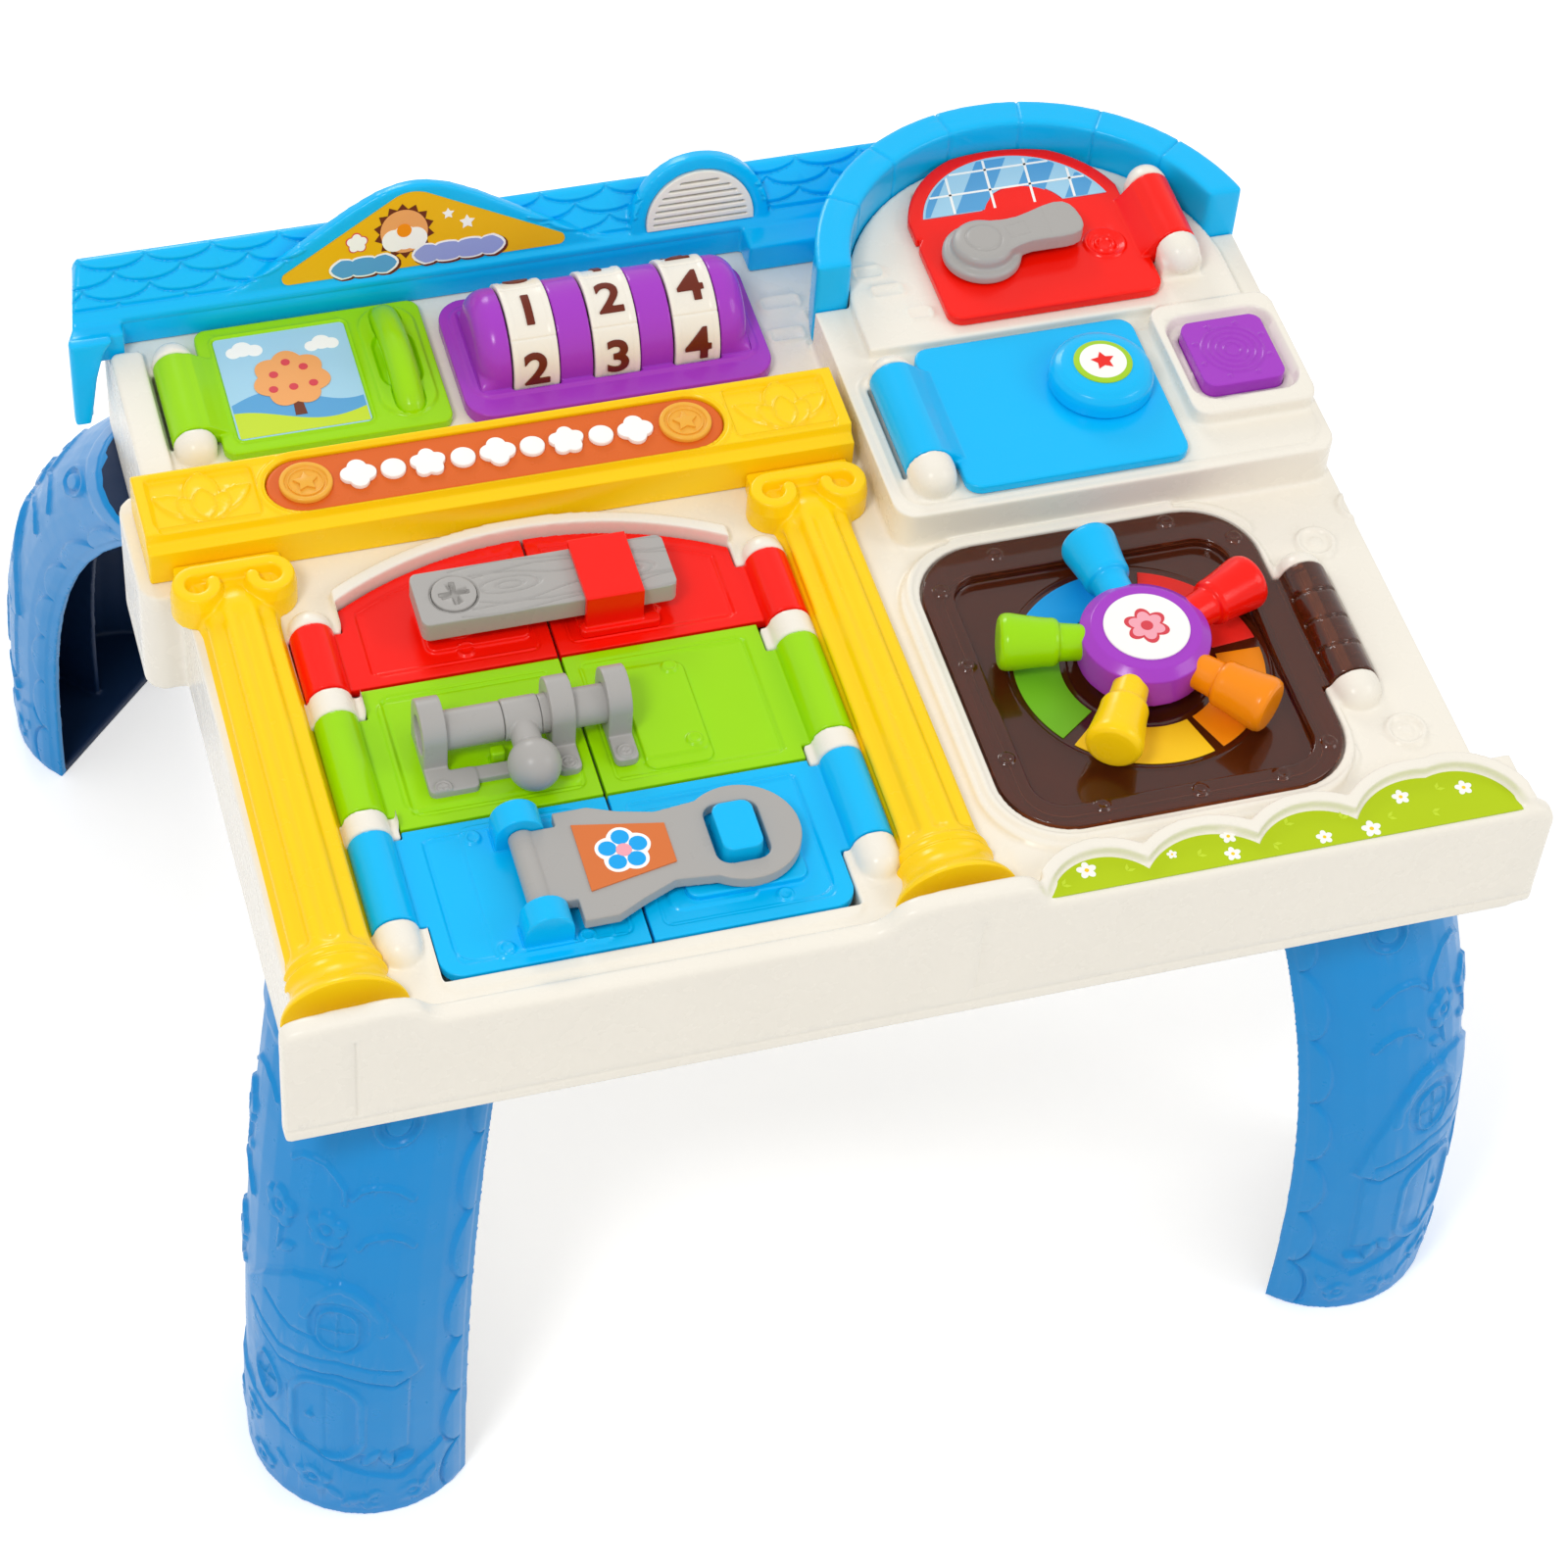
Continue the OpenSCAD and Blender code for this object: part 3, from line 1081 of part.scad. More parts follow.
// ---------------------------------------------------------------- latch doors

module leaf_plan(i, grow) {
  y0 = row_y0 + i * row_d + (i == 0 ? 0 : leaf_gap / 2) - grow;
  y1 = i == 2 ? 260 : row_y0 + (i + 1) * row_d - leaf_gap / 2 + grow;
  intersection() {
    if (i == 0) union() {
      translate([leaf_x0 - grow, y0 + door_corner]) square([leaf_x1 - leaf_x0 + 2 * grow, y1 - y0 - door_corner]);
      translate([leaf_x0 - grow + door_corner, y0]) square([leaf_x1 - leaf_x0 + 2 * grow - door_corner, y1 - y0]);
      translate([leaf_x0 - grow + door_corner, y0 + door_corner]) circle(door_corner);
    } else translate([leaf_x0 - grow, y0]) square([leaf_x1 - leaf_x0 + 2 * grow, y1 - y0]);
    translate([door_mid, arch_cy]) circle(arch_r + grow, $fn = 180);
  }
}

// A leaf with its barrel; the children are what stands on it
module leaf(i) difference() {
  union() {
    difference() {
      translate([0, 0, -leaf_t]) linear_extrude(leaf_t) leaf_plan(i, 0);
      translate([0, 0, -panel_drop]) linear_extrude(5) leaf_plan(i, -panel_edge);
    }
    rod_y(hinge_l, 0, barrel(i)[0], barrel(i)[1], barrel_r);
    block(hinge_l, max(barrel(i)[0], row_y0 + i * row_d + leaf_gap / 2), -leaf_t, leaf_x0 + 3, barrel(i)[1], 0);
    children();
  }
  rod_y(hinge_l, 0, barrel(i)[0] - 1, barrel(i)[1] + 1, rod_r + run);
}

module red_door_left() color(red) on_table() difference() {
  leaf(2) {
    rod_z(bar_x, bar_pivot_y, -panel_drop - 0.5, bar_z - fit / 2, 9);
    slab(bar_x - 12, bar_pivot_y - 13, leaf_x1 - 7, bar_pivot_y + 12, 3, -panel_drop - 0.5, 0.8);
  }
  rod_z(bar_x, bar_pivot_y, -leaf_t - 1, bar_z + 1, screw_r + seat);
}

module red_door_right() color(red) on_table() at_right() leaf(2);

// Clips of the bolt stand on this leaf's sunk panel
module green_door_left() color(green) on_table() leaf(1)
  slab(grip_x - 5.6, bolt_y - 9.8, grip_x - 0.4, bolt_y - 5.4, 1, -panel_drop - 0.5, 5.8);

module green_door_right() color(green) on_table() {
  at_right() leaf(1) translate([0, 0, 0])
    slab(2 * door_mid - keeper_x - clip_w - 26, bolt_y - 24, 2 * door_mid - keeper_x - clip_w - 2, bolt_y + 22, 4, -panel_drop - 0.5, 0.6);
}

module blue_door_left() color(sky) on_table() difference() {
  leaf(0) {
    for (y = [hasp_y - 26, hasp_y + 16.5]) {
      rod_y(hasp_px, hasp_z, y, y + 10, cheek_r);
      block(hasp_px - cheek_r, y, -leaf_t + 0.5, hasp_px + cheek_r, y + 10, hasp_z);
    }
  }
  rod_y(hasp_px, hasp_z, hasp_y - 24.5, hasp_y + 25, hasp_pin_r + seat);
}

module blue_door_right() color(sky) on_table() {
  at_right() leaf(0);
  slab(ring_x - 23, hasp_y - 19, ring_x + 19, hasp_y + 19, 4, -panel_drop - 0.5, 2);
  translate([ring_x - 1.5, hasp_y + 0.5, 1]) linear_extrude(staple_h - 1, scale = 0.94)
    rounded(-staple_l / 2, -staple_w / 2, staple_l / 2, staple_w / 2, 4);
}

module latch_hinge_rods() color(grey) on_table() both_doors() rod_y(hinge_l, 0, ear(0)[0] + 4, ear(3)[1] - 4, rod_r);

module hinge_pins() color(grey) on_table() {
  rod_y(wheel_hx, 0, wheel_b0 - 8, wheel_b1 + 6, pin_r);
  rod_y(pic_hinge_x, pic_axis_z, pic_b0 - 7, pic_b1 + 6, pin_r);
  rod_y(bdoor_hx, vb_z, bb0 - 9, bb1 + 5, pin_r);
  rod_y(rdoor_hx, vr_z, rb0 - 7.5, rb1 + 5.5, pin_r);
}

// ---------------------------------------------------------------- turning bar

module latch_bar() color(grey) on_table() difference() {
  slab(bar_x - bar_tail, bar_pivot_y - bar_w / 2, bar_x - bar_tail + bar_l, bar_pivot_y + bar_w / 2, 3, bar_z, bar_top);
  rod_z(bar_x, bar_pivot_y, 0, 30, screw_r + run);
  rod_z(bar_x, bar_pivot_y, bar_top - 1.4, 30, screw_head_r + fit);
}

module bar_screw() color("#8E8E90") on_table() difference() {
  union() {
    rod_z(bar_x, bar_pivot_y, -leaf_t, bar_top, screw_r);
    rod_z(bar_x, bar_pivot_y, bar_top - 1.3, bar_top + 0.6, screw_head_r);
  }
  block(bar_x - 5.5, bar_pivot_y - 1.1, bar_top - 0.6, bar_x + 5.5, bar_pivot_y + 1.1, bar_top + 2);
  block(bar_x - 1.1, bar_pivot_y - 5.5, bar_top - 0.6, bar_x + 1.1, bar_pivot_y + 5.5, bar_top + 2);
}

module bar_strap() color(red) on_table() {
  y0 = bar_pivot_y - bar_w / 2 - strap_gap;
  top = bar_top + strap_gap;
  block(strap_x, y0 - strap_t, -panel_drop + seat, strap_x + strap_w, y0, top + strap_t);
  block(strap_x, y0 - strap_t, top, strap_x + strap_w, bar_pivot_y + bar_w / 2 + 1, top + strap_t);
  foot_y = max(y0 - strap_t - 4, row2 + leaf_gap / 2 + panel_edge + fit);
  slab(strap_x - 2, foot_y, strap_x + strap_w + 6, y0 - 0.01, 2, -panel_drop + seat, 3);
  slab(strap_x - 2, foot_y, strap_x + strap_w + 6, bar_pivot_y + bar_w / 2 + 2, 2, -panel_drop + seat, 1);
}

// ---------------------------------------------------------------- sliding bolt

module clip(x) difference() {
  union() {
    rod_x(clip_y, clip_z, x, x + clip_w, clip_r);
    block(x, clip_y - clip_r, -panel_drop + seat, x + clip_w, clip_y + clip_r, clip_z);
    slab(x, clip_y - clip_r - 11, x + clip_w, clip_y, 2.5, -panel_drop + seat, foot_t);
  }
  rod_x(bolt_y, bolt_z, x - 1, x + clip_w + 1, bolt_r + run);
}

// Its last clip steps up over the border of the leaf
module bolt_base() color(grey) on_table() difference() {
  bolt_base_full();
  block(leaf_x1 - panel_edge - fit, clip_y - clip_r - 12, -panel_drop - 1, clip2_x + clip_w + 1, clip_y + clip_r + 1, seat);
}

module bolt_base_full() {
  clip(clip1_x);
  clip(clip2_x);
  slab(clip1_x + 1, clip_y - clip_r - 7.5, clip2_x + clip_w - 1, clip_y - clip_r - 1.5, 2, -panel_drop + seat, foot_t - 0.5);
  slab(clip1_x + 1, clip_y - clip_r - 11, clip1_x + clip_w + 9, clip_y - clip_r - 1.5, 2, -panel_drop + seat, foot_t);
}

module bolt_keeper() color(grey) on_table() clip(keeper_x);

module bolt_rod() color(grey) on_table() difference() {
  union() {
    rod_x(bolt_y, bolt_z, bolt_x, grip_x - run, bolt_r);
    rod_x(bolt_y, bolt_z, grip_x - 1, grip_x + grip_l + 1, bolt_neck_r);
    rod_x(bolt_y, bolt_z, grip_x + grip_l + run, bolt_x + bolt_l, bolt_r);
  }
}

module bolt_knob() color(grey) on_table() difference() {
  union() {
    rod_x(bolt_y, bolt_z, grip_x + run, grip_x + grip_l - run, grip_r);
    rod_y(grip_x + grip_l / 2, bolt_z, bolt_y - ball_reach, bolt_y - bolt_neck_r - 1, stalk_r);
    translate([grip_x + grip_l / 2, bolt_y - ball_reach, bolt_z]) sphere(ball_r);
  }
  rod_x(bolt_y, bolt_z, grip_x - 1, grip_x + grip_l + 1, bolt_neck_r + run);
}

// ---------------------------------------------------------------- hasp

module hasp_plan() {
  polygon([[hasp_px + 12, hasp_y - 25], [hasp_px + 24, hasp_y - 25], [hasp_px + 34, hasp_y - 20], [hasp_px + 46, hasp_y - 15],
    [ring_x - 12, hasp_y - 16.5], [ring_x - 12, hasp_y + 16.5], [hasp_px + 46, hasp_y + 15], [hasp_px + 34, hasp_y + 18],
    [hasp_px + 24, hasp_y + 22], [hasp_px + 12, hasp_y + 22]]);
  translate([ring_x, hasp_y]) circle(hasp_ring_r);
}

module hasp() color(grey) on_table() difference() {
  union() {
    translate([0, 0, hasp_under]) linear_extrude(hasp_t) hasp_plan();
    rod_y(hasp_px, hasp_z, hasp_y - 16 + fit, hasp_y + 16.5 - fit, hasp_barrel_r);
    block(hasp_px, hasp_y - 16 + fit, hasp_under, hasp_px + 14, hasp_y + 16.5 - fit, hasp_top);
  }
  rod_y(hasp_px, hasp_z, hasp_y - 40, hasp_y + 40, hasp_pin_r + run);
  slab(ring_x - 1.5 - staple_l / 2 - staple_gap, hasp_y + 0.5 - staple_w / 2 - staple_gap, ring_x - 1.5 + staple_l / 2 + staple_gap, hasp_y + 0.5 + staple_w / 2 + staple_gap, 5, 0, 20);
}

module hasp_pin() color("#8E8E90") on_table() rod_y(hasp_px, hasp_z, hasp_y - 24, hasp_y + 24.5, hasp_pin_r);

module hasp_label() color(orange) on_table() translate([0, 0, hasp_top + seat]) linear_extrude(label_t)
  polygon([[hasp_px + 17, hasp_y - 14], [hasp_px + 48, hasp_y - 8], [hasp_px + 48, hasp_y + 9], [hasp_px + 17, hasp_y + 15]]);

// ---------------------------------------------------------------- vault

// The door's crown stays inside the rim
module rdoor_plan(inset) intersection() {
  union() {
    intersection() {
      translate([rdoor_cx, rdoor_cy]) circle(rdoor_r - inset, $fn = 96);
      translate([rdoor_x0 + inset, rdoor_cy]) square([rdoor_x1 - rdoor_x0 - 2 * inset, 100]);
    }
    rounded(rdoor_x0 + inset, rdoor_y0 + inset, rdoor_x1 - inset, rdoor_cy + 1, 6);
  }
  translate([rim_x, rim_y]) circle(rim_ri - fit - inset, $fn = 128);
}

module red_vault_door() color(red) on_table() difference() {
  union() {
    translate([0, 0, rdoor_z0]) linear_extrude(vdoor_t) rdoor_plan(0);
    rod_y(rdoor_hx, vr_z, rb0 + fit, rb1 - fit, vbarrel_r);
    block(rdoor_x1 - 3, rb0 + fit, rdoor_z0, rdoor_hx, rb1 - fit, rdoor_z1);
    difference() {
      rod_z(rdoor_x1 - 15, lever_y - 2, rdoor_z0, rdoor_z1 + 0.8, 7);
      rod_z(rdoor_x1 - 15, lever_y - 2, rdoor_z1, rdoor_z1 + 2, 5.8);
    }
  }
  rod_y(rdoor_hx, vr_z, rb0 - 1, rb1 + 1, pin_r + run);
  rod_z(lever_x, lever_y, 0, 60, shaft_r + run);
  translate([0, 0, rdoor_z1 - label_t - 0.1]) linear_extrude(4) window_plan(0);
}

module window_plan(inset) difference() {
  intersection() {
    translate([rdoor_cx, rdoor_cy]) circle(rdoor_r - 5.5 - inset, $fn = 96);
    translate([rdoor_x0, rdoor_cy + 10 + inset]) square([90, 60]);
  }
  translate([rdoor_cx + 3, rdoor_cy + 4]) circle(17 + inset);
}

module window_label() color("#9CCBE4") on_table() translate([0, 0, rdoor_z1 - label_t - 0.1 + seat]) linear_extrude(label_t - seat) window_plan(fit);

module vault_lever() color(grey) on_table() {
  z0 = rdoor_z1 + 0.4;
  rod_z(lever_x, lever_y, z0, z0 + 4, lever_r);
  rod_z(lever_x, lever_y, z0 + 3.9, z0 + lever_h - 1, lever_r - 3);
  rod_z(lever_x, lever_y, z0 + lever_h - 1.1, z0 + lever_h, 8);
  rod_z(lever_x, lever_y, rdoor_z0 - 1, z0 + 1, shaft_r);
  rod_z(lever_x, lever_y, rdoor_z0 - 3, rdoor_z0 - 0.4, shaft_r + 2.5);
  translate([lever_x, lever_y, z0 + 3]) rotate([0, 0, lever_turn]) linear_extrude(lever_h - 5) {
    polygon([[0, 5 - lever_r], [lever_l, -lever_end_r], [lever_l, lever_end_r], [0, lever_r - 4]]);
    translate([lever_l, 0]) circle(lever_end_r);
  }
}

module blue_vault_door() color(sky) on_table() difference() {
  union() {
    slab(bdoor_x0, bdoor_y0, bdoor_x1, bdoor_y1, 6, bdoor_z0, bdoor_z1);
    rod_y(bdoor_hx, vb_z, bb0 + fit, bb1 - fit, bbarrel_r);
    block(bdoor_hx, bb0 + fit, bdoor_z0, bdoor_x0 + 7, bb1 - fit, bdoor_z1);
  }
  rod_y(bdoor_hx, vb_z, bb0 - 1, bb1 + 1, pin_r + run);
  rod_z(knob_x, knob_y, 0, 60, shaft_r + run);
}

module vault_knob() color(sky) on_table() {
  z0 = bdoor_z1 + 0.4;
  rod_z(knob_x, knob_y, z0, z0 + 3.2, knob_r);
  translate([knob_x, knob_y, z0 + 3.1]) cylinder(r1 = knob_r - 2, r2 = knob_top_r, h = knob_h - 4.1);
  rod_z(knob_x, knob_y, z0 + knob_h - 1.2, z0 + knob_h, knob_top_r);
  rod_z(knob_x, knob_y, bdoor_z0 - 1, z0 + 1, shaft_r);
  rod_z(knob_x, knob_y, bdoor_z0 - 3, bdoor_z0 - 0.4, shaft_r + 2.5);
}

module knob_badge() color("#FFFFFF") on_table() rod_z(knob_x, knob_y, bdoor_z1 + 0.4 + knob_h + seat, bdoor_z1 + 0.4 + knob_h + label_t, knob_top_r - 2);

module press_button() color(purple) on_table() {
  slab(button_x0, button_y0, button_x0 + button_w, button_y0 + button_d, 5, button_z0, button_z1);
}

module button_dome() color(dark) on_table() translate([button_x0 + button_w / 2, button_y0 + button_d / 2, button_z0 - 4.5 + seat])
  difference() {
    cylinder(r1 = 7, r2 = 4, h = 4.5 - 2 * seat);
    translate([0, 0, -0.1]) cylinder(r1 = 6, r2 = 3, h = 3.6);
  }

// ---------------------------------------------------------------- wheel door

module wheel_door() color(smoke) on_table() difference() {
  union() {
    slab(wheel_x0, wheel_y0, wheel_x1, wheel_y1, wheel_corner, -wheel_z1, wheel_z1);
    slab(wheel_x0 + 8, wheel_y0 + 7, wheel_x1 - 8, wheel_y1 - 11, 15, dish_z - dish_t, 0);
    rod_y(wheel_hx, 0, wheel_b0 + fit, wheel_b1 - fit, wheel_barrel_r);
    block(wheel_x1 - 8, wheel_b0 + fit, -wheel_z1, wheel_hx, wheel_b1 - fit, wheel_z1);
  }
  rod_y(wheel_hx, 0, wheel_b0 - 1, wheel_b1 + 1, pin_r + run);
  rod_z(hub_x, hub_y, -20, 30, spindle_r + run);
  slab(wheel_x0 + 11, wheel_y0 + 10, wheel_x1 - 11, wheel_y1 - 14, 12, dish_z, wheel_z1 + 1);
}

module arcs_plan(shrink) difference() {
  translate([hub_x, hub_y]) circle(arc_ro - shrink, $fn = 96);
  translate([hub_x, hub_y]) circle(arc_ri + shrink, $fn = 96);
  for (i = [0:4]) translate([hub_x, hub_y]) rotate(2 + 72 * i) translate([0, -2.2]) square([60, 4.4]);
}

module colour_arcs() color(orange) on_table() translate([0, 0, dish_z + seat]) linear_extrude(label_t) arcs_plan(0);

module wheel_hub() color(purple) on_table() difference() {
  union() {
    rod_z(hub_x, hub_y, hub_z0, wheel_z1 + hub_h - 3, hub_r);
    translate([hub_x, hub_y, wheel_z1 + hub_h - 3.01]) cylinder(r1 = hub_r, r2 = hub_r - 4, h = 3);
    rod_z(hub_x, hub_y, dish_z + hub_gap, hub_z0 + 1, hub_r - 4);
    rod_z(hub_x, hub_y, dish_z - dish_t - 2, dish_z + 2, spindle_r);
    rod_z(hub_x, hub_y, dish_z - dish_t - 3.5, dish_z - dish_t - 0.5, spindle_r + 4);
  }
  for (i = [0:4]) spoke_line(i) rod_x(0, 0, 10, hub_r + 5, spoke_r + seat);
}

module spoke_line(i) translate([hub_x, hub_y, wheel_z1 + spoke_z]) rotate([0, 0, spoke_turn + 72 * i]) children();

module wheel_spokes() color(yellow) on_table() for (i = [0:4]) spoke_line(i) {
  rod_x(0, 0, 10.2, spoke_l - grip_end_l + 1, spoke_r);
  rod_x(0, 0, spoke_l - grip_end_l, spoke_l, grip_end_r);
}

module hub_badge() color("#FFFFFF") on_table() rod_z(hub_x, hub_y, wheel_z1 + hub_h + seat, wheel_z1 + hub_h + 1, 15.4);

module hills_label() color("#BDD400") on_table() translate([0, 0, shelf_z + seat]) linear_extrude(label_t) intersection() {
  hills_plan(-1);
  translate([250, 2]) square([200, 60]);
}

// ---------------------------------------------------------------- nodes

top_shell();
bottom_shell();
battery_door();
battery_cells();
circuit_board();
speaker();
speaker_grille();
case_screws();
leg_front_left();
leg_front_right();
leg_rear_left();
leg_rear_right();
roof_panel();
gable_label();
arch_rim();
beam();
column_left();
column_right();
sign_plate();
sign_emblems();
picture_door();
picture_label();
reel_housing();
reel_axle();
reel_left();
reel_middle();
reel_right();
red_door_left();
red_door_right();
green_door_left();
green_door_right();
blue_door_left();
blue_door_right();
latch_hinge_rods();
hinge_pins();
latch_bar();
bar_screw();
bar_strap();
bolt_rod();
bolt_knob();
bolt_base();
bolt_keeper();
hasp();
hasp_pin();
hasp_label();
red_vault_door();
window_label();
vault_lever();
blue_vault_door();
vault_knob();
knob_badge();
press_button();
button_dome();
wheel_door();
colour_arcs();
wheel_hub();
wheel_spokes();
hub_badge();
hills_label();
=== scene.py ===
"""Looks of the musical activity table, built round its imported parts.

Shapes are drawn in panel millimetres: x along the apron, y from the apron to the roof, z up from the deck.
They are turned to the shared frame's metres when a mesh is made.
"""

import math

import bpy
import numpy as np
from mathutils import Matrix, Vector


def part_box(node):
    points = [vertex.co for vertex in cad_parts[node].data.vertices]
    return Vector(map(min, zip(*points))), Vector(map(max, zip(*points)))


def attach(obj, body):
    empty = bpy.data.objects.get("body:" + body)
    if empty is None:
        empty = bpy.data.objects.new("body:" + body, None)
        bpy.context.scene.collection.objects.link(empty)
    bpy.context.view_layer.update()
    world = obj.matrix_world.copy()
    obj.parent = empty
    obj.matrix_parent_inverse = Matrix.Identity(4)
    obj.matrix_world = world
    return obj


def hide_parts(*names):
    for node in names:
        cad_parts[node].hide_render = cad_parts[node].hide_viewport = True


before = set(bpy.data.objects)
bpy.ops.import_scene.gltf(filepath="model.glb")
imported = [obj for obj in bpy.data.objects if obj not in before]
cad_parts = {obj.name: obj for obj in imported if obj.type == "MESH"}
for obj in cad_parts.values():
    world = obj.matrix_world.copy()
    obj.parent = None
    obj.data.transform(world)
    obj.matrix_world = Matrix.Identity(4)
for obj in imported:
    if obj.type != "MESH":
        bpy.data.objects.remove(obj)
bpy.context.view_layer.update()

MM = 1000.0  # millimetres in a metre
ORIGIN = np.array([222.0, 210.5, -273.0])  # the shared frame's origin, in panel millimetres
COARSER = 1.0
FAR = 1e9
TINY = 1e-6

# ---------------------------------------------------------------- camera, light and floor

LENS_MM, SENSOR_MM = 98.174, 36.0
NEAR_CLIP, FAR_CLIP = 0.05, 20.0
EYE = (-135.747, -812.549, 1125.748)
EYE_AXES = (
    (0.959611, -0.274413, 0.062006),
    (0.172772, 0.74877, 0.639917),
    (-0.22203, -0.603358, 0.765939),
)
LAMPS = (  # name, place, aim, width and power of each round soft box
    ("key", (-0.9, -0.9, 1.9), (0, 0, 0.25), 0.5, 12.5),
    ("fill", (1.3, -0.7, 1.3), (0, 0, 0.2), 0.8, 5),
    ("rim", (-0.2, 1.6, 1.1), (0, 0, 0.25), 0.6, 6),
)
WORLD_LEVEL, WHITE_LEVEL, FLOOR_GLOW = 0.68, 1.0, 0.3
WHITE = (1.0, 1.0, 1.0, 1.0)


def metres(p):
    return (np.asarray(p, float) - ORIGIN) / MM


def in_scene(name, data):
    o = bpy.data.objects.new(name, data)
    bpy.context.scene.collection.objects.link(o)
    return o


def make_camera():
    data = bpy.data.cameras.new("camera")
    data.lens, data.sensor_width = LENS_MM, SENSOR_MM
    data.clip_start, data.clip_end = NEAR_CLIP, FAR_CLIP
    cam = in_scene("camera", data)
    m = Matrix([list(r) for r in np.array(EYE_AXES).T]).to_4x4()
    m.translation = Vector(metres(EYE))
    cam.matrix_world = m
    bpy.context.scene.camera = cam


def lamp(name, place, aim, size, watts):
    data = bpy.data.lights.new(name, "AREA")
    data.shape, data.size, data.energy = "DISK", size, watts
    o = in_scene(name, data)
    o.location = place
    o.rotation_mode = "QUATERNION"
    o.rotation_quaternion = (Vector(aim) - Vector(place)).to_track_quat("-Z", "Y")


# ---------------------------------------------------------------- materials

PLASTIC_IOR = 1.5
# sizes of the flow mottling, of the uneven gloss and of the wall's slow waves
FLOW_MM, SMEAR_MM, WAVE_MM = 40, 9, 14
FLOW, WAVE = 0.03, 0.07
GRAIN_HEIGHT, WAVE_HEIGHT = 0.0002, 0.0006  # metres


def linear(hex_colour):
    h = hex_colour.lstrip("#")
    v = [int(h[i : i + 2], 16) / 255 for i in (0, 2, 4)]
    return tuple(c / 12.92 if c <= 0.04045 else ((c + 0.055) / 1.055) ** 2.4 for c in v) + (1.0,)


def add(tree, kind, settings=(), links=()):
    """Adds one node; settings name its inputs or its own properties, links give an input's source socket."""
    n = tree.nodes.new(kind)
    for key, value in dict(settings).items():
        if isinstance(key, int) or key in n.inputs:
            n.inputs[key].default_value = value
        else:
            setattr(n, key, value)
    for key, source in dict(links).items():
        tree.links.new(source, n.inputs[key])
    return n


def new_finish(name):
    m = bpy.data.materials.new(name)
    m.use_nodes = True
    t = m.node_tree
    t.nodes.clear()
    return m, t, add(t, "ShaderNodeOutputMaterial")


def shade(hex_colour, k):
    c = linear(hex_colour)
    return (c[0] * k, c[1] * k, c[2] * k, 1.0)


def abs_plastic(name, colour, rough, grain_mm=0.5, grain=0.025):
    """Injection-moulded ABS: slight flow mottling, a soft uneven gloss and the fine grain of the mould's wall."""
    m, t, out = new_finish(name)
    where = add(t, "ShaderNodeTexCoord").outputs["Object"]
    flow = {"Scale": MM / FLOW_MM, "Detail": 3.0, "Roughness": 0.55}
    mottle = add(t, "ShaderNodeTexNoise", flow, {"Vector": where})
    ends = {6: shade(colour, 1.0 - FLOW), 7: shade(colour, 1.0 + FLOW * 0.4)}
    tint = add(t, "ShaderNodeMix", {"data_type": "RGBA", **ends}, {"Factor": mottle.outputs["Fac"]})
    smear = add(t, "ShaderNodeTexNoise", {"Scale": MM / SMEAR_MM, "Detail": 4.0}, {"Vector": where})
    span = {"From Min": 0.3, "From Max": 0.7, "To Min": rough - 0.035, "To Max": rough + 0.05}
    sheen = add(t, "ShaderNodeMapRange", span, {"Value": smear.outputs["Fac"]})
    fine = add(t, "ShaderNodeTexNoise", {"Scale": MM / grain_mm, "Detail": 2.0}, {"Vector": where})
    wave = add(t, "ShaderNodeTexNoise", {"Scale": MM / WAVE_MM, "Detail": 1.0}, {"Vector": where})
    pits = add(
        t, "ShaderNodeBump", {"Strength": grain, "Distance": GRAIN_HEIGHT}, {"Height": fine.outputs["Fac"]},
    )
    wall = add(
        t, "ShaderNodeBump", {"Strength": WAVE, "Distance": WAVE_HEIGHT},
        {"Height": wave.outputs["Fac"], "Normal": pits.outputs["Normal"]},
    )
    p = add(
        t, "ShaderNodeBsdfPrincipled", {"IOR": PLASTIC_IOR, "Specular IOR Level": 0.26},
        {
            "Base Color": tint.outputs[2], "Roughness": sheen.outputs["Result"],
            "Normal": wall.outputs["Normal"],
        },
    )
    t.links.new(p.outputs["BSDF"], out.inputs["Surface"])
    return m


def smoked_styrene(name, colour, thin):
    """Clear tinted polystyrene, moulded in a polished tool: glassy, with the light of what lies under it."""
    m, t, out = new_finish(name)
    where = add(t, "ShaderNodeTexCoord").outputs["Object"]
    wave = add(t, "ShaderNodeTexNoise", {"Scale": MM / 18, "Detail": 2.0}, {"Vector": where}).outputs["Fac"]
    sheen = add(t, "ShaderNodeMapRange", {"To Min": 0.06, "To Max": 0.13}, {"Value": wave})
    wall = add(t, "ShaderNodeBump", {"Strength": 0.08, "Distance": WAVE_HEIGHT}, {"Height": wave})
    ends = {6: shade(colour, 0.9), 7: shade(colour, 1.1)}
    tint = add(t, "ShaderNodeMix", {"data_type": "RGBA", **ends}, {"Factor": wave})
    p = add(
        t, "ShaderNodeBsdfPrincipled",
        {"IOR": PLASTIC_IOR, "Transmission Weight": thin, "Specular IOR Level": 0.3},
        {
            "Base Color": tint.outputs[2], "Roughness": sheen.outputs["Result"],
            "Normal": wall.outputs["Normal"],
        },
    )
    t.links.new(p.outputs["BSDF"], out.inputs["Surface"])
    return m


def printed_film(name, colour):
    """A printed label under a clear film: even colour with the film's faint orange peel."""
    return abs_plastic(name, colour, 0.42, 0.9, 0.03)


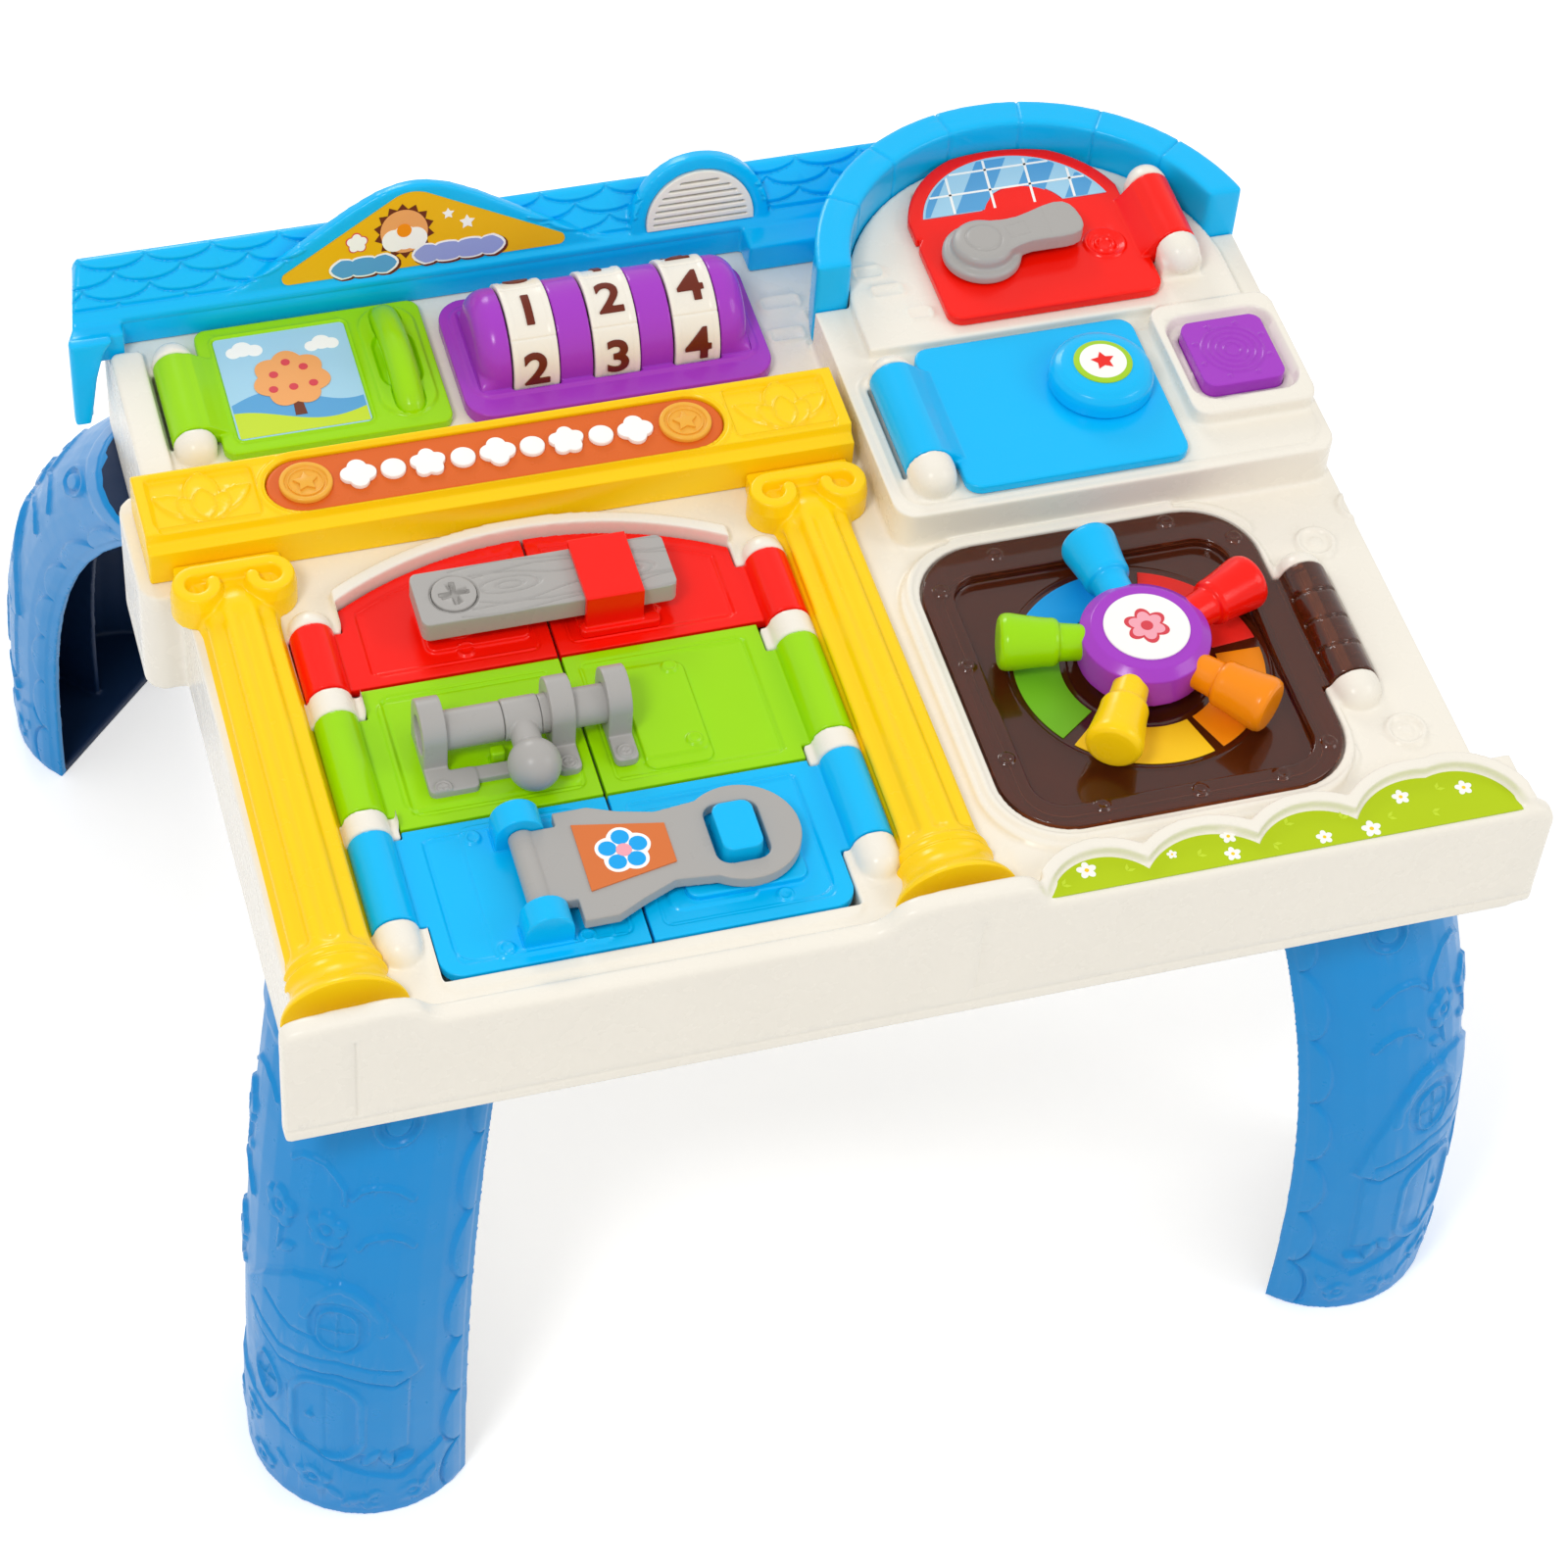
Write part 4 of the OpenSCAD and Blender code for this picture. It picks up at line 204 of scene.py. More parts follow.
def plated_steel(name):
    """Zinc-plated steel wire and screws, with fine drawing marks along the pin."""
    m, t, out = new_finish(name)
    where = add(t, "ShaderNodeTexCoord").outputs["Object"]
    marks = add(t, "ShaderNodeTexNoise", {"Scale": MM / 1.2, "Detail": 3.0}, {"Vector": where})
    sheen = add(t, "ShaderNodeMapRange", {"To Min": 0.25, "To Max": 0.42}, {"Value": marks.outputs["Fac"]})
    look = {"Base Color": linear("#B9BBBE"), "Metallic": 1.0}
    p = add(t, "ShaderNodeBsdfPrincipled", look, {"Roughness": sheen.outputs["Result"]})
    t.links.new(p.outputs["BSDF"], out.inputs["Surface"])
    return m


MOULDED = {  # the plastics, by the short name that the pieces moulded from them use
    slot: abs_plastic(name, colour, rough, *grain)
    for slot, name, colour, rough, *grain in (
        ("cream", "cream_abs", "#F2ECDF", 0.26),
        ("sky", "sky_blue_abs", "#04BCF8", 0.2),
        ("leg_blue", "leg_blue_polypropylene", "#0A8AD0", 0.3, 0.7, 0.06),  # more grained than the ABS
        ("yellow", "yellow_abs", "#FFD30A", 0.24),
        ("red", "red_abs", "#FB1404", 0.2),
        ("green", "green_abs", "#9CDC00", 0.22),
        ("purple", "purple_abs", "#A63CC4", 0.18),
        ("grey", "grey_abs", "#ACA9A5", 0.3, 0.5, 0.06),
        ("plaque", "plaque_orange_abs", "#DC641E", 0.28),
        ("arcs", "orange_abs", "#F98E08", 0.22),
    )
}
MOULDED["smoke"] = smoked_styrene("smoked_brown_styrene", "#84401E", 0.8)
COIN = abs_plastic("coin_gold_abs", "#EFAE3C", 0.26)
BROWN = abs_plastic("digit_brown_paint", "#6A2410", 0.4)
RUBBER = abs_plastic("black_silicone_rubber", "#303236", 0.6, 0.5, 0.15)
# the battery cells' own dark navy; on the legs' hollow sides the same finish is painted shade
DARK_NAVY_AND_LEG_SHADE = abs_plastic("dark_navy_polypropylene_and_painted_leg_shade", "#062244", 0.5)
BOARD = abs_plastic("green_fibreglass_board", "#1F7A3A", 0.4)
STEEL = plated_steel("zinc_plated_steel")
FILM = {
    k: printed_film("film_" + k, c)
    for k, c in {
        "white": "#FBFAF5", "sky": "#A6D3EA", "deep_sky": "#5AA3D6", "lavender": "#98A4DC", "gold": "#F0B80E",
        "orange": "#F89208", "tan": "#F0A763", "pink": "#F4A7B4", "rose": "#D8444F", "lime": "#A9D32A",
        "clay": "#D8743A", "leaf": "#B4CC04", "red": "#EE2A20", "green": "#76BE22", "blue": "#14A6EE",
        "yellow": "#FFD01C", "brown": "#6B2E16", "pale_leaf": "#C6DE2E",
    }.items()
}

# ---------------------------------------------------------------- solids, in panel millimetres


def node_mesh(node):
    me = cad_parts[node].data
    co = np.empty(len(me.vertices) * 3, np.float32)
    me.vertices.foreach_get("co", co)
    me.calc_loop_triangles()
    tri = np.empty(len(me.loop_triangles) * 3, np.int32)
    me.loop_triangles.foreach_get("vertices", tri)
    return co.reshape(-1, 3).astype(float) * MM + ORIGIN, [tuple(t) for t in tri.reshape(-1, 3).tolist()]


def panel_box(node):
    """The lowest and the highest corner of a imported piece, in panel millimetres."""
    return [np.array(v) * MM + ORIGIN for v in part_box(node)]


def joined(solids):
    pts, faces, base = [], [], 0
    for co, fa in solids:
        co = np.asarray(co, float)
        pts.append(co)
        faces += [tuple(i + base for i in f) for f in fa]
        base += len(co)
    return np.vstack(pts), faces


def prism(outline, z0, z1):
    n = len(outline)
    co = [(x, y, z0) for x, y in outline] + [(x, y, z1) for x, y in outline]
    sides = [(i, (i + 1) % n, n + (i + 1) % n, n + i) for i in range(n)]
    return np.array(co, float), sides + [tuple(range(n))[::-1], tuple(range(n, 2 * n))]


def side_prism(outline, y0, y1):
    """A prism of (x, z) points that runs from y0 to y1."""
    co, fa = prism(outline, y0, y1)
    return co[:, [0, 2, 1]], [f[::-1] for f in fa]


def slab(x0, y0, x1, y1, r, z0, z1):
    """A plate with round corners."""
    out = []
    for cx, cy, a in ((x1 - r, y1 - r, 0), (x0 + r, y1 - r, 90), (x0 + r, y0 + r, 180), (x1 - r, y0 + r, 270)):
        for i in range(9):
            t = math.radians(a + 90 * i / 8)
            out.append((cx + r * math.cos(t), cy + r * math.sin(t)))
    return prism(out, z0, z1)


def lathe(profile, centre, axis="z", n=96, turn=0.0):
    """A profile of (radius, height) turned round an axis through centre, its two ends capped."""
    m = len(profile)
    round_ = [2 * math.pi * i / n for i in range(n)]
    co = np.array([(r * math.cos(a), r * math.sin(a), h) for r, h in profile for a in round_])
    fa = [
        (j * n + i, j * n + (i + 1) % n, (j + 1) * n + (i + 1) % n, (j + 1) * n + i)
        for j in range(m - 1) for i in range(n)
    ]
    fa += [tuple(range(n))[::-1], tuple(range((m - 1) * n, m * n))]
    if axis == "x":
        co = co[:, [2, 0, 1]]
    if turn:
        c, s = math.cos(math.radians(turn)), math.sin(math.radians(turn))
        co = np.stack([co[:, 0] * c - co[:, 1] * s, co[:, 0] * s + co[:, 1] * c, co[:, 2]], 1)
    return co + np.array(centre, float), fa


def disc(x, y, z0, z1, r, lip):
    """A short round plate with an eased upper edge."""
    edge = [(r, z0), (r, z1 - lip), (r - lip * 0.3, z1 - lip * 0.3), (r - lip, z1), (0.01, z1)]
    return lathe(edge, (x, y, 0), n=72)


def sweep(path, r, n):
    """A round bar of radius r along a path of points, with domed ends."""
    path = [Vector(p) for p in path]
    co, fa = [], []
    d0, d1 = (path[0] - path[1]).normalized(), (path[-1] - path[-2]).normalized()
    dome = (1.45, 1.1, 0.75, 0.35)  # the angles of its rings
    stations = [(path[0] + d0 * r * math.sin(a), r * math.cos(a)) for a in dome]
    stations += [(p, r) for p in path]
    stations += [(path[-1] + d1 * r * math.sin(a), r * math.cos(a)) for a in dome[::-1]]
    m = len(stations)
    for i, (p, rad) in enumerate(stations):
        t = (stations[min(i + 1, m - 1)][0] - stations[max(i - 1, 0)][0]).normalized()
        u = t.cross(Vector((0, 0, 1)) if abs(t.z) < 0.9 else Vector((1, 0, 0))).normalized()
        v = t.cross(u)
        for k in range(n):
            w = 2 * math.pi * k / n
            co.append(p + u * (rad * math.cos(w)) + v * (rad * math.sin(w)))
    for j in range(m - 1):
        for k in range(n):
            q = (k + 1) % n
            fa.append((j * n + k, (j + 1) * n + k, (j + 1) * n + q, j * n + q))
    fa += [tuple(range(n)), tuple(range((m - 1) * n, m * n))[::-1]]
    return np.array(co), fa


# ---------------------------------------------------------------- distances for reliefs


def ease(t):
    t = np.clip(t, 0, 1)
    return t * t * (3 - 2 * t)


def inside(d, w=0.8):
    """1 inside a shape and 0 outside, over a flank w wide."""
    return ease(0.5 - d / w)


def line(d, width=1.2, w=0.8):
    """1 along the shape's outline, on a line of that width."""
    return inside(np.abs(d) - width / 2, w)


def d_circle(x, y, cx, cy, r):
    return np.hypot(x - cx, y - cy) - r


def d_box(x, y, x0, y0, x1, y1, r):
    qx = np.abs(x - (x0 + x1) / 2) - (x1 - x0) / 2 + r
    qy = np.abs(y - (y0 + y1) / 2) - (y1 - y0) / 2 + r
    return np.hypot(np.maximum(qx, 0), np.maximum(qy, 0)) + np.minimum(np.maximum(qx, qy), 0) - r


def d_path(x, y, pts):
    best = np.full(np.shape(x), FAR)
    for (ax, ay), (bx, by) in zip(pts[:-1], pts[1:]):
        dx, dy = bx - ax, by - ay
        t = np.clip(((x - ax) * dx + (y - ay) * dy) / (dx * dx + dy * dy + 1e-12), 0, 1)
        best = np.minimum(best, np.hypot(x - ax - t * dx, y - ay - t * dy))
    return best


def d_poly(x, y, pts):
    """Signed distance to a closed polygon, negative inside."""
    odd = np.zeros(np.shape(x), bool)
    for (ax, ay), (bx, by) in zip(pts, pts[1:] + pts[:1]):
        cross = (ay > y) != (by > y)
        odd ^= cross & (x < (bx - ax) * (y - ay) / (by - ay if by != ay else 1e-9) + ax)
    return d_path(x, y, pts + pts[:1]) * np.where(odd, -1.0, 1.0)


def d_leaf(x, y, cx, cy, length, width, turn):
    """A pointed leaf centred on (cx, cy), its long axis turned from +y, in degrees."""
    a = math.radians(turn)
    u = (x - cx) * math.cos(a) + (y - cy) * math.sin(a)
    v = -(x - cx) * math.sin(a) + (y - cy) * math.cos(a)
    hl, hw = length / 2, width / 2
    r = (hl * hl + hw * hw) / (2 * hw)
    return np.maximum(np.hypot(u - (r - hw), v), np.hypot(u + (r - hw), v)) - r


def d_flower(x, y, cx, cy, r):
    """Five round petals on their middle."""
    best = np.full(np.shape(x), FAR)
    for i in range(5):
        a = math.radians(90 + 72 * i)
        petal = d_circle(x, y, cx + 0.56 * r * math.cos(a), cy + 0.56 * r * math.sin(a), 0.42 * r)
        best = np.minimum(best, petal)
    return best


# ---------------------------------------------------------------- pieces


def evaluated(obj):
    dg = bpy.context.evaluated_depsgraph_get()
    me = bpy.data.meshes.new_from_object(obj.evaluated_get(dg))
    old = obj.data
    obj.modifiers.clear()
    obj.data = me
    bpy.data.meshes.remove(old)
    return me


def arrays(me):
    co = np.empty(len(me.vertices) * 3, np.float32)
    me.vertices.foreach_get("co", co)
    no = np.empty(len(me.vertices) * 3, np.float32)
    me.vertex_normals.foreach_get("vector", no)
    return co.reshape(-1, 3).astype(float), no.reshape(-1, 3).astype(float)


def finish_piece(obj, body, finish, nodes):
    me = obj.data
    me.polygons.foreach_set("use_smooth", [True] * len(me.polygons))
    me.materials.clear()
    me.materials.append(finish)
    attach(obj, body)
    if nodes:
        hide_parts(*nodes)
    return obj


def without(solid, drop):
    """A solid's mesh less the faces that touch the points drop() picks; another solid must close the gap."""
    co, fa = solid
    gone = drop(*co.T)
    return co, [f for f in fa if not any(gone[i] for i in f)]


def meshed(name, co, fa):
    me = bpy.data.meshes.new(name)
    me.from_pydata([tuple(p) for p in co], [], fa)
    return in_scene(name, me)


def move_points(me, co):
    me.vertices.foreach_set("co", co.astype(np.float32).ravel())
    me.update()


def eased(obj, passes, group=""):
    s = obj.modifiers.new("ease", "SMOOTH")
    s.factor, s.iterations, s.vertex_group = 0.5, passes, group


def moulded(name, body, slot, nodes, grid, passes, keep, relief=None, extra=(), local=(), fused=True):
    """One moulded piece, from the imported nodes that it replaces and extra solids.

    They are fused on a grid of that many millimetres, their edges are eased in some passes, a relief is raised,
    and a share of the faces is kept. Where fused is false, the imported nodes' own solids stay out.
    """
    obj = meshed(name, *joined([node_mesh(n) for n in nodes if fused] + list(extra)))
    fuse = obj.modifiers.new("grid", "REMESH")
    fuse.mode, fuse.voxel_size, fuse.adaptivity = "VOXEL", grid * COARSER, 0.0
    eased(obj, passes)
    me = evaluated(obj)
    for mask, times in local:
        w = mask(arrays(me)[0])
        group = obj.vertex_groups.new(name="round")
        for share in np.linspace(0.2, 1.0, 5):
            idx = np.nonzero((w > share - 0.2) & (w <= share))[0]
            if len(idx):
                group.add(idx.tolist(), float(share), "REPLACE")
        eased(obj, times, group.name)
        me = evaluated(obj)
        obj.vertex_groups.clear()
    if relief:
        move_points(me, relief(*arrays(me)))
    move_points(me, metres(arrays(me)[0]))
    obj.modifiers.new("fewer", "DECIMATE").ratio = keep
    evaluated(obj)
    return finish_piece(obj, body, MOULDED[slot], nodes)


def drawn(name, body, finish, solids, nodes=(), bevel=0.0, smooth=True):
    """One piece made straight from its solids, with an optional small bevel on its sharp edges."""
    co, fa = joined(solids)
    obj = meshed(name, metres(co), fa)
    obj.data.validate()
    if bevel:
        b = obj.modifiers.new("bevel", "BEVEL")
        b.width, b.segments, b.limit_method, b.angle_limit = bevel / MM, 3, "ANGLE", math.radians(35)
        b.use_clamp_overlap = True
        evaluated(obj)
    obj = finish_piece(obj, body, finish, nodes)
    if smooth:
        obj.data.set_sharp_from_angle(angle=math.radians(32))


def up(no, low=0.55, high=0.9):
    return ease((no[:, 2] - low) / (high - low))


def lift(co, no, h):
    """Raises the faces that look up by h."""
    co = co.copy()
    co[:, 2] += h * up(no)
    return co


def push_out(co, h, axes, mid, r):
    """Raises points by h away from a middle, in two axes; r is their distance from it."""
    out = co.copy()
    for axis, m in zip(axes, mid):
        out[:, axis] += h * (co[:, axis] - m) / np.maximum(r, TINY)
    return out


# ---------------------------------------------------------------- tray and case


def apron_mask(co):
    """Vertices along the apron's outer top edge and its upright corners, which are rounded over."""
    x, y, z = co.T
    edge = ease((10 - y) / 3) * ease((z + 11) / 3)
    corner = ease((9 - y) / 3) * ease((9 - np.minimum(x - x.min(), x.max() - x)) / 3)
    return np.maximum(edge, corner)


def wall_mask(co):
    """Vertices of the shell's upright walls, away from their lower edge."""
    z = co[:, 2]
    return ease((-5 - z) / 3) * ease((z - z.min() - 5) / 4)


def shell_relief(co, no):
    x, y, z = co.T
    h = np.zeros(len(co))
    low = z < 8
    # relief rings beside the wheel door
    for cx, cy in ((411.5, 140.5), (411.2, 48.5), (433, 155)):
        r = np.hypot(x - cx, y - cy)
        h += low * (1.3 * line(r - 6.6, 2.0, 0.9) + 0.9 * inside(r - 2.6, 1.4))
    # outline of the wheel door's raised rim
    h += low * line(d_box(x, y, 257.5, 27.2, 393.5, 169.5, 28), 2.6, 1.2) * (x < 391)
    # brick pattern behind the beam and on the upper step
    for bx, by, w in ((247, 300, 15), (262, 291, 12), (246, 283, 13), (258, 275, 12)):
        h += (z < 6) * (y > 262) * 0.7 * line(d_box(x, y, bx, by, bx + w, by + 6.5, 1.5), 0.9, 0.7)
    for bx, by, w in ((278, 287, 11), (282, 276, 12), (292, 262, 9)):
        h += (z > 20) * 0.6 * line(d_box(x, y, bx, by, bx + w, by + 6, 1.5), 0.9, 0.7)
    # lines along the step below the button
    h += (np.abs(z - 17) < 1.5) * 0.6 * line(d_box(x, y, 264, 174, 425, 243, 9), 1.0, 0.9)
    out = lift(co, no, h)
    # a pocket sinks the deck round the press button
    near = (z > 15) & (d_box(x, y, 388, 202.5, 420, 236.5, 6) < 6.0)
    floor = 23.5 - 4.6 * inside(d_box(x, y, 383.6, 198.1, 424.4, 240.9, 8), 1.8)
    out[:, 2] = np.where(near, np.minimum(out[:, 2], floor), out[:, 2])
    # two upright joint lines on the apron's front
    front = ease((-no[:, 1] - 0.6) / 0.3) * (y < 2)
    for gx in (24.6, 240.0):
        out[:, 1] += 1.0 * front * line(x - gx, 0.7, 1.0) * (z < 0) * (z > -40)
    # faint ledge line below the lip
    out[:, 1] += 0.5 * front * line(z + 43.0, 0.7, 0.8)
    return out


def build_case():
    masks = [(apron_mask, 60), (wall_mask, 16)]
    moulded("top_shell_moulding", "table", "cream", ["top_shell"], 0.8, 5, 0.2, shell_relief, local=masks)
    moulded("bottom_shell_moulding", "table", "cream", ["bottom_shell"], 1.1, 8, 0.16)
    moulded("battery_door_moulding", "table", "cream", ["battery_door"], 0.6, 4, 0.2)


# ---------------------------------------------------------------- legs

LEG_TOP = 170.0
LEG_FOOT_F, LEG_FOOT_B = 191.6, 217.6
LEG_R = 44.5
LEG_Z1, LEG_Z0 = -48.42, -273.0
LEG_BOW = 2.8
LEG_SINK = 1.2  # the ground of the relief lies this far below the leg's outer wall
MID_X = 222.0
LEGS = {  # each leg's middle at its top and at its foot, the turn of its open side, and the way its scene runs
    "leg_front_left": ((MID_X - LEG_TOP, 64.0), (MID_X - LEG_FOOT_F, 28.0), 135, 1),
    "leg_front_right": ((MID_X + LEG_TOP, 64.0), (MID_X + LEG_FOOT_F, 28.0), 225, -1),
    "leg_rear_left": ((MID_X - LEG_TOP - 15, 309.0), (MID_X - LEG_FOOT_B, 393.0), 45, 1),
    "leg_rear_right": ((MID_X + LEG_TOP + 15, 309.0), (MID_X + LEG_FOOT_B, 393.0), 315, -1),
}


# the raised garden scene on a leg, as (s, z) in millimetres round it and up from its foot
CLOUDS = (
    [(-8.5, 182), (-4, 185.5), (0, 186.5), (5, 186), (9, 183), (13, 178), (13.6, 172.5)],
    [(16, 175), (19, 178.6), (23, 180), (28, 180), (33, 178), (38, 174)],
    [(20, 154), (22.5, 157.5), (26, 159), (31, 159.2), (36, 157), (40, 153)],
    [(-40, 196), (-36, 200), (-30, 201.5), (-24, 200), (-20, 196)],
    [(-50, 150), (-46, 154), (-40, 155), (-34, 152), (-31, 148)],
)
TALL_FLOWERS = (  # middle, radius and the foot of the stem
    (7.8, 160, 8, (7.6, 144)), (-12.4, 159.5, 8, (-12.2, 141)), (-43, 178, 8, (-42, 160)),
    (-44, 122, 8.5, (-44, 104)),
)
HOUSE_WALL = [(-25, 96), (-24, 38), (41.6, 42), (42, 92)]
HOUSE_ROOF = [
    (-31, 109), (-18, 124), (-4, 135), (7, 138), (19, 134), (31, 124), (40, 106), (46, 88), (36, 83),
    (16, 90.6), (-8, 87), (-24, 97),
]
ROOF_FOLDS = ([(-24, 104), (-8, 95), (16, 98), (38, 91)], [(-16, 117), (-4, 108), (10, 108)])
WINDOW_HOOD = [(1.8, 118), (5, 127), (10, 133.5), (14.6, 136), (20, 134), (26, 128), (30, 121), (31, 114)]
ROOF_WINDOW = (7.3, 104.5, 21.8, 124.5, 7)
HOUSE_DOOR = (-1.0, 40, 22.3, 82.5, 11.5)
BANK = [
    (-80, 46), (-40, 50), (-12, 47), (5, 40), (22, 30), (39.4, 22.6), (46, 29), (56.4, 35.4), (80, 38),
    (80, -20), (-80, -20),
]
BANK_LEAVES = (  # middle, length and turn
    (27.7, 39.5, 12, -35), (39.4, 33.6, 11, -60), (33.5, 38, 11, 15), (14, 14, 10, 40), (20, 9.5, 10, -50),
    (-8, 22, 11, 30), (-30, 24, 12, -30), (-34, 12, 12, 35), (-50, 34, 11, 20), (50, 18, 11, -30),
)
BANK_FLOWERS = (
    (5.4, 21.4, 8), (29, 10.5, 7), (-18.6, 12.4, 7.5), (-44, 20, 8), (-26, 37, 7), (43, 12, 6.5), (-58, 12, 7),
)


def leg_pattern(s, z):
    """The height of the garden scene at s round a leg from its middle and z up from its foot."""
    h = np.zeros(len(s))

    def raised(d, height, flank=1.3):
        np.maximum(h, height * inside(d, flank), out=h)

    def level(d, height, flank=1.1):
        k = inside(d, flank)
        h[:] = h * (1 - k) + height * k

    def blossom(cx, cz, r, height):
        raised(d_flower(s, z, cx, cz, r), height)
        level(np.abs(d_circle(s, z, cx, cz, r * 0.3)) - 0.5, height - 0.8)
        raised(d_circle(s, z, cx, cz, r * 0.2), height + 0.3, 0.9)

    # clouds, the sun and tall flowers above the house
    for path in CLOUDS:
        raised(d_path(s, z, path) - 0.9, 1.3)
    level(np.abs(d_circle(s, z, 29, 205, 8)) - 0.5 - 0.4, 1.5)
    raised(d_circle(s, z, 29, 205, 4.4), 1.5)
    for cx, cz, r, stem in TALL_FLOWERS:
        raised(d_path(s, z, [(cx, cz - r * 0.7), (cx + 1.2, (cz + stem[1]) / 2), stem]) - 0.8, 1.3)
        raised(d_leaf(s, z, cx + 4.6, stem[1] + 3, 9, 4, -48), 1.2)
        blossom(cx, cz, r, 1.6)
    # the house with its big curled roof, and a hooded window in it
    raised(d_poly(s, z, HOUSE_WALL), 1.1)
    level(d_poly(s, z, HOUSE_ROOF) - 1.6, 0.3, 1.2)
    raised(d_poly(s, z, HOUSE_ROOF), 1.9, 1.8)
    for path in ROOF_FOLDS:
        level(d_path(s, z, path) - 0.5, 1.1)
    level(d_box(s, z, 4.0, 103.5, 26.0, 128, 10), 0.9)
    raised(d_path(s, z, WINDOW_HOOD) - 2.0, 2.4, 1.5)
    pane = d_box(s, z, *ROOF_WINDOW)
    raised(np.abs(pane) - 0.9, 1.9)
    raised(np.minimum(np.abs(s - 14.5), np.abs(z - 114)) - 0.5 + 9 * (pane > 0), 1.6, 0.9)
    # door with its frame and knob, and a leaf-shaped lattice window
    door = d_box(s, z, *HOUSE_DOOR)
    level(door, 0.5)
    raised(np.abs(d_box(s, z, -3.0, 38, 24.3, 84.5, 13)) - 1.7, 2.1, 1.4)
    raised(d_circle(s, z, 4.3, 61, 1.7), 1.5, 0.9)
    level(np.abs(s - 10.6) - 0.35 + 9 * (door > -2), 0.1, 0.9)
    pane = d_leaf(s, z, -15.0, 69.5, 26, 13, 8)
    level(pane, 0.5)
    raised(np.abs(pane) - 1.0, 2.0)
    raised(np.minimum(np.abs(s + 15 - 0.14 * (z - 69.5)), np.abs(z - 69.5)) - 0.5 + 9 * (pane > 0), 1.5, 0.9)
    # a raised bank along the foot, with flowers and leaves on it
    level(d_poly(s, z, BANK) - 1.0, 0.1)
    raised(d_poly(s, z, BANK), 1.3, 1.6)
    for cx, cz, length, turn in BANK_LEAVES:
        raised(d_leaf(s, z, cx, cz, length, 5, turn), 1.9)
    for cx, cz, r in BANK_FLOWERS:
        blossom(cx, cz, r, 2.2)
    # scalloped border down the open edge
    t = (np.mod(z - 27.7, 32) - 16) / 16
    edge = 65.5 - 9.0 * np.sqrt(np.clip(1 - t * t, 0, 1))
    level(edge - s - 1.2, 0.0, 1.0)
    raised(edge - s, 1.6, 1.5)
    return h


def leg_middle(z, top, foot):
    """The middle of a leg's round wall at a height; the leg bows out towards its foot."""
    k = (1 - np.clip((LEG_Z1 - z) / (LEG_Z1 - LEG_Z0), 0, 1)) ** LEG_BOW
    return foot[0] + (top[0] - foot[0]) * k, foot[1] + (top[1] - foot[1]) * k


def leg_relief(top, foot, a0, way):
    def fn(co, no):
        cx, cy = leg_middle(co[:, 2], top, foot)
        dx, dy = co[:, 0] - cx, co[:, 1] - cy
        r = np.hypot(dx, dy)
        mid = math.radians(a0 + 90)
        a = np.arctan2(dy * math.cos(mid) - dx * math.sin(mid), dx * math.cos(mid) + dy * math.sin(mid))
        outer = ease((r - (LEG_R - 1.6)) / 0.9) * ease((1.50 - np.abs(a)) / 0.05)
        z = co[:, 2] - LEG_Z0
        h = (leg_pattern(a * LEG_R * way, z) - LEG_SINK) * outer * ease(z / 4) * ease((217 - z) / 5)
        out = push_out(co, h, (0, 1), (cx, cy), r)
        out[:, :2] = np.clip(out[:, :2], co.min(0)[:2], co.max(0)[:2])
        return out

    return fn


def build_legs():
    for name, (top, foot, a0, way) in LEGS.items():
        scene = leg_relief(top, foot, a0, way)
        leg = moulded(name + "_moulding", "table", "leg_blue", [name], 0.72, 3, 0.34, scene)
        # painted shade: the faces inside the hollow side get the dark navy finish, which stands in for the shade
        # in the hollow; the leg is the same blue there
        me = leg.data
        me.materials.append(DARK_NAVY_AND_LEG_SHADE)
        mid = np.empty(len(me.polygons) * 3)
        me.polygons.foreach_get("center", mid)
        x, y, z = (mid.reshape(-1, 3) * MM + ORIGIN).T
        cx, cy = leg_middle(z, top, foot)
        me.polygons.foreach_set("material_index", (np.hypot(x - cx, y - cy) < LEG_R - 2.9).astype(np.int32))


# ---------------------------------------------------------------- roof, gable, dome and rim

ROOF_Y0, EAVE_H, RIDGE_H, RIDGE_Y = 333.0, 14.0, 29.4, 350.0
RIM_X, RIM_Y = 345.9, 268.0
TILE_WIDTH, TILE_ROW, TILE_TAIL, TILE_RISE = 25.0, 5.6, 5.2, 2.5


def roof_scales(u, v):
    """Rounded tiles in rows that overlap down the slope: height at u along the eave and v up from it."""
    h = np.zeros(len(u))
    done = np.zeros(len(u), bool)
    for k in range(4, -2, -1):
        foot = 1.0 + TILE_ROW * k
        local = np.mod(u + 0.5 * TILE_WIDTH * (k % 2), TILE_WIDTH) - TILE_WIDTH / 2
        edge = foot + TILE_TAIL * (1 - np.sqrt(np.clip(1 - (2 * local / TILE_WIDTH) ** 2, 0, 1)))
        depth = np.clip((v - edge) / (TILE_ROW + TILE_TAIL), 0, 1)
        crown = 0.62 + 0.38 * np.cos(math.pi * local / TILE_WIDTH)
        take = (v > edge) & ~done
        h = np.where(take, TILE_RISE * crown * ease((v - edge) / 1.9 + 0.08) * (1 - 0.82 * depth), h)
        done |= take
    return h


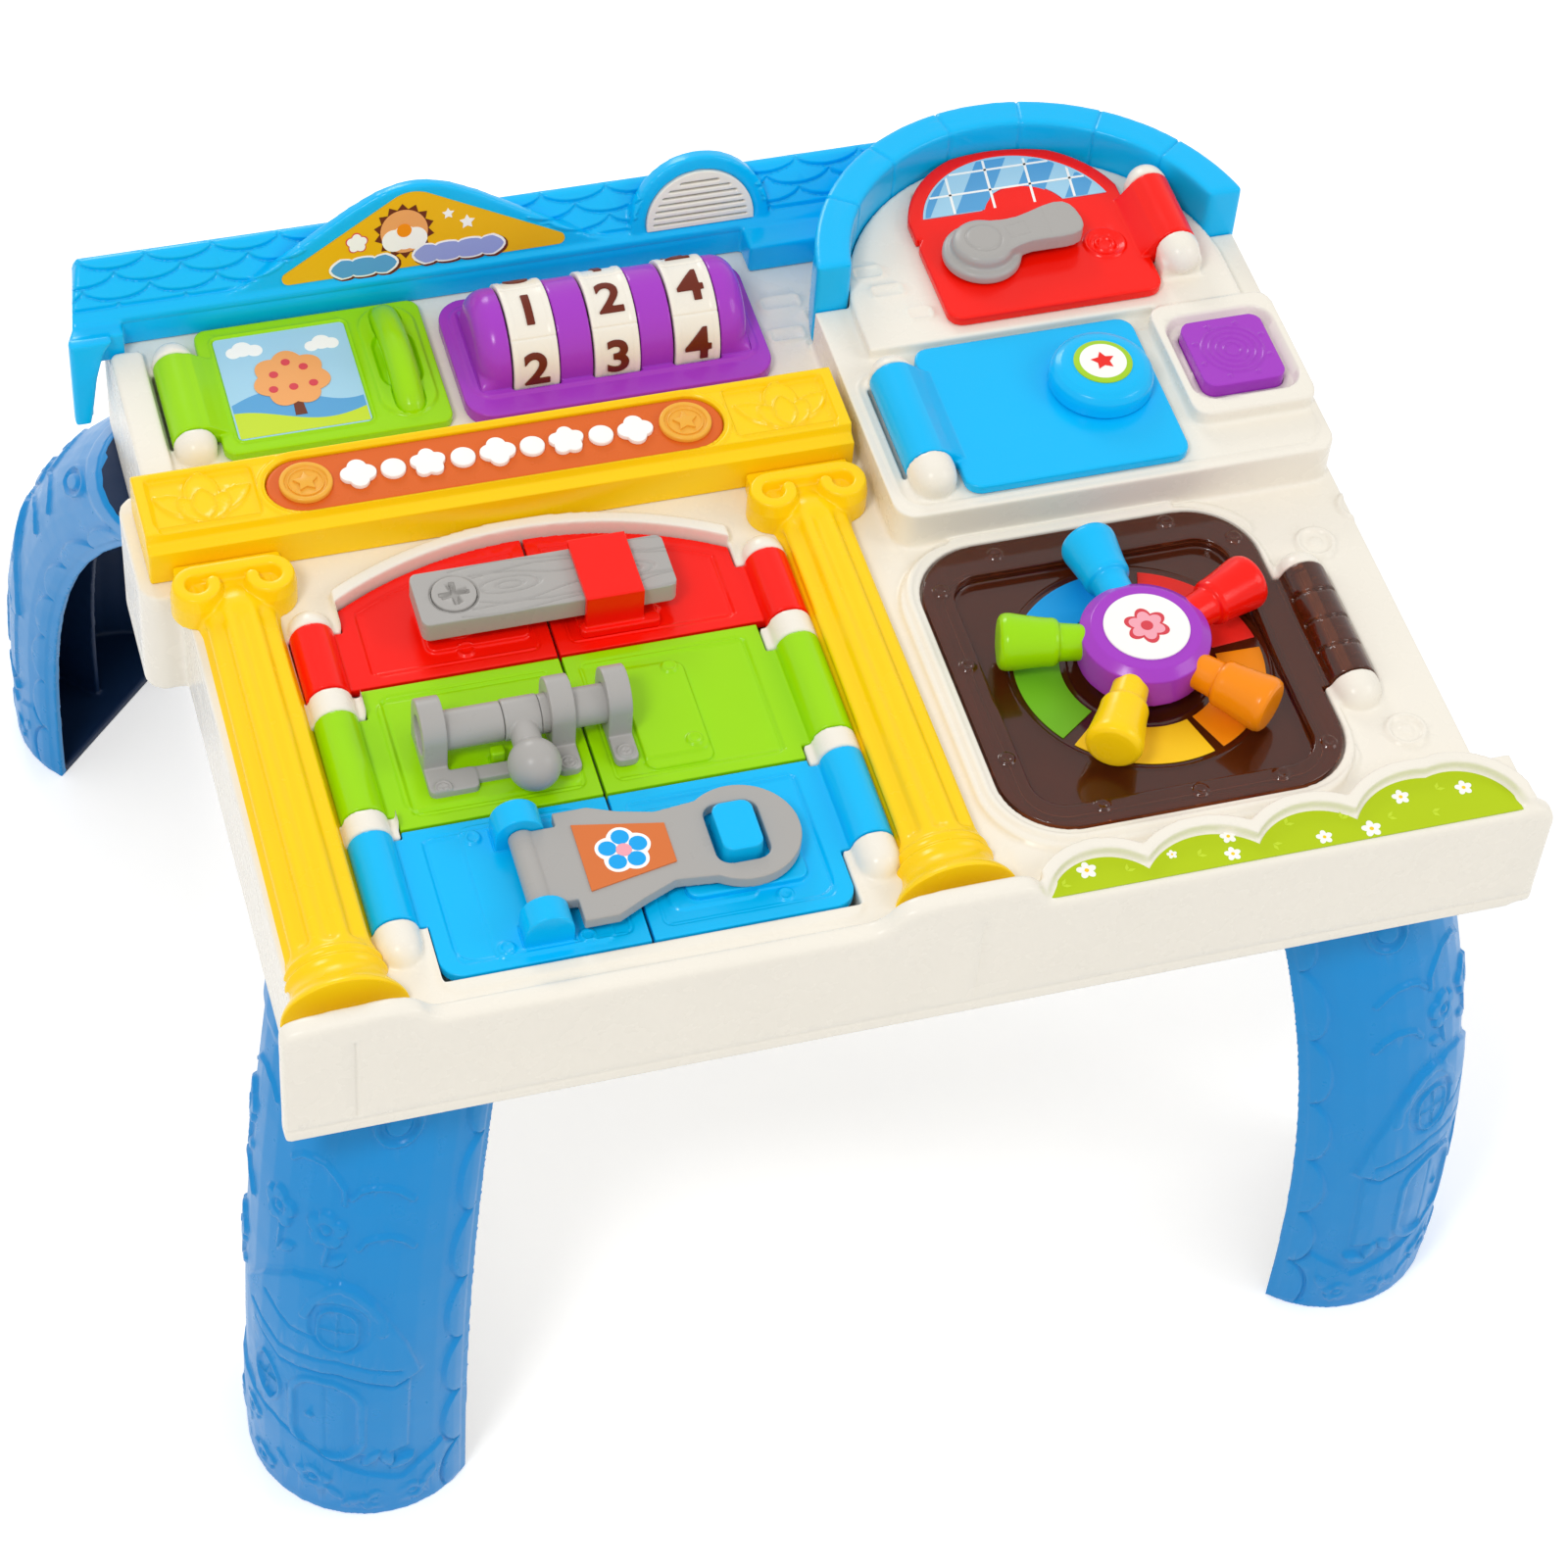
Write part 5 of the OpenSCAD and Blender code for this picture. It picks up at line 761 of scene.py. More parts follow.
def roof_relief(co, no):
    """Tiles on the slope and round its hipped left end."""
    out = co.copy()
    x0 = co[:, 0].min()
    rise, run = RIDGE_H - EAVE_H - 3, RIDGE_Y - ROOF_Y0 - 6
    up_share = np.clip((co[:, 2] - EAVE_H - 3.5) / rise, 0, 1.2)
    hip = x0 + 9.0 * up_share ** 1.5
    out[:, 0] = np.where(co[:, 0] < x0 + 14, np.maximum(co[:, 0], hip), co[:, 0])
    x, y, z = out.T
    n = np.array([0.0, -rise, run]) / math.hypot(rise, run)
    on_slope = (z > EAVE_H + 2.0) & (z < RIDGE_H + 0.6) & (y > ROOF_Y0 + 3.5) & (y < 352.6) & (no[:, 2] > 0.25)
    v = (y - ROOF_Y0 - 5) * n[2] + (z - EAVE_H - 3) * (-n[1])
    h = roof_scales(x + 3, v) * on_slope * ease((z - EAVE_H - 2.2) / 1.2)
    end = (x < hip + 0.6) & (no[:, 0] < -0.5) & (z > EAVE_H + 2.0)
    side = roof_scales(y - ROOF_Y0 + 6, (z - EAVE_H - 3) * 1.2) * end * ease((z - EAVE_H - 2.2) / 1.2)
    out += (h - 0.9 * (h > 0))[:, None] * n[None, :]
    out[:, 0] += np.where(end, 1.6 - side, 0.0) * ease((z - EAVE_H - 2.2) / 3)
    # groove along the eave above its smooth band
    band = (np.abs(y - ROOF_Y0) < 2.5) & (no[:, 1] < -0.6)
    out[:, 1] += 0.4 * band * line(z - 11.0, 0.7, 0.8)
    return out


def rim_relief(co, no):
    """Joint lines between the arch's stones, over its top and down both its sides."""
    x, y = co[:, 0], co[:, 1]
    r = np.hypot(x - RIM_X, y - RIM_Y)
    a = np.degrees(np.arctan2(y - RIM_Y, x - RIM_X))
    joint = np.zeros(len(co))
    for t in (36, 58, 80, 102, 124, 146):
        joint = np.maximum(joint, line((a - t) * math.radians(1) * r, 0.7, 0.9))
    out = co.copy()
    out[:, 2] -= 0.9 * joint * up(no, 0.2, 0.6)
    ux, uy = (x - RIM_X) / r, (y - RIM_Y) / r
    facing = no[:, 0] * ux + no[:, 1] * uy
    side = ease((np.abs(facing) - 0.5) / 0.3)
    out[:, 0] -= 0.7 * joint * side * np.sign(facing) * ux
    out[:, 1] -= 0.7 * joint * side * np.sign(facing) * uy
    return out


LEAN = math.radians(90 - 13)


def on_eave(pts):
    """Places points of the gable's own plane (across, up, out) on the eave, leaning back."""
    p = np.asarray(pts, float)
    y = p[:, 1] * math.cos(LEAN) - p[:, 2] * math.sin(LEAN)
    z = p[:, 1] * math.sin(LEAN) + p[:, 2] * math.cos(LEAN)
    return np.stack([p[:, 0], y + ROOF_Y0 + 1.5, z + EAVE_H - 1], 1)


def build_roof():
    x0 = panel_box("roof_panel")[0][0] + 0.05
    end = [(x0, 13.8), (4, 13.8), (0.5, 8), (-2.5, -4), (-4.5, -18), (-6.0, -26.8), (x0, -26.8)]
    web = side_prism(end, 321.6, 326.0)
    moulded("roof_moulding", "table", "sky", ["roof_panel"], 0.55, 26, 0.22, roof_relief, [web])
    moulded("arch_rim_moulding", "table", "sky", ["arch_rim"], 0.6, 64, 0.2, rim_relief)
    moulded("grille_moulding", "table", "cream", ["speaker_grille"], 0.32, 2, 0.4)


def star(cx, cy, r, inner, points=5):
    out = []
    for i in range(points * 2):
        a = math.radians(90 + 180 * i / points)
        rr = r if i % 2 == 0 else r * inner
        out.append((cx + rr * math.cos(a), cy + rr * math.sin(a)))
    return out


def ring_pts(cx, cy, r, n=48, a0=0.0, a1=360.0):
    angles = [math.radians(a0 + (a1 - a0) * i / n) for i in range(n + (a1 - a0 < 360))]
    return [(cx + r * math.cos(a), cy + r * math.sin(a)) for a in angles]


def sector(cx, cy, r0, r1, a0, a1):
    return ring_pts(cx, cy, r1, 40, a0, a1) + ring_pts(cx, cy, r0, 40, a1, a0)


def flower_outline(cx, cy, r, petals=5, n=80, depth=0.24):
    out = []
    for i in range(n):
        a = 2 * math.pi * i / n
        k = 1 - depth + depth * abs(math.cos(petals * (a - math.pi / 2) / 2))
        out.append((cx + r * k * math.cos(a), cy + r * k * math.sin(a)))
    return out


def printed(body, rows, place=None):
    """Printed shapes on a body's face, as thin plates.

    A row holds a name, its ink, the last word of its slot, which is not used, its outlines, the height that it
    starts at and its thickness. place() moves the plates off the panel's own plane.
    """
    for name, ink, slot, outlines, z, thick in rows:
        plates = [prism(o, z, z + thick) for o in outlines]
        if place:
            plates = [(place(co), fa) for co, fa in plates]
        drawn(name, body, FILM[ink], plates)


def cloud_outline(discs):
    """One outline round several overlapping discs, seen from their common middle."""
    cx = sum(d[0] for d in discs) / len(discs)
    cy = sum(d[1] for d in discs) / len(discs)
    out = []
    for i in range(120):
        a = 2 * math.pi * i / 120
        ux, uy = math.cos(a), math.sin(a)
        far = 0.0
        for px, py, r in discs:
            along = (px - cx) * ux + (py - cy) * uy
            off = r * r - ((px - cx) * uy - (py - cy) * ux) ** 2
            if off > 0:
                far = max(far, along + math.sqrt(off))
        out.append((cx + far * ux, cy + far * uy))
    return out


def banner(x0, x1, y0, y1, lobes, grow=0.0):
    """A ribbon with scalloped upper and lower edges, of that many lobes."""
    top, low = [], []
    n = lobes * 10
    for i in range(n + 1):
        t = i / n
        x = x0 - grow + (x1 - x0 + 2 * grow) * t
        bump = abs(math.sin(math.pi * lobes * t)) ** 0.5
        end = min(1.0, 6 * t * lobes / 3, 6 * (1 - t) * lobes / 3) ** 0.5
        mid = (y0 + y1) / 2
        half = ((y1 - y0) / 2 * (0.74 + 0.26 * bump)) * end + grow
        top.append((x, mid + half))
        low.append((x, mid - half))
    return low + top[::-1]


def build_gable_art():
    top = 0.56
    rows = []
    for side, ink, ribbon in (
        ("left", "deep_sky", (88.5, 113.5, 3.2, 10.6, 3)), ("right", "lavender", (120.0, 154.5, 4.6, 12.2, 4)),
    ):
        shadow = [(x + 0.7, y - 0.7) for x, y in banner(*ribbon, 0.9)]
        rows += [
            ("gable_banner_shade_" + side, "brown", "orange", [shadow], top, 0.08),
            ("gable_banner_edge_" + side, "white", "white", [banner(*ribbon, 0.7)], top + 0.08, 0.08),
            ("gable_banner_" + side, ink, "blue", [banner(*ribbon)], top + 0.16, 0.14),
        ]
    # an orange sun with a pale middle and short rays, then two stars and a blossom
    stars = [star(134.0, 24.0, 2.4, 0.52), star(141.0, 19.4, 3.1, 0.52)]
    cx, cy = 117.0, 19.2
    glow = cloud_outline([(cx - 4, cy - 3.4, 4.6), (cx + 4, cy - 3.4, 4.6), (cx, cy - 2.6, 5.0)])
    rows += [
        ("gable_sun_rays", "brown", "orange", [star(cx, cy, 11.6, 0.8, 14)], top, 0.06),
        ("gable_sun", "tan", "orange", [ring_pts(cx, cy, 9.0)], top + 0.06, 0.1),
        ("gable_sun_glow", "white", "white", [glow], top + 0.16, 0.06),
        ("gable_sun_heart", "orange", "orange", [ring_pts(cx, cy + 0.4, 2.8, 28)], top + 0.22, 0.06),
        ("gable_stars", "white", "white", stars, top, 0.12),
        ("gable_blossom_edge", "rose", "orange", [flower_outline(99.0, 17.0, 4.4)], top, 0.06),
        ("gable_blossom", "white", "white", [flower_outline(99.0, 17.0, 3.9)], top + 0.06, 0.1),
    ]
    printed("table", rows, on_eave)


# ---------------------------------------------------------------- picture door

def picture_relief(co, no):
    x, y, z = co.T
    flat = z < 5.2
    ring = d_box(x, y, 94.8, 270.6, 116.2, 328.2, 10.6)
    h = 1.3 * inside(ring, 1.4) - 1.3 * inside(d_box(x, y, 97.9, 284.5, 113.1, 314.0, 7.5), 1.6)
    h = np.maximum(h, 0.7 * line(d_box(x, y, 39.8, 270.3, 91.2, 325.2, 3), 1.0, 0.8))
    return lift(co, no, h * flat)


def hill(x0, x1, foot, height):
    """A band of hill from x0 to x1; height(t) is its upper edge."""
    crest = [(x0 + (x1 - x0) * i / 30, height(i / 30)) for i in range(31)]
    return crest + [(x1, foot), (x0, foot)]


def build_picture_door():
    leaf = without(node_mesh("picture_door"), lambda x, y, z: (x > 95) & (z > 4.45))
    patch = slab(95.5, 268.6, 117.0, 329.4, 5, 1.4, 4.4)
    web = side_prism([(25, 10.2), (31.0, 9.2), (34.8, 6.8), (39.5, 4.3), (39.5, 1.2), (25, 1.2)], 276.0, 315.0)
    bow = [(105.5, 275.4 + 48.2 * i / 40, 2.6 + 6.6 * math.sin(math.pi * i / 40) ** 0.62) for i in range(41)]
    moulded(
        "picture_door_moulding", "picture_door", "green", ["picture_door"], 0.42, 7, 0.22, picture_relief,
        [leaf, patch, web, sweep(bow, 5.5, 32)], fused=False,
    )
    (x0, y0, z0), (x1, y1, top) = panel_box("picture_label")
    film = slab(x0, y0, x1, y1, 2.0, z0, top)
    drawn("picture_film", "picture_door", FILM["sky"], [film], ["picture_label"])
    # a garden in the sun: bands of hills, a round tree with its fruit, and clouds
    w, d, rim = x1 - x0, y1 - y0, 0.6
    band = (x0 + rim, x1 - rim, y0 + rim)
    far = [(x0 + rim, y0 + 0.32 * d)] + hill(*band, lambda t: y0 + d * (0.34 + 0.09 * math.sin(t * 5.2)))
    near = hill(*band, lambda t: y0 + d * (0.18 + 0.08 * math.cos(t * 4.4)))
    tx, ty = x0 + 0.5 * w, y0 + 0.52 * d
    trunk = [(tx - 2.2, ty - 19), (tx + 2.2, ty - 19), (tx + 1.5, ty - 8), (tx - 1.5, ty - 8)]
    spots = ((-6, 3), (5.5, 5), (0, -4.5), (7.5, -4), (-7.5, -4.5), (-0.5, 8.5))
    fruit = [ring_pts(tx + a, ty + b, 1.7, 20) for a, b in spots]
    clouds = [
        cloud_outline([(x0 + 6.5, y1 - 8.2, 2.8), (x0 + 10, y1 - 6.8, 3.8), (x0 + 14.4, y1 - 8.2, 3.0)]),
        cloud_outline([(x1 - 6.5, y1 - 10.2, 2.8), (x1 - 10, y1 - 9.0, 3.6), (x1 - 14, y1 - 10.4, 2.6)]),
    ]
    printed("picture_door", [
        ("picture_hills_far", "deep_sky", "blue", [far], top, 0.06),
        ("picture_hills_near", "pale_leaf", "green", [near], top + 0.06, 0.06),
        ("picture_trunk", "brown", "orange", [trunk], top + 0.12, 0.06),
        ("picture_crown", "tan", "orange", [flower_outline(tx, ty, 14.5, 7, 112, 0.16)], top + 0.18, 0.08),
        ("picture_fruit", "rose", "orange", fruit, top + 0.26, 0.1),
        ("picture_clouds", "white", "white", clouds, top, 0.1),
    ])


# ---------------------------------------------------------------- number reels

REEL_Y, REEL_Z, REEL_R, REEL_W = 296.0, 8.0, 22.5, 17.2
REELS = {  # the middle of each drum, and its numerals in turn
    "reel_left": (152.5, "123456"), "reel_middle": (183.2, "234561"), "reel_right": (213.9, "445612"),
}
REEL_STEP = 60.0  # degrees between two numerals
REEL_A0 = 76.0  # turn of the first numeral up from the child's side, in degrees


def reel_relief(cx):
    """Fine grooves between a drum's numerals, and a narrow step round each of its ends."""
    def fn(co, no):
        dy, dz = co[:, 1] - REEL_Y, co[:, 2] - REEL_Z
        r = np.hypot(dy, dz)
        turn = np.mod(np.degrees(np.arctan2(dz, -dy)) - REEL_A0 + REEL_STEP / 2, REEL_STEP)
        outer = ease((r - REEL_R + 2) / 1.0)
        groove = line(np.minimum(turn, REEL_STEP - turn) * math.radians(1) * REEL_R, 0.6, 0.9) * outer
        edge = outer * 0.35 * inside(np.abs(co[:, 0] - cx) - (REEL_W / 2 - 2.4), 0.8)
        return push_out(co, -0.45 * groove - edge, (1, 2), (REEL_Y, REEL_Z), r)

    return fn


NUMERAL_SIZE, NUMERAL_DEPTH, NUMERAL_STROKE, NUMERAL_GRID = 18.0, 0.35, 0.5, 0.22


def digit_mesh(text):
    """One numeral as a plate, its middle at the origin, in millimetres."""
    c = bpy.data.curves.new("numeral", "FONT")
    c.body, c.size, c.extrude, c.offset = text, NUMERAL_SIZE, NUMERAL_DEPTH, NUMERAL_STROKE
    c.align_x, c.align_y = "CENTER", "CENTER"
    c.resolution_u = 5
    o = in_scene("numeral", c)
    r = o.modifiers.new("grid", "REMESH")
    r.mode, r.voxel_size = "VOXEL", NUMERAL_GRID
    eased(o, 3)
    me = bpy.data.meshes.new_from_object(o.evaluated_get(bpy.context.evaluated_depsgraph_get()))
    co = arrays(me)[0]
    fa = [tuple(p.vertices) for p in me.polygons]
    bpy.data.objects.remove(o)
    bpy.data.meshes.remove(me)
    return co - (co.min(0) + co.max(0)) / 2, fa


HOUSING = (131.7, 234.7, 21.5)  # the cover's two ends and its radius


def housing_relief(co, no):
    """Rounds the cover's ends over, and raises a low step round its foot."""
    x, y, z = co.T
    x0, x1, r0 = HOUSING
    fillet = 8.5
    r = np.hypot(y - REEL_Y, z - REEL_Z)
    t = np.clip(np.maximum(x0 + fillet - x, x - x1 + fillet) / fillet, 0, 1)
    cover = (r < r0 + 1) * (x > x0 - 1) * (x < x1 + 1)
    drop = fillet * (1 - np.sqrt(1 - t * t)) * np.clip(r / r0, 0, 1) * ease((z - 6.5) / 5) * cover
    out = push_out(co, -drop, (1, 2), (REEL_Y, REEL_Z), r)
    foot = d_box(x, y, x0 - 3.4, REEL_Y - r0 - 3.2, x1 + 3.4, REEL_Y + r0 + 3.2, 8)
    return lift(out, no, 0.9 * inside(foot, 1.6) * (z > 5) * (z < 7))


def build_reels():
    for name, (cx, digits) in REELS.items():
        moulded(name + "_drum", name, "cream", [name], 0.42, 5, 0.25, reel_relief(cx))
        solids = []
        for k, d in enumerate(digits):
            co, fa = digit_mesh(d)
            r = REEL_R - 0.1 + co[:, 2]
            a = math.radians(REEL_A0 - REEL_STEP * k) + co[:, 1] / REEL_R
            bent = np.stack([cx + 1.1 * co[:, 0], REEL_Y - r * np.cos(a), REEL_Z + r * np.sin(a)], 1)
            solids.append((bent, fa))
        drawn(name + "_numerals", name, BROWN, solids, smooth=False)
    moulded("reel_housing_moulding", "table", "purple", ["reel_housing"], 0.42, 16, 0.25, housing_relief)


# ---------------------------------------------------------------- beam, plaque and columns

BEAM = (-3.0, 212.5, 256.0, 250.0)  # its two corners
SIGN_Y = 231.25


def beam_relief(co, no):
    x, y, z = co.T
    top = z > 17
    x0, y0, x1, y1 = BEAM
    # a floor sunk inside a rounded rim, and the slot's own low edge
    h = -1.1 * inside(d_box(x, y, x0 + 5.2, y0 + 4.6, x1 - 5.2, y1 - 4.6, 2.5), 1.6)
    h += (z > 19) * 0.8 * line(d_box(x, y, 40.6, 216.4, 213.0, 246.1, 14.6), 1.5, 1.0)
    for cx in (20.4, 234.2):
        petals = [
            (d_leaf(x, y, cx, SIGN_Y + 5.0, 17, 12.5, 0), 0.9),
            (d_leaf(x, y, cx - 8.6, SIGN_Y - 0.6, 21, 8.6, 56), 0.8),
            (d_leaf(x, y, cx + 8.6, SIGN_Y - 0.6, 21, 8.6, -56), 0.8),
            (d_leaf(x, y, cx - 4.6, SIGN_Y - 3.4, 15.5, 8.0, 34), 1.0),
            (d_leaf(x, y, cx + 4.6, SIGN_Y - 3.4, 15.5, 8.0, -34), 1.0),
            (d_leaf(x, y, cx, SIGN_Y - 1.6, 15.5, 8.6, 0), 1.2),
        ]
        art = np.zeros(len(co))
        for d, height in petals:
            k = inside(d, 0.8)
            art = art * (1 - k) + (height - 0.3) * k
            art = np.maximum(art, height * 1.15 * line(d + 0.3, 0.9, 0.8))
        h += 1.3 * art
    return lift(co, no, h * top)


COLUMN_Y0, COLUMN_Y1 = 13.0, 199.0
COLUMN_ROUND, COLUMN_LONG = 160, 170  # its steps round and along
COLUMN_RIBS = 10


def column_solids(cx):
    """A fluted half column lying on the deck, with a bell foot, two ring lines and a rounded neck."""
    n, length = COLUMN_ROUND, COLUMN_Y1 - COLUMN_Y0
    co, fa = [], []
    for j in range(COLUMN_LONG + 1):
        y = COLUMN_Y0 + length * j / COLUMN_LONG
        base = 13.8 - 1.3 * ((y - COLUMN_Y0) / length)
        bell = 5.0 * math.exp(-(((y - COLUMN_Y0) / 6.5) ** 2))
        rings = 1.5 * math.exp(-(((y - 27.0) / 1.3) ** 2)) + 1.2 * math.exp(-(((y - 31.0) / 1.1) ** 2))
        flute = float(ease((y - 34) / 4.0)) * float(ease((COLUMN_Y1 - 11 - y) / 5.0))
        neck = 1.6 * float(ease((y - COLUMN_Y1 + 9) / 9))
        for i in range(n):
            a = 2 * math.pi * i / n
            high = math.sin(a)
            wave = 0.5 - 0.5 * math.cos(COLUMN_RIBS * a) if high > -0.1 else 0.0
            r = base + bell + rings - neck - 2.1 * flute * wave ** 1.2
            co.append((cx + 1.16 * r * math.cos(a), y, -1.5 + r * high * (1.0 if high > 0 else 0.2)))
    for j in range(COLUMN_LONG):
        for i in range(n):
            k = (i + 1) % n
            fa.append((j * n + i, (j + 1) * n + i, (j + 1) * n + k, j * n + k))
    fa += [tuple(range(n)), tuple(range(COLUMN_LONG * n, (COLUMN_LONG + 1) * n))[::-1]]
    return np.array(co), fa


CAPITAL_Y, CAPITAL_X, CAPITAL_R = 197.2, 12.8, 6.8  # middles of the two scrolls and their band's own radius


def capital_relief(cx):
    """The band that runs along a capital and curls into a hook at each end, raised over its sunk middle."""
    def fn(co, no):
        x, y, z = co.T
        band = np.full(len(co), FAR)
        for s in (-1, 1):
            sx = cx + s * CAPITAL_X
            pts = [(cx, CAPITAL_Y + CAPITAL_R)]
            for i in range(25):
                t = i / 24
                a = math.radians(90 - 278 * t)
                r = CAPITAL_R - 0.9 * t
                pts.append((sx + s * r * math.cos(a), CAPITAL_Y + r * math.sin(a)))
            band = np.minimum(band, d_path(x, y, pts))
        crown = np.sqrt(np.clip(1 - (band / 3.4) ** 2, 0, 1))
        h = 4.6 * inside(band - 2.7, 1.5) * (0.72 + 0.28 * crown)
        return lift(co, no, h * (z > 8.2) * (z < 10.6) * (y > 186))

    return fn


def build_bank_front():
    moulded("beam_moulding", "table", "yellow", ["beam"], 0.5, 8, 0.2, beam_relief)
    moulded("plaque_moulding", "table", "plaque", ["sign_plate"], 0.45, 6, 0.2)
    z = panel_box("sign_emblems")[0][2]
    coins = []
    rim = [(9.6, z), (9.6, z + 1.5), (9.2, z + 2.0), (7.9, z + 2.0), (7.5, z + 1.1), (0.01, z + 1.1)]
    bead = [(6.7, z + 1.0), (6.6, z + 1.7), (6.1, z + 1.7), (6.0, z + 1.0), (0.01, z + 0.9)]
    for cx in (57.1, 196.9):
        mid = (cx, SIGN_Y, 0)
        coins += [lathe(rim, mid), lathe(bead, mid), prism(star(cx, SIGN_Y, 4.8, 0.5), z + 1.0, z + 2.0)]
    drawn("plaque_coins", "table", COIN, coins, ["sign_emblems"], bevel=0.25)
    # a row of plain rounded shapes in white relief, where a shop sign would stand
    marks = []
    mid, top = 42.8 + 84.3, z + 1.9
    for i, x in enumerate(np.linspace(mid - 51, mid + 51, 9)):
        if i % 2 == 0:
            marks.append(prism(flower_outline(x, SIGN_Y, 6.6, 4 + (i % 4) // 2, 64), z, top))
        else:
            marks.append(disc(x, SIGN_Y, z, top, 4.5, 0.35))
    drawn("plaque_marks", "table", FILM["white"], marks, bevel=0.25)
    scroll = [(9.6, 0.0), (9.6, 9.4), (0.01, 9.4)]
    for name, cx in (("column_left", 24.0), ("column_right", 234.0)):
        solids = [
            column_solids(cx),
            slab(cx - 19, 203, cx + 19, 212.2, 1, 0.0, 8.0),
            prism([(cx - 13, 192.0), (cx + 13, 192.0), (cx + 13, 206.8), (cx - 13, 206.8)], 0.0, 9.4),
            lathe(scroll, (cx - CAPITAL_X, CAPITAL_Y, 0)),
            lathe(scroll, (cx + CAPITAL_X, CAPITAL_Y, 0)),
        ]
        band = capital_relief(cx)
        moulded(name + "_moulding", "table", "yellow", [name], 0.45, 5, 0.3, band, solids, fused=False)


# ---------------------------------------------------------------- latch doors

DOOR_MID, DOOR_HALF, LEAF_GAP = 129.7, 71.6, 0.9
ROWS = (18.8, 83.5, 148.2, 212.5)
ARCH_Y, ARCH_R = 66.0, 139.6
SCREW_R = 3.1


def cross_slot(x, y, arm, reach):
    """Distance to a cross of two bars round the origin."""
    return np.minimum(
        np.maximum(np.abs(x) - arm, np.abs(y) - reach), np.maximum(np.abs(y) - arm, np.abs(x) - reach)
    )


def screw_relief(x, y, spots):
    """Raised screw heads with a ring line and a small cross slot."""
    h = np.zeros(len(x))
    for cx, cy in spots:
        r = np.hypot(x - cx, y - cy)
        h += inside(r - SCREW_R, 0.8) - 0.6 * line(r - (SCREW_R - 0.9), 0.5, 0.6)
        h -= 0.4 * inside(cross_slot(x - cx, y - cy, 0.3, 1.4), 0.5)
    return h


def rivet_relief(x, y, spots):
    h = np.zeros(len(x))
    for cx, cy in spots:
        d = d_circle(x, y, cx, cy, 2.9)
        h += 0.9 * inside(d, 0.9) - 0.5 * inside(d + 1.2, 0.8)
    return h


# raised pads, by side (-1 left, 1 right) and row: x from and to, and their distances from the row's edges
PADS = {
    (1, 0): (139, 170, 10, 9), (-1, 0): (77, 118, 3, 3),
    (1, 1): (139, 170.5, 11, 10), (-1, 1): (62, 124, 7, 7),
}
RIVETS = {
    (-1, 0): [(80.9, 74.8), (81.2, 26.5), (108.8, 25.6)], (1, 1): [(165.6, 133.6), (165.6, 99.6)],
    (-1, 2): [(98.4, 158.4)], (1, 0): [(178, 74), (178, 28)], (1, 2): [(166.5, 163)],
}


def leaf_relief(side, row):
    """A drawn edge round the sunk middle of one leaf, with raised pads and their rivets."""
    y0, y1 = ROWS[row] + 0.5, ROWS[row + 1] - 0.5
    mid = DOOR_MID + side * LEAF_GAP
    out_x = DOOR_MID + side * (DOOR_HALF - 1)

    def fn(co, no):
        x, y, z = co.T
        flat = (z > -1.4) & (z < 1.3)
        a, b = sorted((mid + side * 4.6, out_x - side * 5.6))
        panel = d_box(x, y, a, y0 + 4.6, b, y1 - 4.6, 3)
        if row == 2:
            panel = np.maximum(panel, np.hypot(x - DOOR_MID, y - ARCH_Y) - ARCH_R + 5.0)
        h = -0.45 * line(panel, 0.8, 0.8)
        if (side, row) in PADS:
            xa, xb, low, high = PADS[side, row]
            h = 0.8 * inside(d_box(x, y, xa, y0 + low, xb, y1 - high, 4), 1.2) + h
        h += rivet_relief(x, y, RIVETS.get((side, row), []))
        return lift(co, no, h * flat)

    return fn


def build_latch_doors():
    for row, colour in enumerate(("blue", "green", "red")):
        for side, word in ((-1, "left"), (1, "right")):
            node = f"{colour}_door_{word}"
            body, slot = (node, "sky") if colour == "blue" else ("table", colour)
            moulded(node + "_leaf", body, slot, [node], 0.42, 6, 0.22, leaf_relief(side, row))


# ---------------------------------------------------------------- latches

BAR_PIVOT = (97.3, 172.5)
HASP_FACE = (127.5, 51.5)  # the middle of its printed flower


def bar_relief(co, no):
    """Wood grain drawn as contour lines round two knots, and a round seat for the pivot screw."""
    x, y, z = co.T
    top = (z > 12.6) * up(no)
    u, v = x - 83.5, y - 172.5
    bend = 7.0 * np.exp(-(((u - 34) / 15) ** 2)) + 4.6 * np.exp(-(((u - 74) / 9) ** 2))
    h = np.zeros(len(co))
    for k in (-11.0, -8.4, -5.6, 5.2, 8.0, 10.8):
        path = k * (0.45 + 0.55 * np.minimum(1.0, (np.abs(k) + bend) / 12))
        path = path + np.sign(k) * 0.25 * bend * (1 - abs(k) / 13) + 1.1 * np.sin(u / 9 + k)
        h = np.maximum(h, line(v - path, 0.4, 0.7) * (u > 3 + abs(k)))
    for rx, ry, r0 in ((34, 0.6, 1.6), (34, 0.6, 3.6), (76, -1.5, 1.6), (76, -1.5, 3.2)):
        h = np.maximum(h, line(np.hypot((u - rx) / 3.0, v - ry) - r0, 0.4, 0.7))
    h = -0.75 * h
    cx, cy = BAR_PIVOT
    r = np.hypot(x - cx, y - cy)
    h = np.where(r < 9.6, 0.0, h) - 0.8 * line(r - 8.4, 0.8, 0.8)
    out = co.copy()
    out[:, 2] += h * top
    ends = ease((np.abs(no[:, 0]) - 0.6) / 0.3) * (z < 13.5)
    out[:, 0] -= np.sign(no[:, 0]) * 0.4 * ends * line(np.mod(z - 6, 3.0) - 1.5, 0.4, 0.7)
    return out


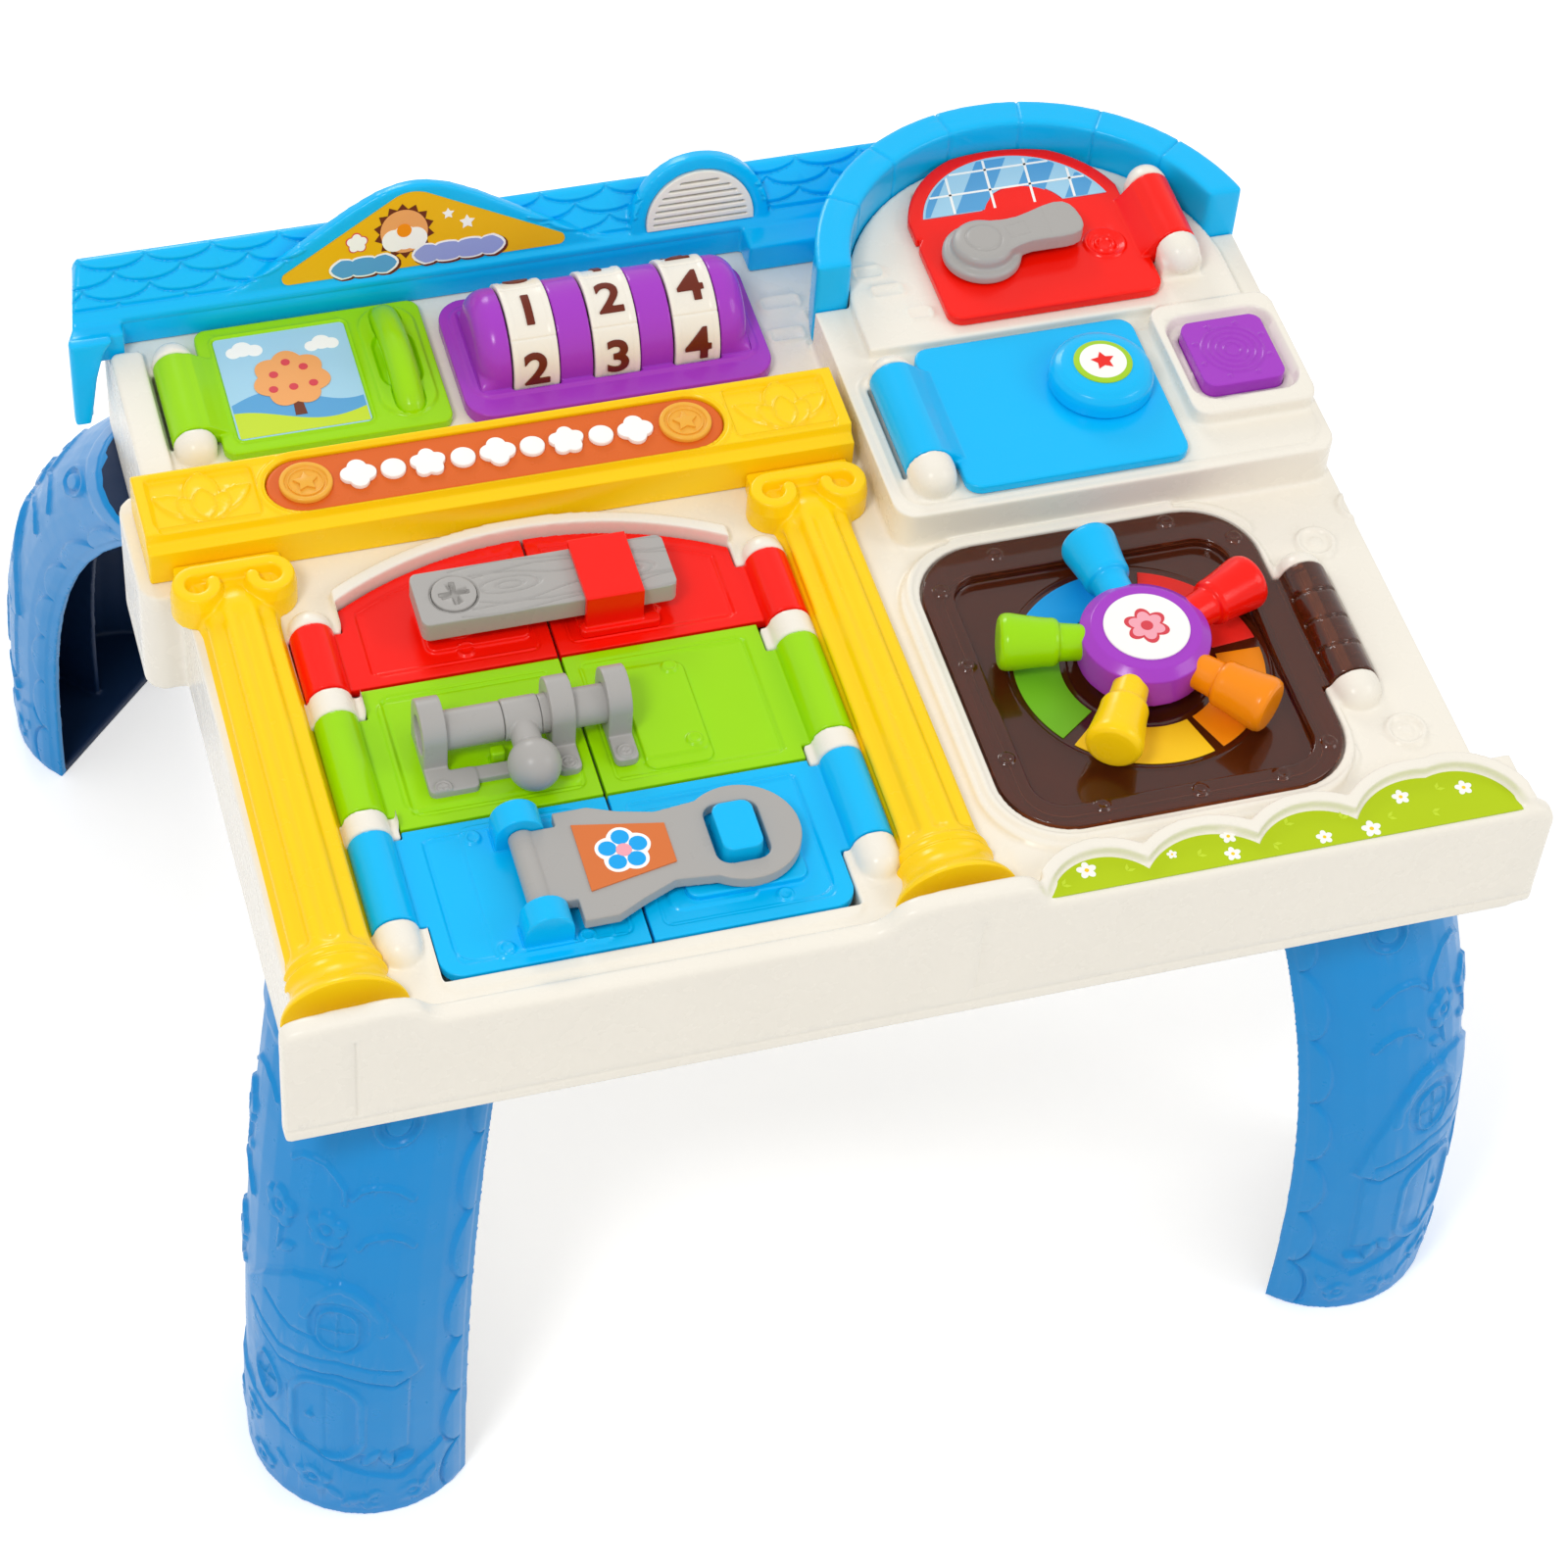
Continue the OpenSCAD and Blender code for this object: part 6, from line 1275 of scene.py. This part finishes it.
def bar_screw_relief(co, no):
    """A turned cross slot in the pivot screw's head."""
    c, s = math.cos(math.radians(12)), math.sin(math.radians(12))
    dx, dy = co[:, 0] - BAR_PIVOT[0], co[:, 1] - BAR_PIVOT[1]
    slot = cross_slot(dx * c + dy * s, -dx * s + dy * c, 1.2, 4.896)
    head = co[:, 2] > panel_box("bar_screw")[1][2] - 1.4
    return lift(co, no, -1.1 * inside(slot, 0.8) * head)


def bolt_base_relief(co, no):
    x, y, z = co.T
    spots = [(75.9, 96.2), (120.2, 97.7), (75.9, 132.5), (120.2, 132.5)]
    return lift(co, no, screw_relief(x, y, spots) * (z < 9))


def keeper_relief(co, no):
    x, y, z = co.T
    return lift(co, no, screw_relief(x, y, [(140.6, 98.2), (140.6, 132.0)]) * (z < 9))


def hasp_relief(co, no):
    """A shallow floor round the eye that drops over the catch."""
    x, y, z = co.T
    top = panel_box("hasp")[1][2]
    return lift(co, no, -0.6 * inside(d_box(x, y, 155, 38.5, 179.5, 64.5, 9.5), 1.5) * (z > top - 1.2))


def build_latches():
    for name, body, slot, node, grid, passes, keep, relief in (
        ("latch_bar_moulding", "latch_bar", "grey", "latch_bar", 0.36, 7, 0.3, bar_relief),
        ("bar_screw_head", "table", "grey", "bar_screw", 0.28, 4, 0.35, bar_screw_relief),
        ("bar_strap_moulding", "table", "red", "bar_strap", 0.38, 9, 0.25, None),
        ("bolt_rod_moulding", "bolt", "grey", "bolt_rod", 0.34, 5, 0.3, None),
        ("bolt_knob_moulding", "bolt_knob", "grey", "bolt_knob", 0.34, 9, 0.3, None),
        ("bolt_base_moulding", "table", "grey", "bolt_base", 0.34, 7, 0.3, bolt_base_relief),
        ("bolt_keeper_moulding", "table", "grey", "bolt_keeper", 0.34, 7, 0.3, keeper_relief),
        ("hasp_moulding", "hasp", "grey", "hasp", 0.36, 8, 0.3, hasp_relief),
        ("hasp_pin_moulding", "blue_door_left", "grey", "hasp_pin", 0.3, 4, 0.4, None),
    ):
        moulded(name, body, slot, [node], grid, passes, keep, relief)
    top = panel_box("hasp_label")[1][2]
    cx, cy = HASP_FACE
    petals = [ring_pts(x, y, 3.1, 28) for x, y in ring_pts(cx, cy, 5.6, 5, 90, 450)]
    printed("hasp", [
        ("hasp_flower_edge", "white", "white", [flower_outline(cx, cy, 9.9, 5, 80, 0.2)], top, 0.12),
        ("hasp_flower_petals", "blue", "blue", petals, top + 0.12, 0.12),
        ("hasp_flower_middle", "pink", "white", [ring_pts(cx, cy, 2.7, 28)], top + 0.12, 0.16),
    ])


# ---------------------------------------------------------------- vault

WINDOW_Y = 299.0  # the window's half round stands on this line
SEAT = (374.6, 282.0)
LEVER = (326.0, 284.0)
KNOB = (351.0, 216.5)
BUTTON = (404.0, 219.5)
LEVER_TURN = math.radians(9)


def red_door_relief(co, no):
    """A round seat with a plain ring in it, beside the lever."""
    x, y, z = co.T
    r = np.hypot(x - SEAT[0], y - SEAT[1])
    h = 0.8 * line(r - 7.6, 1.0, 0.9) - 0.5 * inside(r - 6.6, 0.9) + 1.0 * line(r - 3.4, 1.4, 0.9)
    return lift(co, no, h * (z > 25.2) * (z < 29))


def lever_relief(co, no):
    """A round cap and two shallow facets on the lever's upper face."""
    x, y, z = co.T
    c, s = math.cos(LEVER_TURN), math.sin(LEVER_TURN)
    u = (x - LEVER[0]) * c + (y - LEVER[1]) * s
    v = -(x - LEVER[0]) * s + (y - LEVER[1]) * c
    high = z > 33.5
    h = -0.5 * line(d_circle(x, y, LEVER[0], LEVER[1], 6.9), 0.7, 0.8) * high
    h -= 0.35 * line(np.maximum(np.abs(u - 14.5) - 4.0, np.abs(v) - 3.2), 0.5, 0.8) * high
    h -= 0.3 * line(u - 27 - 0.2 * v, 0.5, 0.8) * high
    return lift(co, no, h)


def button_relief(co, no):
    """Rings of sound waves with a ring of dots round them."""
    x, y, z = co.T
    h = np.zeros(len(co))
    for r in (3.2, 6.0, 8.8, 11.6):
        h += 0.6 * line(d_circle(x, y, *BUTTON, r), 0.6, 0.7)
    for i in range(8):
        a = math.radians(45 * i + 22.5)
        dot = d_circle(x, y, BUTTON[0] + 14.2 * math.cos(a), BUTTON[1] + 14.0 * math.sin(a), 0.9)
        h += 0.6 * inside(dot, 0.7)
    return lift(co, no, h * (z > 22.5))


LEVER_HUB = (
    (6.0, 19.6), (6.0, 26.9), (14.4, 26.9), (15.0, 27.6), (15.0, 30.2), (14.2, 31.2), (12.2, 31.6),
    (11.8, 32.2), (11.8, 34.6), (11.0, 36.0), (9.2, 36.8), (7.2, 37.2), (5.0, 37.7), (0.01, 37.8),
)
KNOB_PROFILE = (
    (18.6, 21.8), (19.5, 22.6), (19.5, 26.0), (19.0, 28.2), (17.6, 30.0), (15.4, 31.2), (12.8, 31.8),
    (0.01, 31.8),
)
LEVER_ARM = (  # half its width at each distance from the hub
    (0, 9.6), (7, 8.6), (12, 7.4), (17, 7.0), (23, 7.8), (29, 8.9), (34, 9.2), (37.4, 8.3), (39.4, 6.0),
    (40.2, 2.8), (40.3, 0.0),
)


def lever_solids():
    """A stepped hub on its stem, and an arm that widens to a rounded paddle."""
    outline = [(u, -w) for u, w in LEVER_ARM] + [(u, w) for u, w in LEVER_ARM[-2::-1]]
    c, s = math.cos(LEVER_TURN), math.sin(LEVER_TURN)
    arm = [(LEVER[0] + u * c - v * s, LEVER[1] + u * s + v * c) for u, v in outline]
    return [lathe(LEVER_HUB, (*LEVER, 0)), prism(arm, 29.6, 36.4)]


def build_window():
    """Pale glare bands, then white glazing bars, clipped to the window's half round."""
    lo, hi = panel_box("window_label")
    top, cx = hi[2], (lo[0] + hi[0]) / 2

    def half_width(y):
        r = hi[1] - WINDOW_Y - 0.4
        return math.sqrt(max(r ** 2 - (y - WINDOW_Y) ** 2, 0)) if y > WINDOW_Y else r

    def strip(k, width, skew):
        left, right = [], []
        for i in range(31):
            y = lo[1] + 0.3 + i * (hi[1] - lo[1] - 0.6) / 30
            w = half_width(y) - 0.6
            a = max(cx + k + skew * (y - lo[1]), cx - w)
            b = min(cx + k + width + skew * (y - lo[1]), cx + w)
            if b - a > 0.3:
                left.append((a, y))
                right.append((b, y))
        return left + right[::-1]

    panes = [strip(k, w, 0.62) for k, w in ((-44, 10), (-24, 12), (-2, 12), (20, 9))]
    bars = [strip(k - 0.5, 1.0, 0.12) for k in (-24, -8, 8, 24)]
    for y in (lo[1] + 10.5, lo[1] + 21.5):
        w = half_width(y) - 0.5
        bars.append([(cx - w, y - 0.5), (cx + w, y - 0.5), (cx + w, y + 0.5), (cx - w, y + 0.5)])
    printed("red_vault_door", [
        ("window_panes", "deep_sky", "blue", panes, top, 0.04),
        ("window_bars", "white", "white", bars, top + 0.04, 0.08),
    ])


def build_vault():
    web = [(399, 37.8), (395.4, 37.0), (391.6, 34.4), (388.6, 30.4), (385.4, 26.2), (385.4, 23.6), (399, 23.6)]
    moulded(
        "red_vault_door_moulding", "red_vault_door", "red", ["red_vault_door"], 0.42, 9, 0.22, red_door_relief,
        [side_prism(web, 272.0, 304.0)],
    )
    build_window()
    moulded(
        "vault_lever_moulding", "vault_lever", "grey", ["vault_lever"], 0.38, 14, 0.25, lever_relief,
        lever_solids(), fused=False,
    )
    web = [(276.6, 29.6), (281.0, 28.8), (285.4, 25.8), (291.0, 21.3), (291.0, 18.4), (276.6, 18.4)]
    moulded(
        "blue_vault_door_moulding", "blue_vault_door", "sky", ["blue_vault_door"], 0.42, 9, 0.2,
        extra=[side_prism(web, 189.6, 235.0)],
    )
    mid = (*KNOB, 0)
    knob = lathe(KNOB_PROFILE, mid)
    moulded("vault_knob_moulding", "vault_knob", "sky", ["vault_knob"], 0.4, 8, 0.25, extra=[knob])
    z = panel_box("knob_badge")[0][2]
    ring = lathe([(10.9, z - 0.3), (10.9, z + 0.35), (10.4, z + 0.6), (0.01, z + 0.6)], mid)
    drawn("knob_badge_ring", "vault_knob", FILM["lime"], [ring], ["knob_badge"])
    middle = lathe([(8.7, z + 0.4), (8.7, z + 0.75), (0.01, z + 0.8)], mid)
    drawn("knob_badge_disc", "vault_knob", FILM["white"], [middle])
    printed("vault_knob", [("knob_badge_star", "red", "white", [star(*KNOB, 4.6, 0.52)], z + 0.8, 0.15)])
    moulded("press_button_moulding", "press_button", "purple", ["press_button"], 0.36, 7, 0.3, button_relief)


# ---------------------------------------------------------------- wheel door

HUB = (329.5, 100.0)
DISH_Z = -2.6
ARCS = (  # from and to, in degrees
    (5, 72, "red"), (77, 144, "blue"), (149, 215, "green"), (221, 287, "yellow"), (292, 359, "orange"),
)


WHEEL_RIVETS = (
    (360, 161), (294, 159), (269.5, 146), (294.5, 38.7), (360, 38), (268.6, 66), (382, 148), (381.5, 48),
    (268.2, 110), (330, 37.5), (327, 160.5),
)
BARREL_X, BARREL_Z = 400.0, 0.0


def wheel_door_relief(co, no):
    """Rivets round the rim, ring lines in the dish, and the barrel's four segments with wavy edges."""
    x, y, z = co.T
    h = np.zeros(len(co))
    for cx, cy in WHEEL_RIVETS:
        h += 0.9 * inside(d_circle(x, y, cx, cy, 2.8), 1.0) - 0.4 * inside(d_circle(x, y, cx, cy, 1.2), 0.8)
    h = h * ((z > 1.0) & (z < 3.2))
    r = np.hypot(x - HUB[0], y - HUB[1])
    h += ((z < -1.6) & (z > -4)) * (0.5 * line(r - 47.5, 0.9, 0.8) + 0.4 * line(r - 26.5, 0.8, 0.7))
    out = lift(co, no, h)
    dx, dz = out[:, 0] - BARREL_X, out[:, 2] - BARREL_Z
    r = np.hypot(dx, dz)
    on_barrel = (r > 7.5) & (out[:, 0] > 391.5) & (y > 71) & (y < 127)
    a = np.arctan2(dz, dx)
    cut = np.zeros(len(co))
    for gy in (86.2, 99.2, 112.3):
        cut = np.maximum(cut, line(y - gy - 0.8 * np.sin(3 * a), 1.0, 1.0))
    return push_out(out, -1.3 * cut * on_barrel, (0, 2), (BARREL_X, BARREL_Z), r)


HANDLE = (  # one short handle of the wheel: its radius at each distance from the hub's axis
    (0.01, 14.0), (6.2, 14.0), (6.5, 22.0), (6.8, 29.0), (7.0, 30.4), (8.2, 31.2), (8.7, 32.6), (8.7, 34.4),
    (9.0, 38.0), (9.7, 43.5), (10.3, 47.6), (10.3, 49.4), (9.7, 51.0), (8.4, 51.8), (6.0, 52.0), (0.01, 52.0),
)


def build_wheel():
    moulded("wheel_door_moulding", "wheel_door", "smoke", ["wheel_door"], 0.45, 7, 0.25, wheel_door_relief)
    z = DISH_Z + 0.02
    nodes = ["colour_arcs"]
    for a0, a1, colour in ARCS:
        arc = prism(sector(*HUB, 28.6, 45.3, a0, a1), z, z + 0.5)
        drawn("colour_arc_" + colour, "wheel_door", FILM[colour], [arc], nodes, bevel=0.12)
        nodes = []
    moulded("wheel_hub_moulding", "wheel", "purple", ["wheel_hub"], 0.4, 8, 0.25)
    lo, hi = panel_box("wheel_spokes")
    nodes = ["wheel_spokes"]
    for i, colour in enumerate(("red", "blue", "green", "yellow", "orange")):
        slot = {"blue": "sky", "orange": "arcs"}.get(colour, colour)
        solid = lathe(HANDLE, (*HUB, (lo[2] + hi[2]) / 2), "x", 96, 23 + 72 * i)
        moulded("wheel_handle_" + colour, "wheel", slot, nodes, 0.34, 4, 0.4, extra=[solid], fused=False)
        nodes = []
    z = panel_box("hub_badge")[0][2]
    badge = lathe([(15.4, z), (15.4, z + 0.5), (14.9, z + 0.85), (13.6, z + 0.7), (0.01, z + 0.7)], (*HUB, 0))
    drawn("hub_badge_disc", "wheel", FILM["white"], [badge], ["hub_badge"])
    printed("wheel", [
        ("hub_badge_flower_edge", "rose", "white", [flower_outline(*HUB, 8.2, 6, 96, 0.3)], z + 0.7, 0.12),
        ("hub_badge_flower", "pink", "white", [flower_outline(*HUB, 6.6, 6, 96, 0.3)], z + 0.82, 0.08),
        ("hub_badge_eye", "rose", "white", [ring_pts(*HUB, 2.2, 28)], z + 0.9, 0.08),
    ])


BLOSSOMS = (  # middle and radius
    (278.8, 10.5, 3.6), (309.5, 10.5, 1.9), (331, 13.6, 3.0), (330, 6.0, 3.0), (363.4, 5.8, 3.0),
    (380.7, 5.6, 3.6), (395.7, 16.6, 3.2), (418.8, 15.6, 3.2),
)
SPROUTS = (  # foot and turn
    (292, 7, 40), (301, 14, -30), (318, 8, 20), (345, 7, -40), (352, 14, 30), (372, 12, 50), (404, 8, -20),
    (409, 17, 30), (268.5, 6, 20), (388, 9, 10),
)


def build_hills():
    top = panel_box("hills_label")[1][2]
    leaves = []
    for cx, cy, turn in SPROUTS:
        for side in (-1, 1):
            a = math.radians(turn + 32 * side)
            ux, uy = math.cos(a), math.sin(a)
            belly = [(cx + 1.6 * ux - k * uy, cy + 1.6 * uy + k * ux) for k in (0.7, -0.7)]
            leaves.append([(cx, cy), belly[0], (cx + 3.4 * ux, cy + 3.4 * uy), belly[1]])
    petals = [flower_outline(cx, cy, r, 5, 60, 0.42) for cx, cy, r in BLOSSOMS]
    eyes = [ring_pts(cx, cy, r * 0.22, 16) for cx, cy, r in BLOSSOMS]
    printed("table", [
        ("hills_blossoms", "white", "white", petals, top, 0.12),
        ("hills_blossom_eyes", "yellow", "yellow", eyes, top + 0.12, 0.06),
        ("hills_leaves", "pale_leaf", "green", leaves, top, 0.08),
    ])


# ---------------------------------------------------------------- inner pieces keep their solids


def dress_kept_solids():
    """Pieces that need only a finish: those inside the case, and the plain labels."""
    for node, finish in {
        "battery_cells": DARK_NAVY_AND_LEG_SHADE, "circuit_board": BOARD, "speaker": RUBBER, "case_screws": STEEL,
        "reel_axle": STEEL, "latch_hinge_rods": STEEL, "hinge_pins": STEEL, "button_dome": RUBBER,
        "gable_label": FILM["gold"], "hasp_label": FILM["clay"], "window_label": FILM["sky"],
        "hills_label": FILM["leaf"],
    }.items():
        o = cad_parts[node]
        o.data.materials.clear()
        o.data.materials.append(finish)


# ---------------------------------------------------------------- the studio


def background_rays(tree):
    """1 for the rays that show the white background: straight ones, and those off gloss or through glass."""
    rays = add(tree, "ShaderNodeLightPath").outputs
    seen = rays["Is Camera Ray"]
    for kind in ("Is Glossy Ray", "Is Transmission Ray"):
        seen = add(tree, "ShaderNodeMath", {"operation": "MAXIMUM"}, {0: seen, 1: rays[kind]}).outputs[0]
    return seen


def build_studio():
    s = bpy.context.scene
    s.view_settings.view_transform = "Standard"
    s.world = world = bpy.data.worlds.new("studio")
    world.use_nodes = True
    t = world.node_tree
    t.nodes.clear()
    dim = add(t, "ShaderNodeBackground", {"Color": WHITE, "Strength": WORLD_LEVEL})
    white = add(t, "ShaderNodeBackground", {"Color": WHITE, "Strength": WHITE_LEVEL})
    mix = add(t, "ShaderNodeMixShader", {}, {0: background_rays(t), 1: dim.outputs[0], 2: white.outputs[0]})
    add(t, "ShaderNodeOutputWorld", {}, {"Surface": mix.outputs[0]})
    for row in LAMPS:
        lamp(*row)

    m, t, out = new_finish("matt_white_sweep")
    where = add(t, "ShaderNodeTexCoord").outputs["Object"]
    cloud = add(t, "ShaderNodeTexNoise", {"Scale": 3.0, "Detail": 2.0}, {"Vector": where})
    ends = {6: (0.93, 0.93, 0.93, 1.0), 7: (0.95, 0.95, 0.95, 1.0)}
    tint = add(t, "ShaderNodeMix", {"data_type": "RGBA", **ends}, {"Factor": cloud.outputs["Fac"]})
    body = add(t, "ShaderNodeBsdfDiffuse", {}, {"Color": tint.outputs[2]})
    glow = add(t, "ShaderNodeEmission", {"Color": WHITE, "Strength": FLOOR_GLOW})
    both = add(t, "ShaderNodeAddShader", {}, {0: body.outputs[0], 1: glow.outputs[0]})
    pick = add(t, "ShaderNodeMixShader", {}, {0: background_rays(t), 1: body.outputs[0], 2: both.outputs[0]})
    t.links.new(pick.outputs[0], out.inputs["Surface"])
    floor = meshed("floor", [(-6, -6, 0), (6, -6, 0), (6, 8, 0), (-6, 8, 0)], [(0, 1, 2, 3)])
    floor.data.materials.append(m)


for build in (
    make_camera, build_studio, build_case, build_legs, build_roof, build_gable_art, build_picture_door,
    build_reels, build_bank_front, build_latch_doors, build_latches, build_vault, build_wheel, build_hills,
    dress_kept_solids,
):
    build()
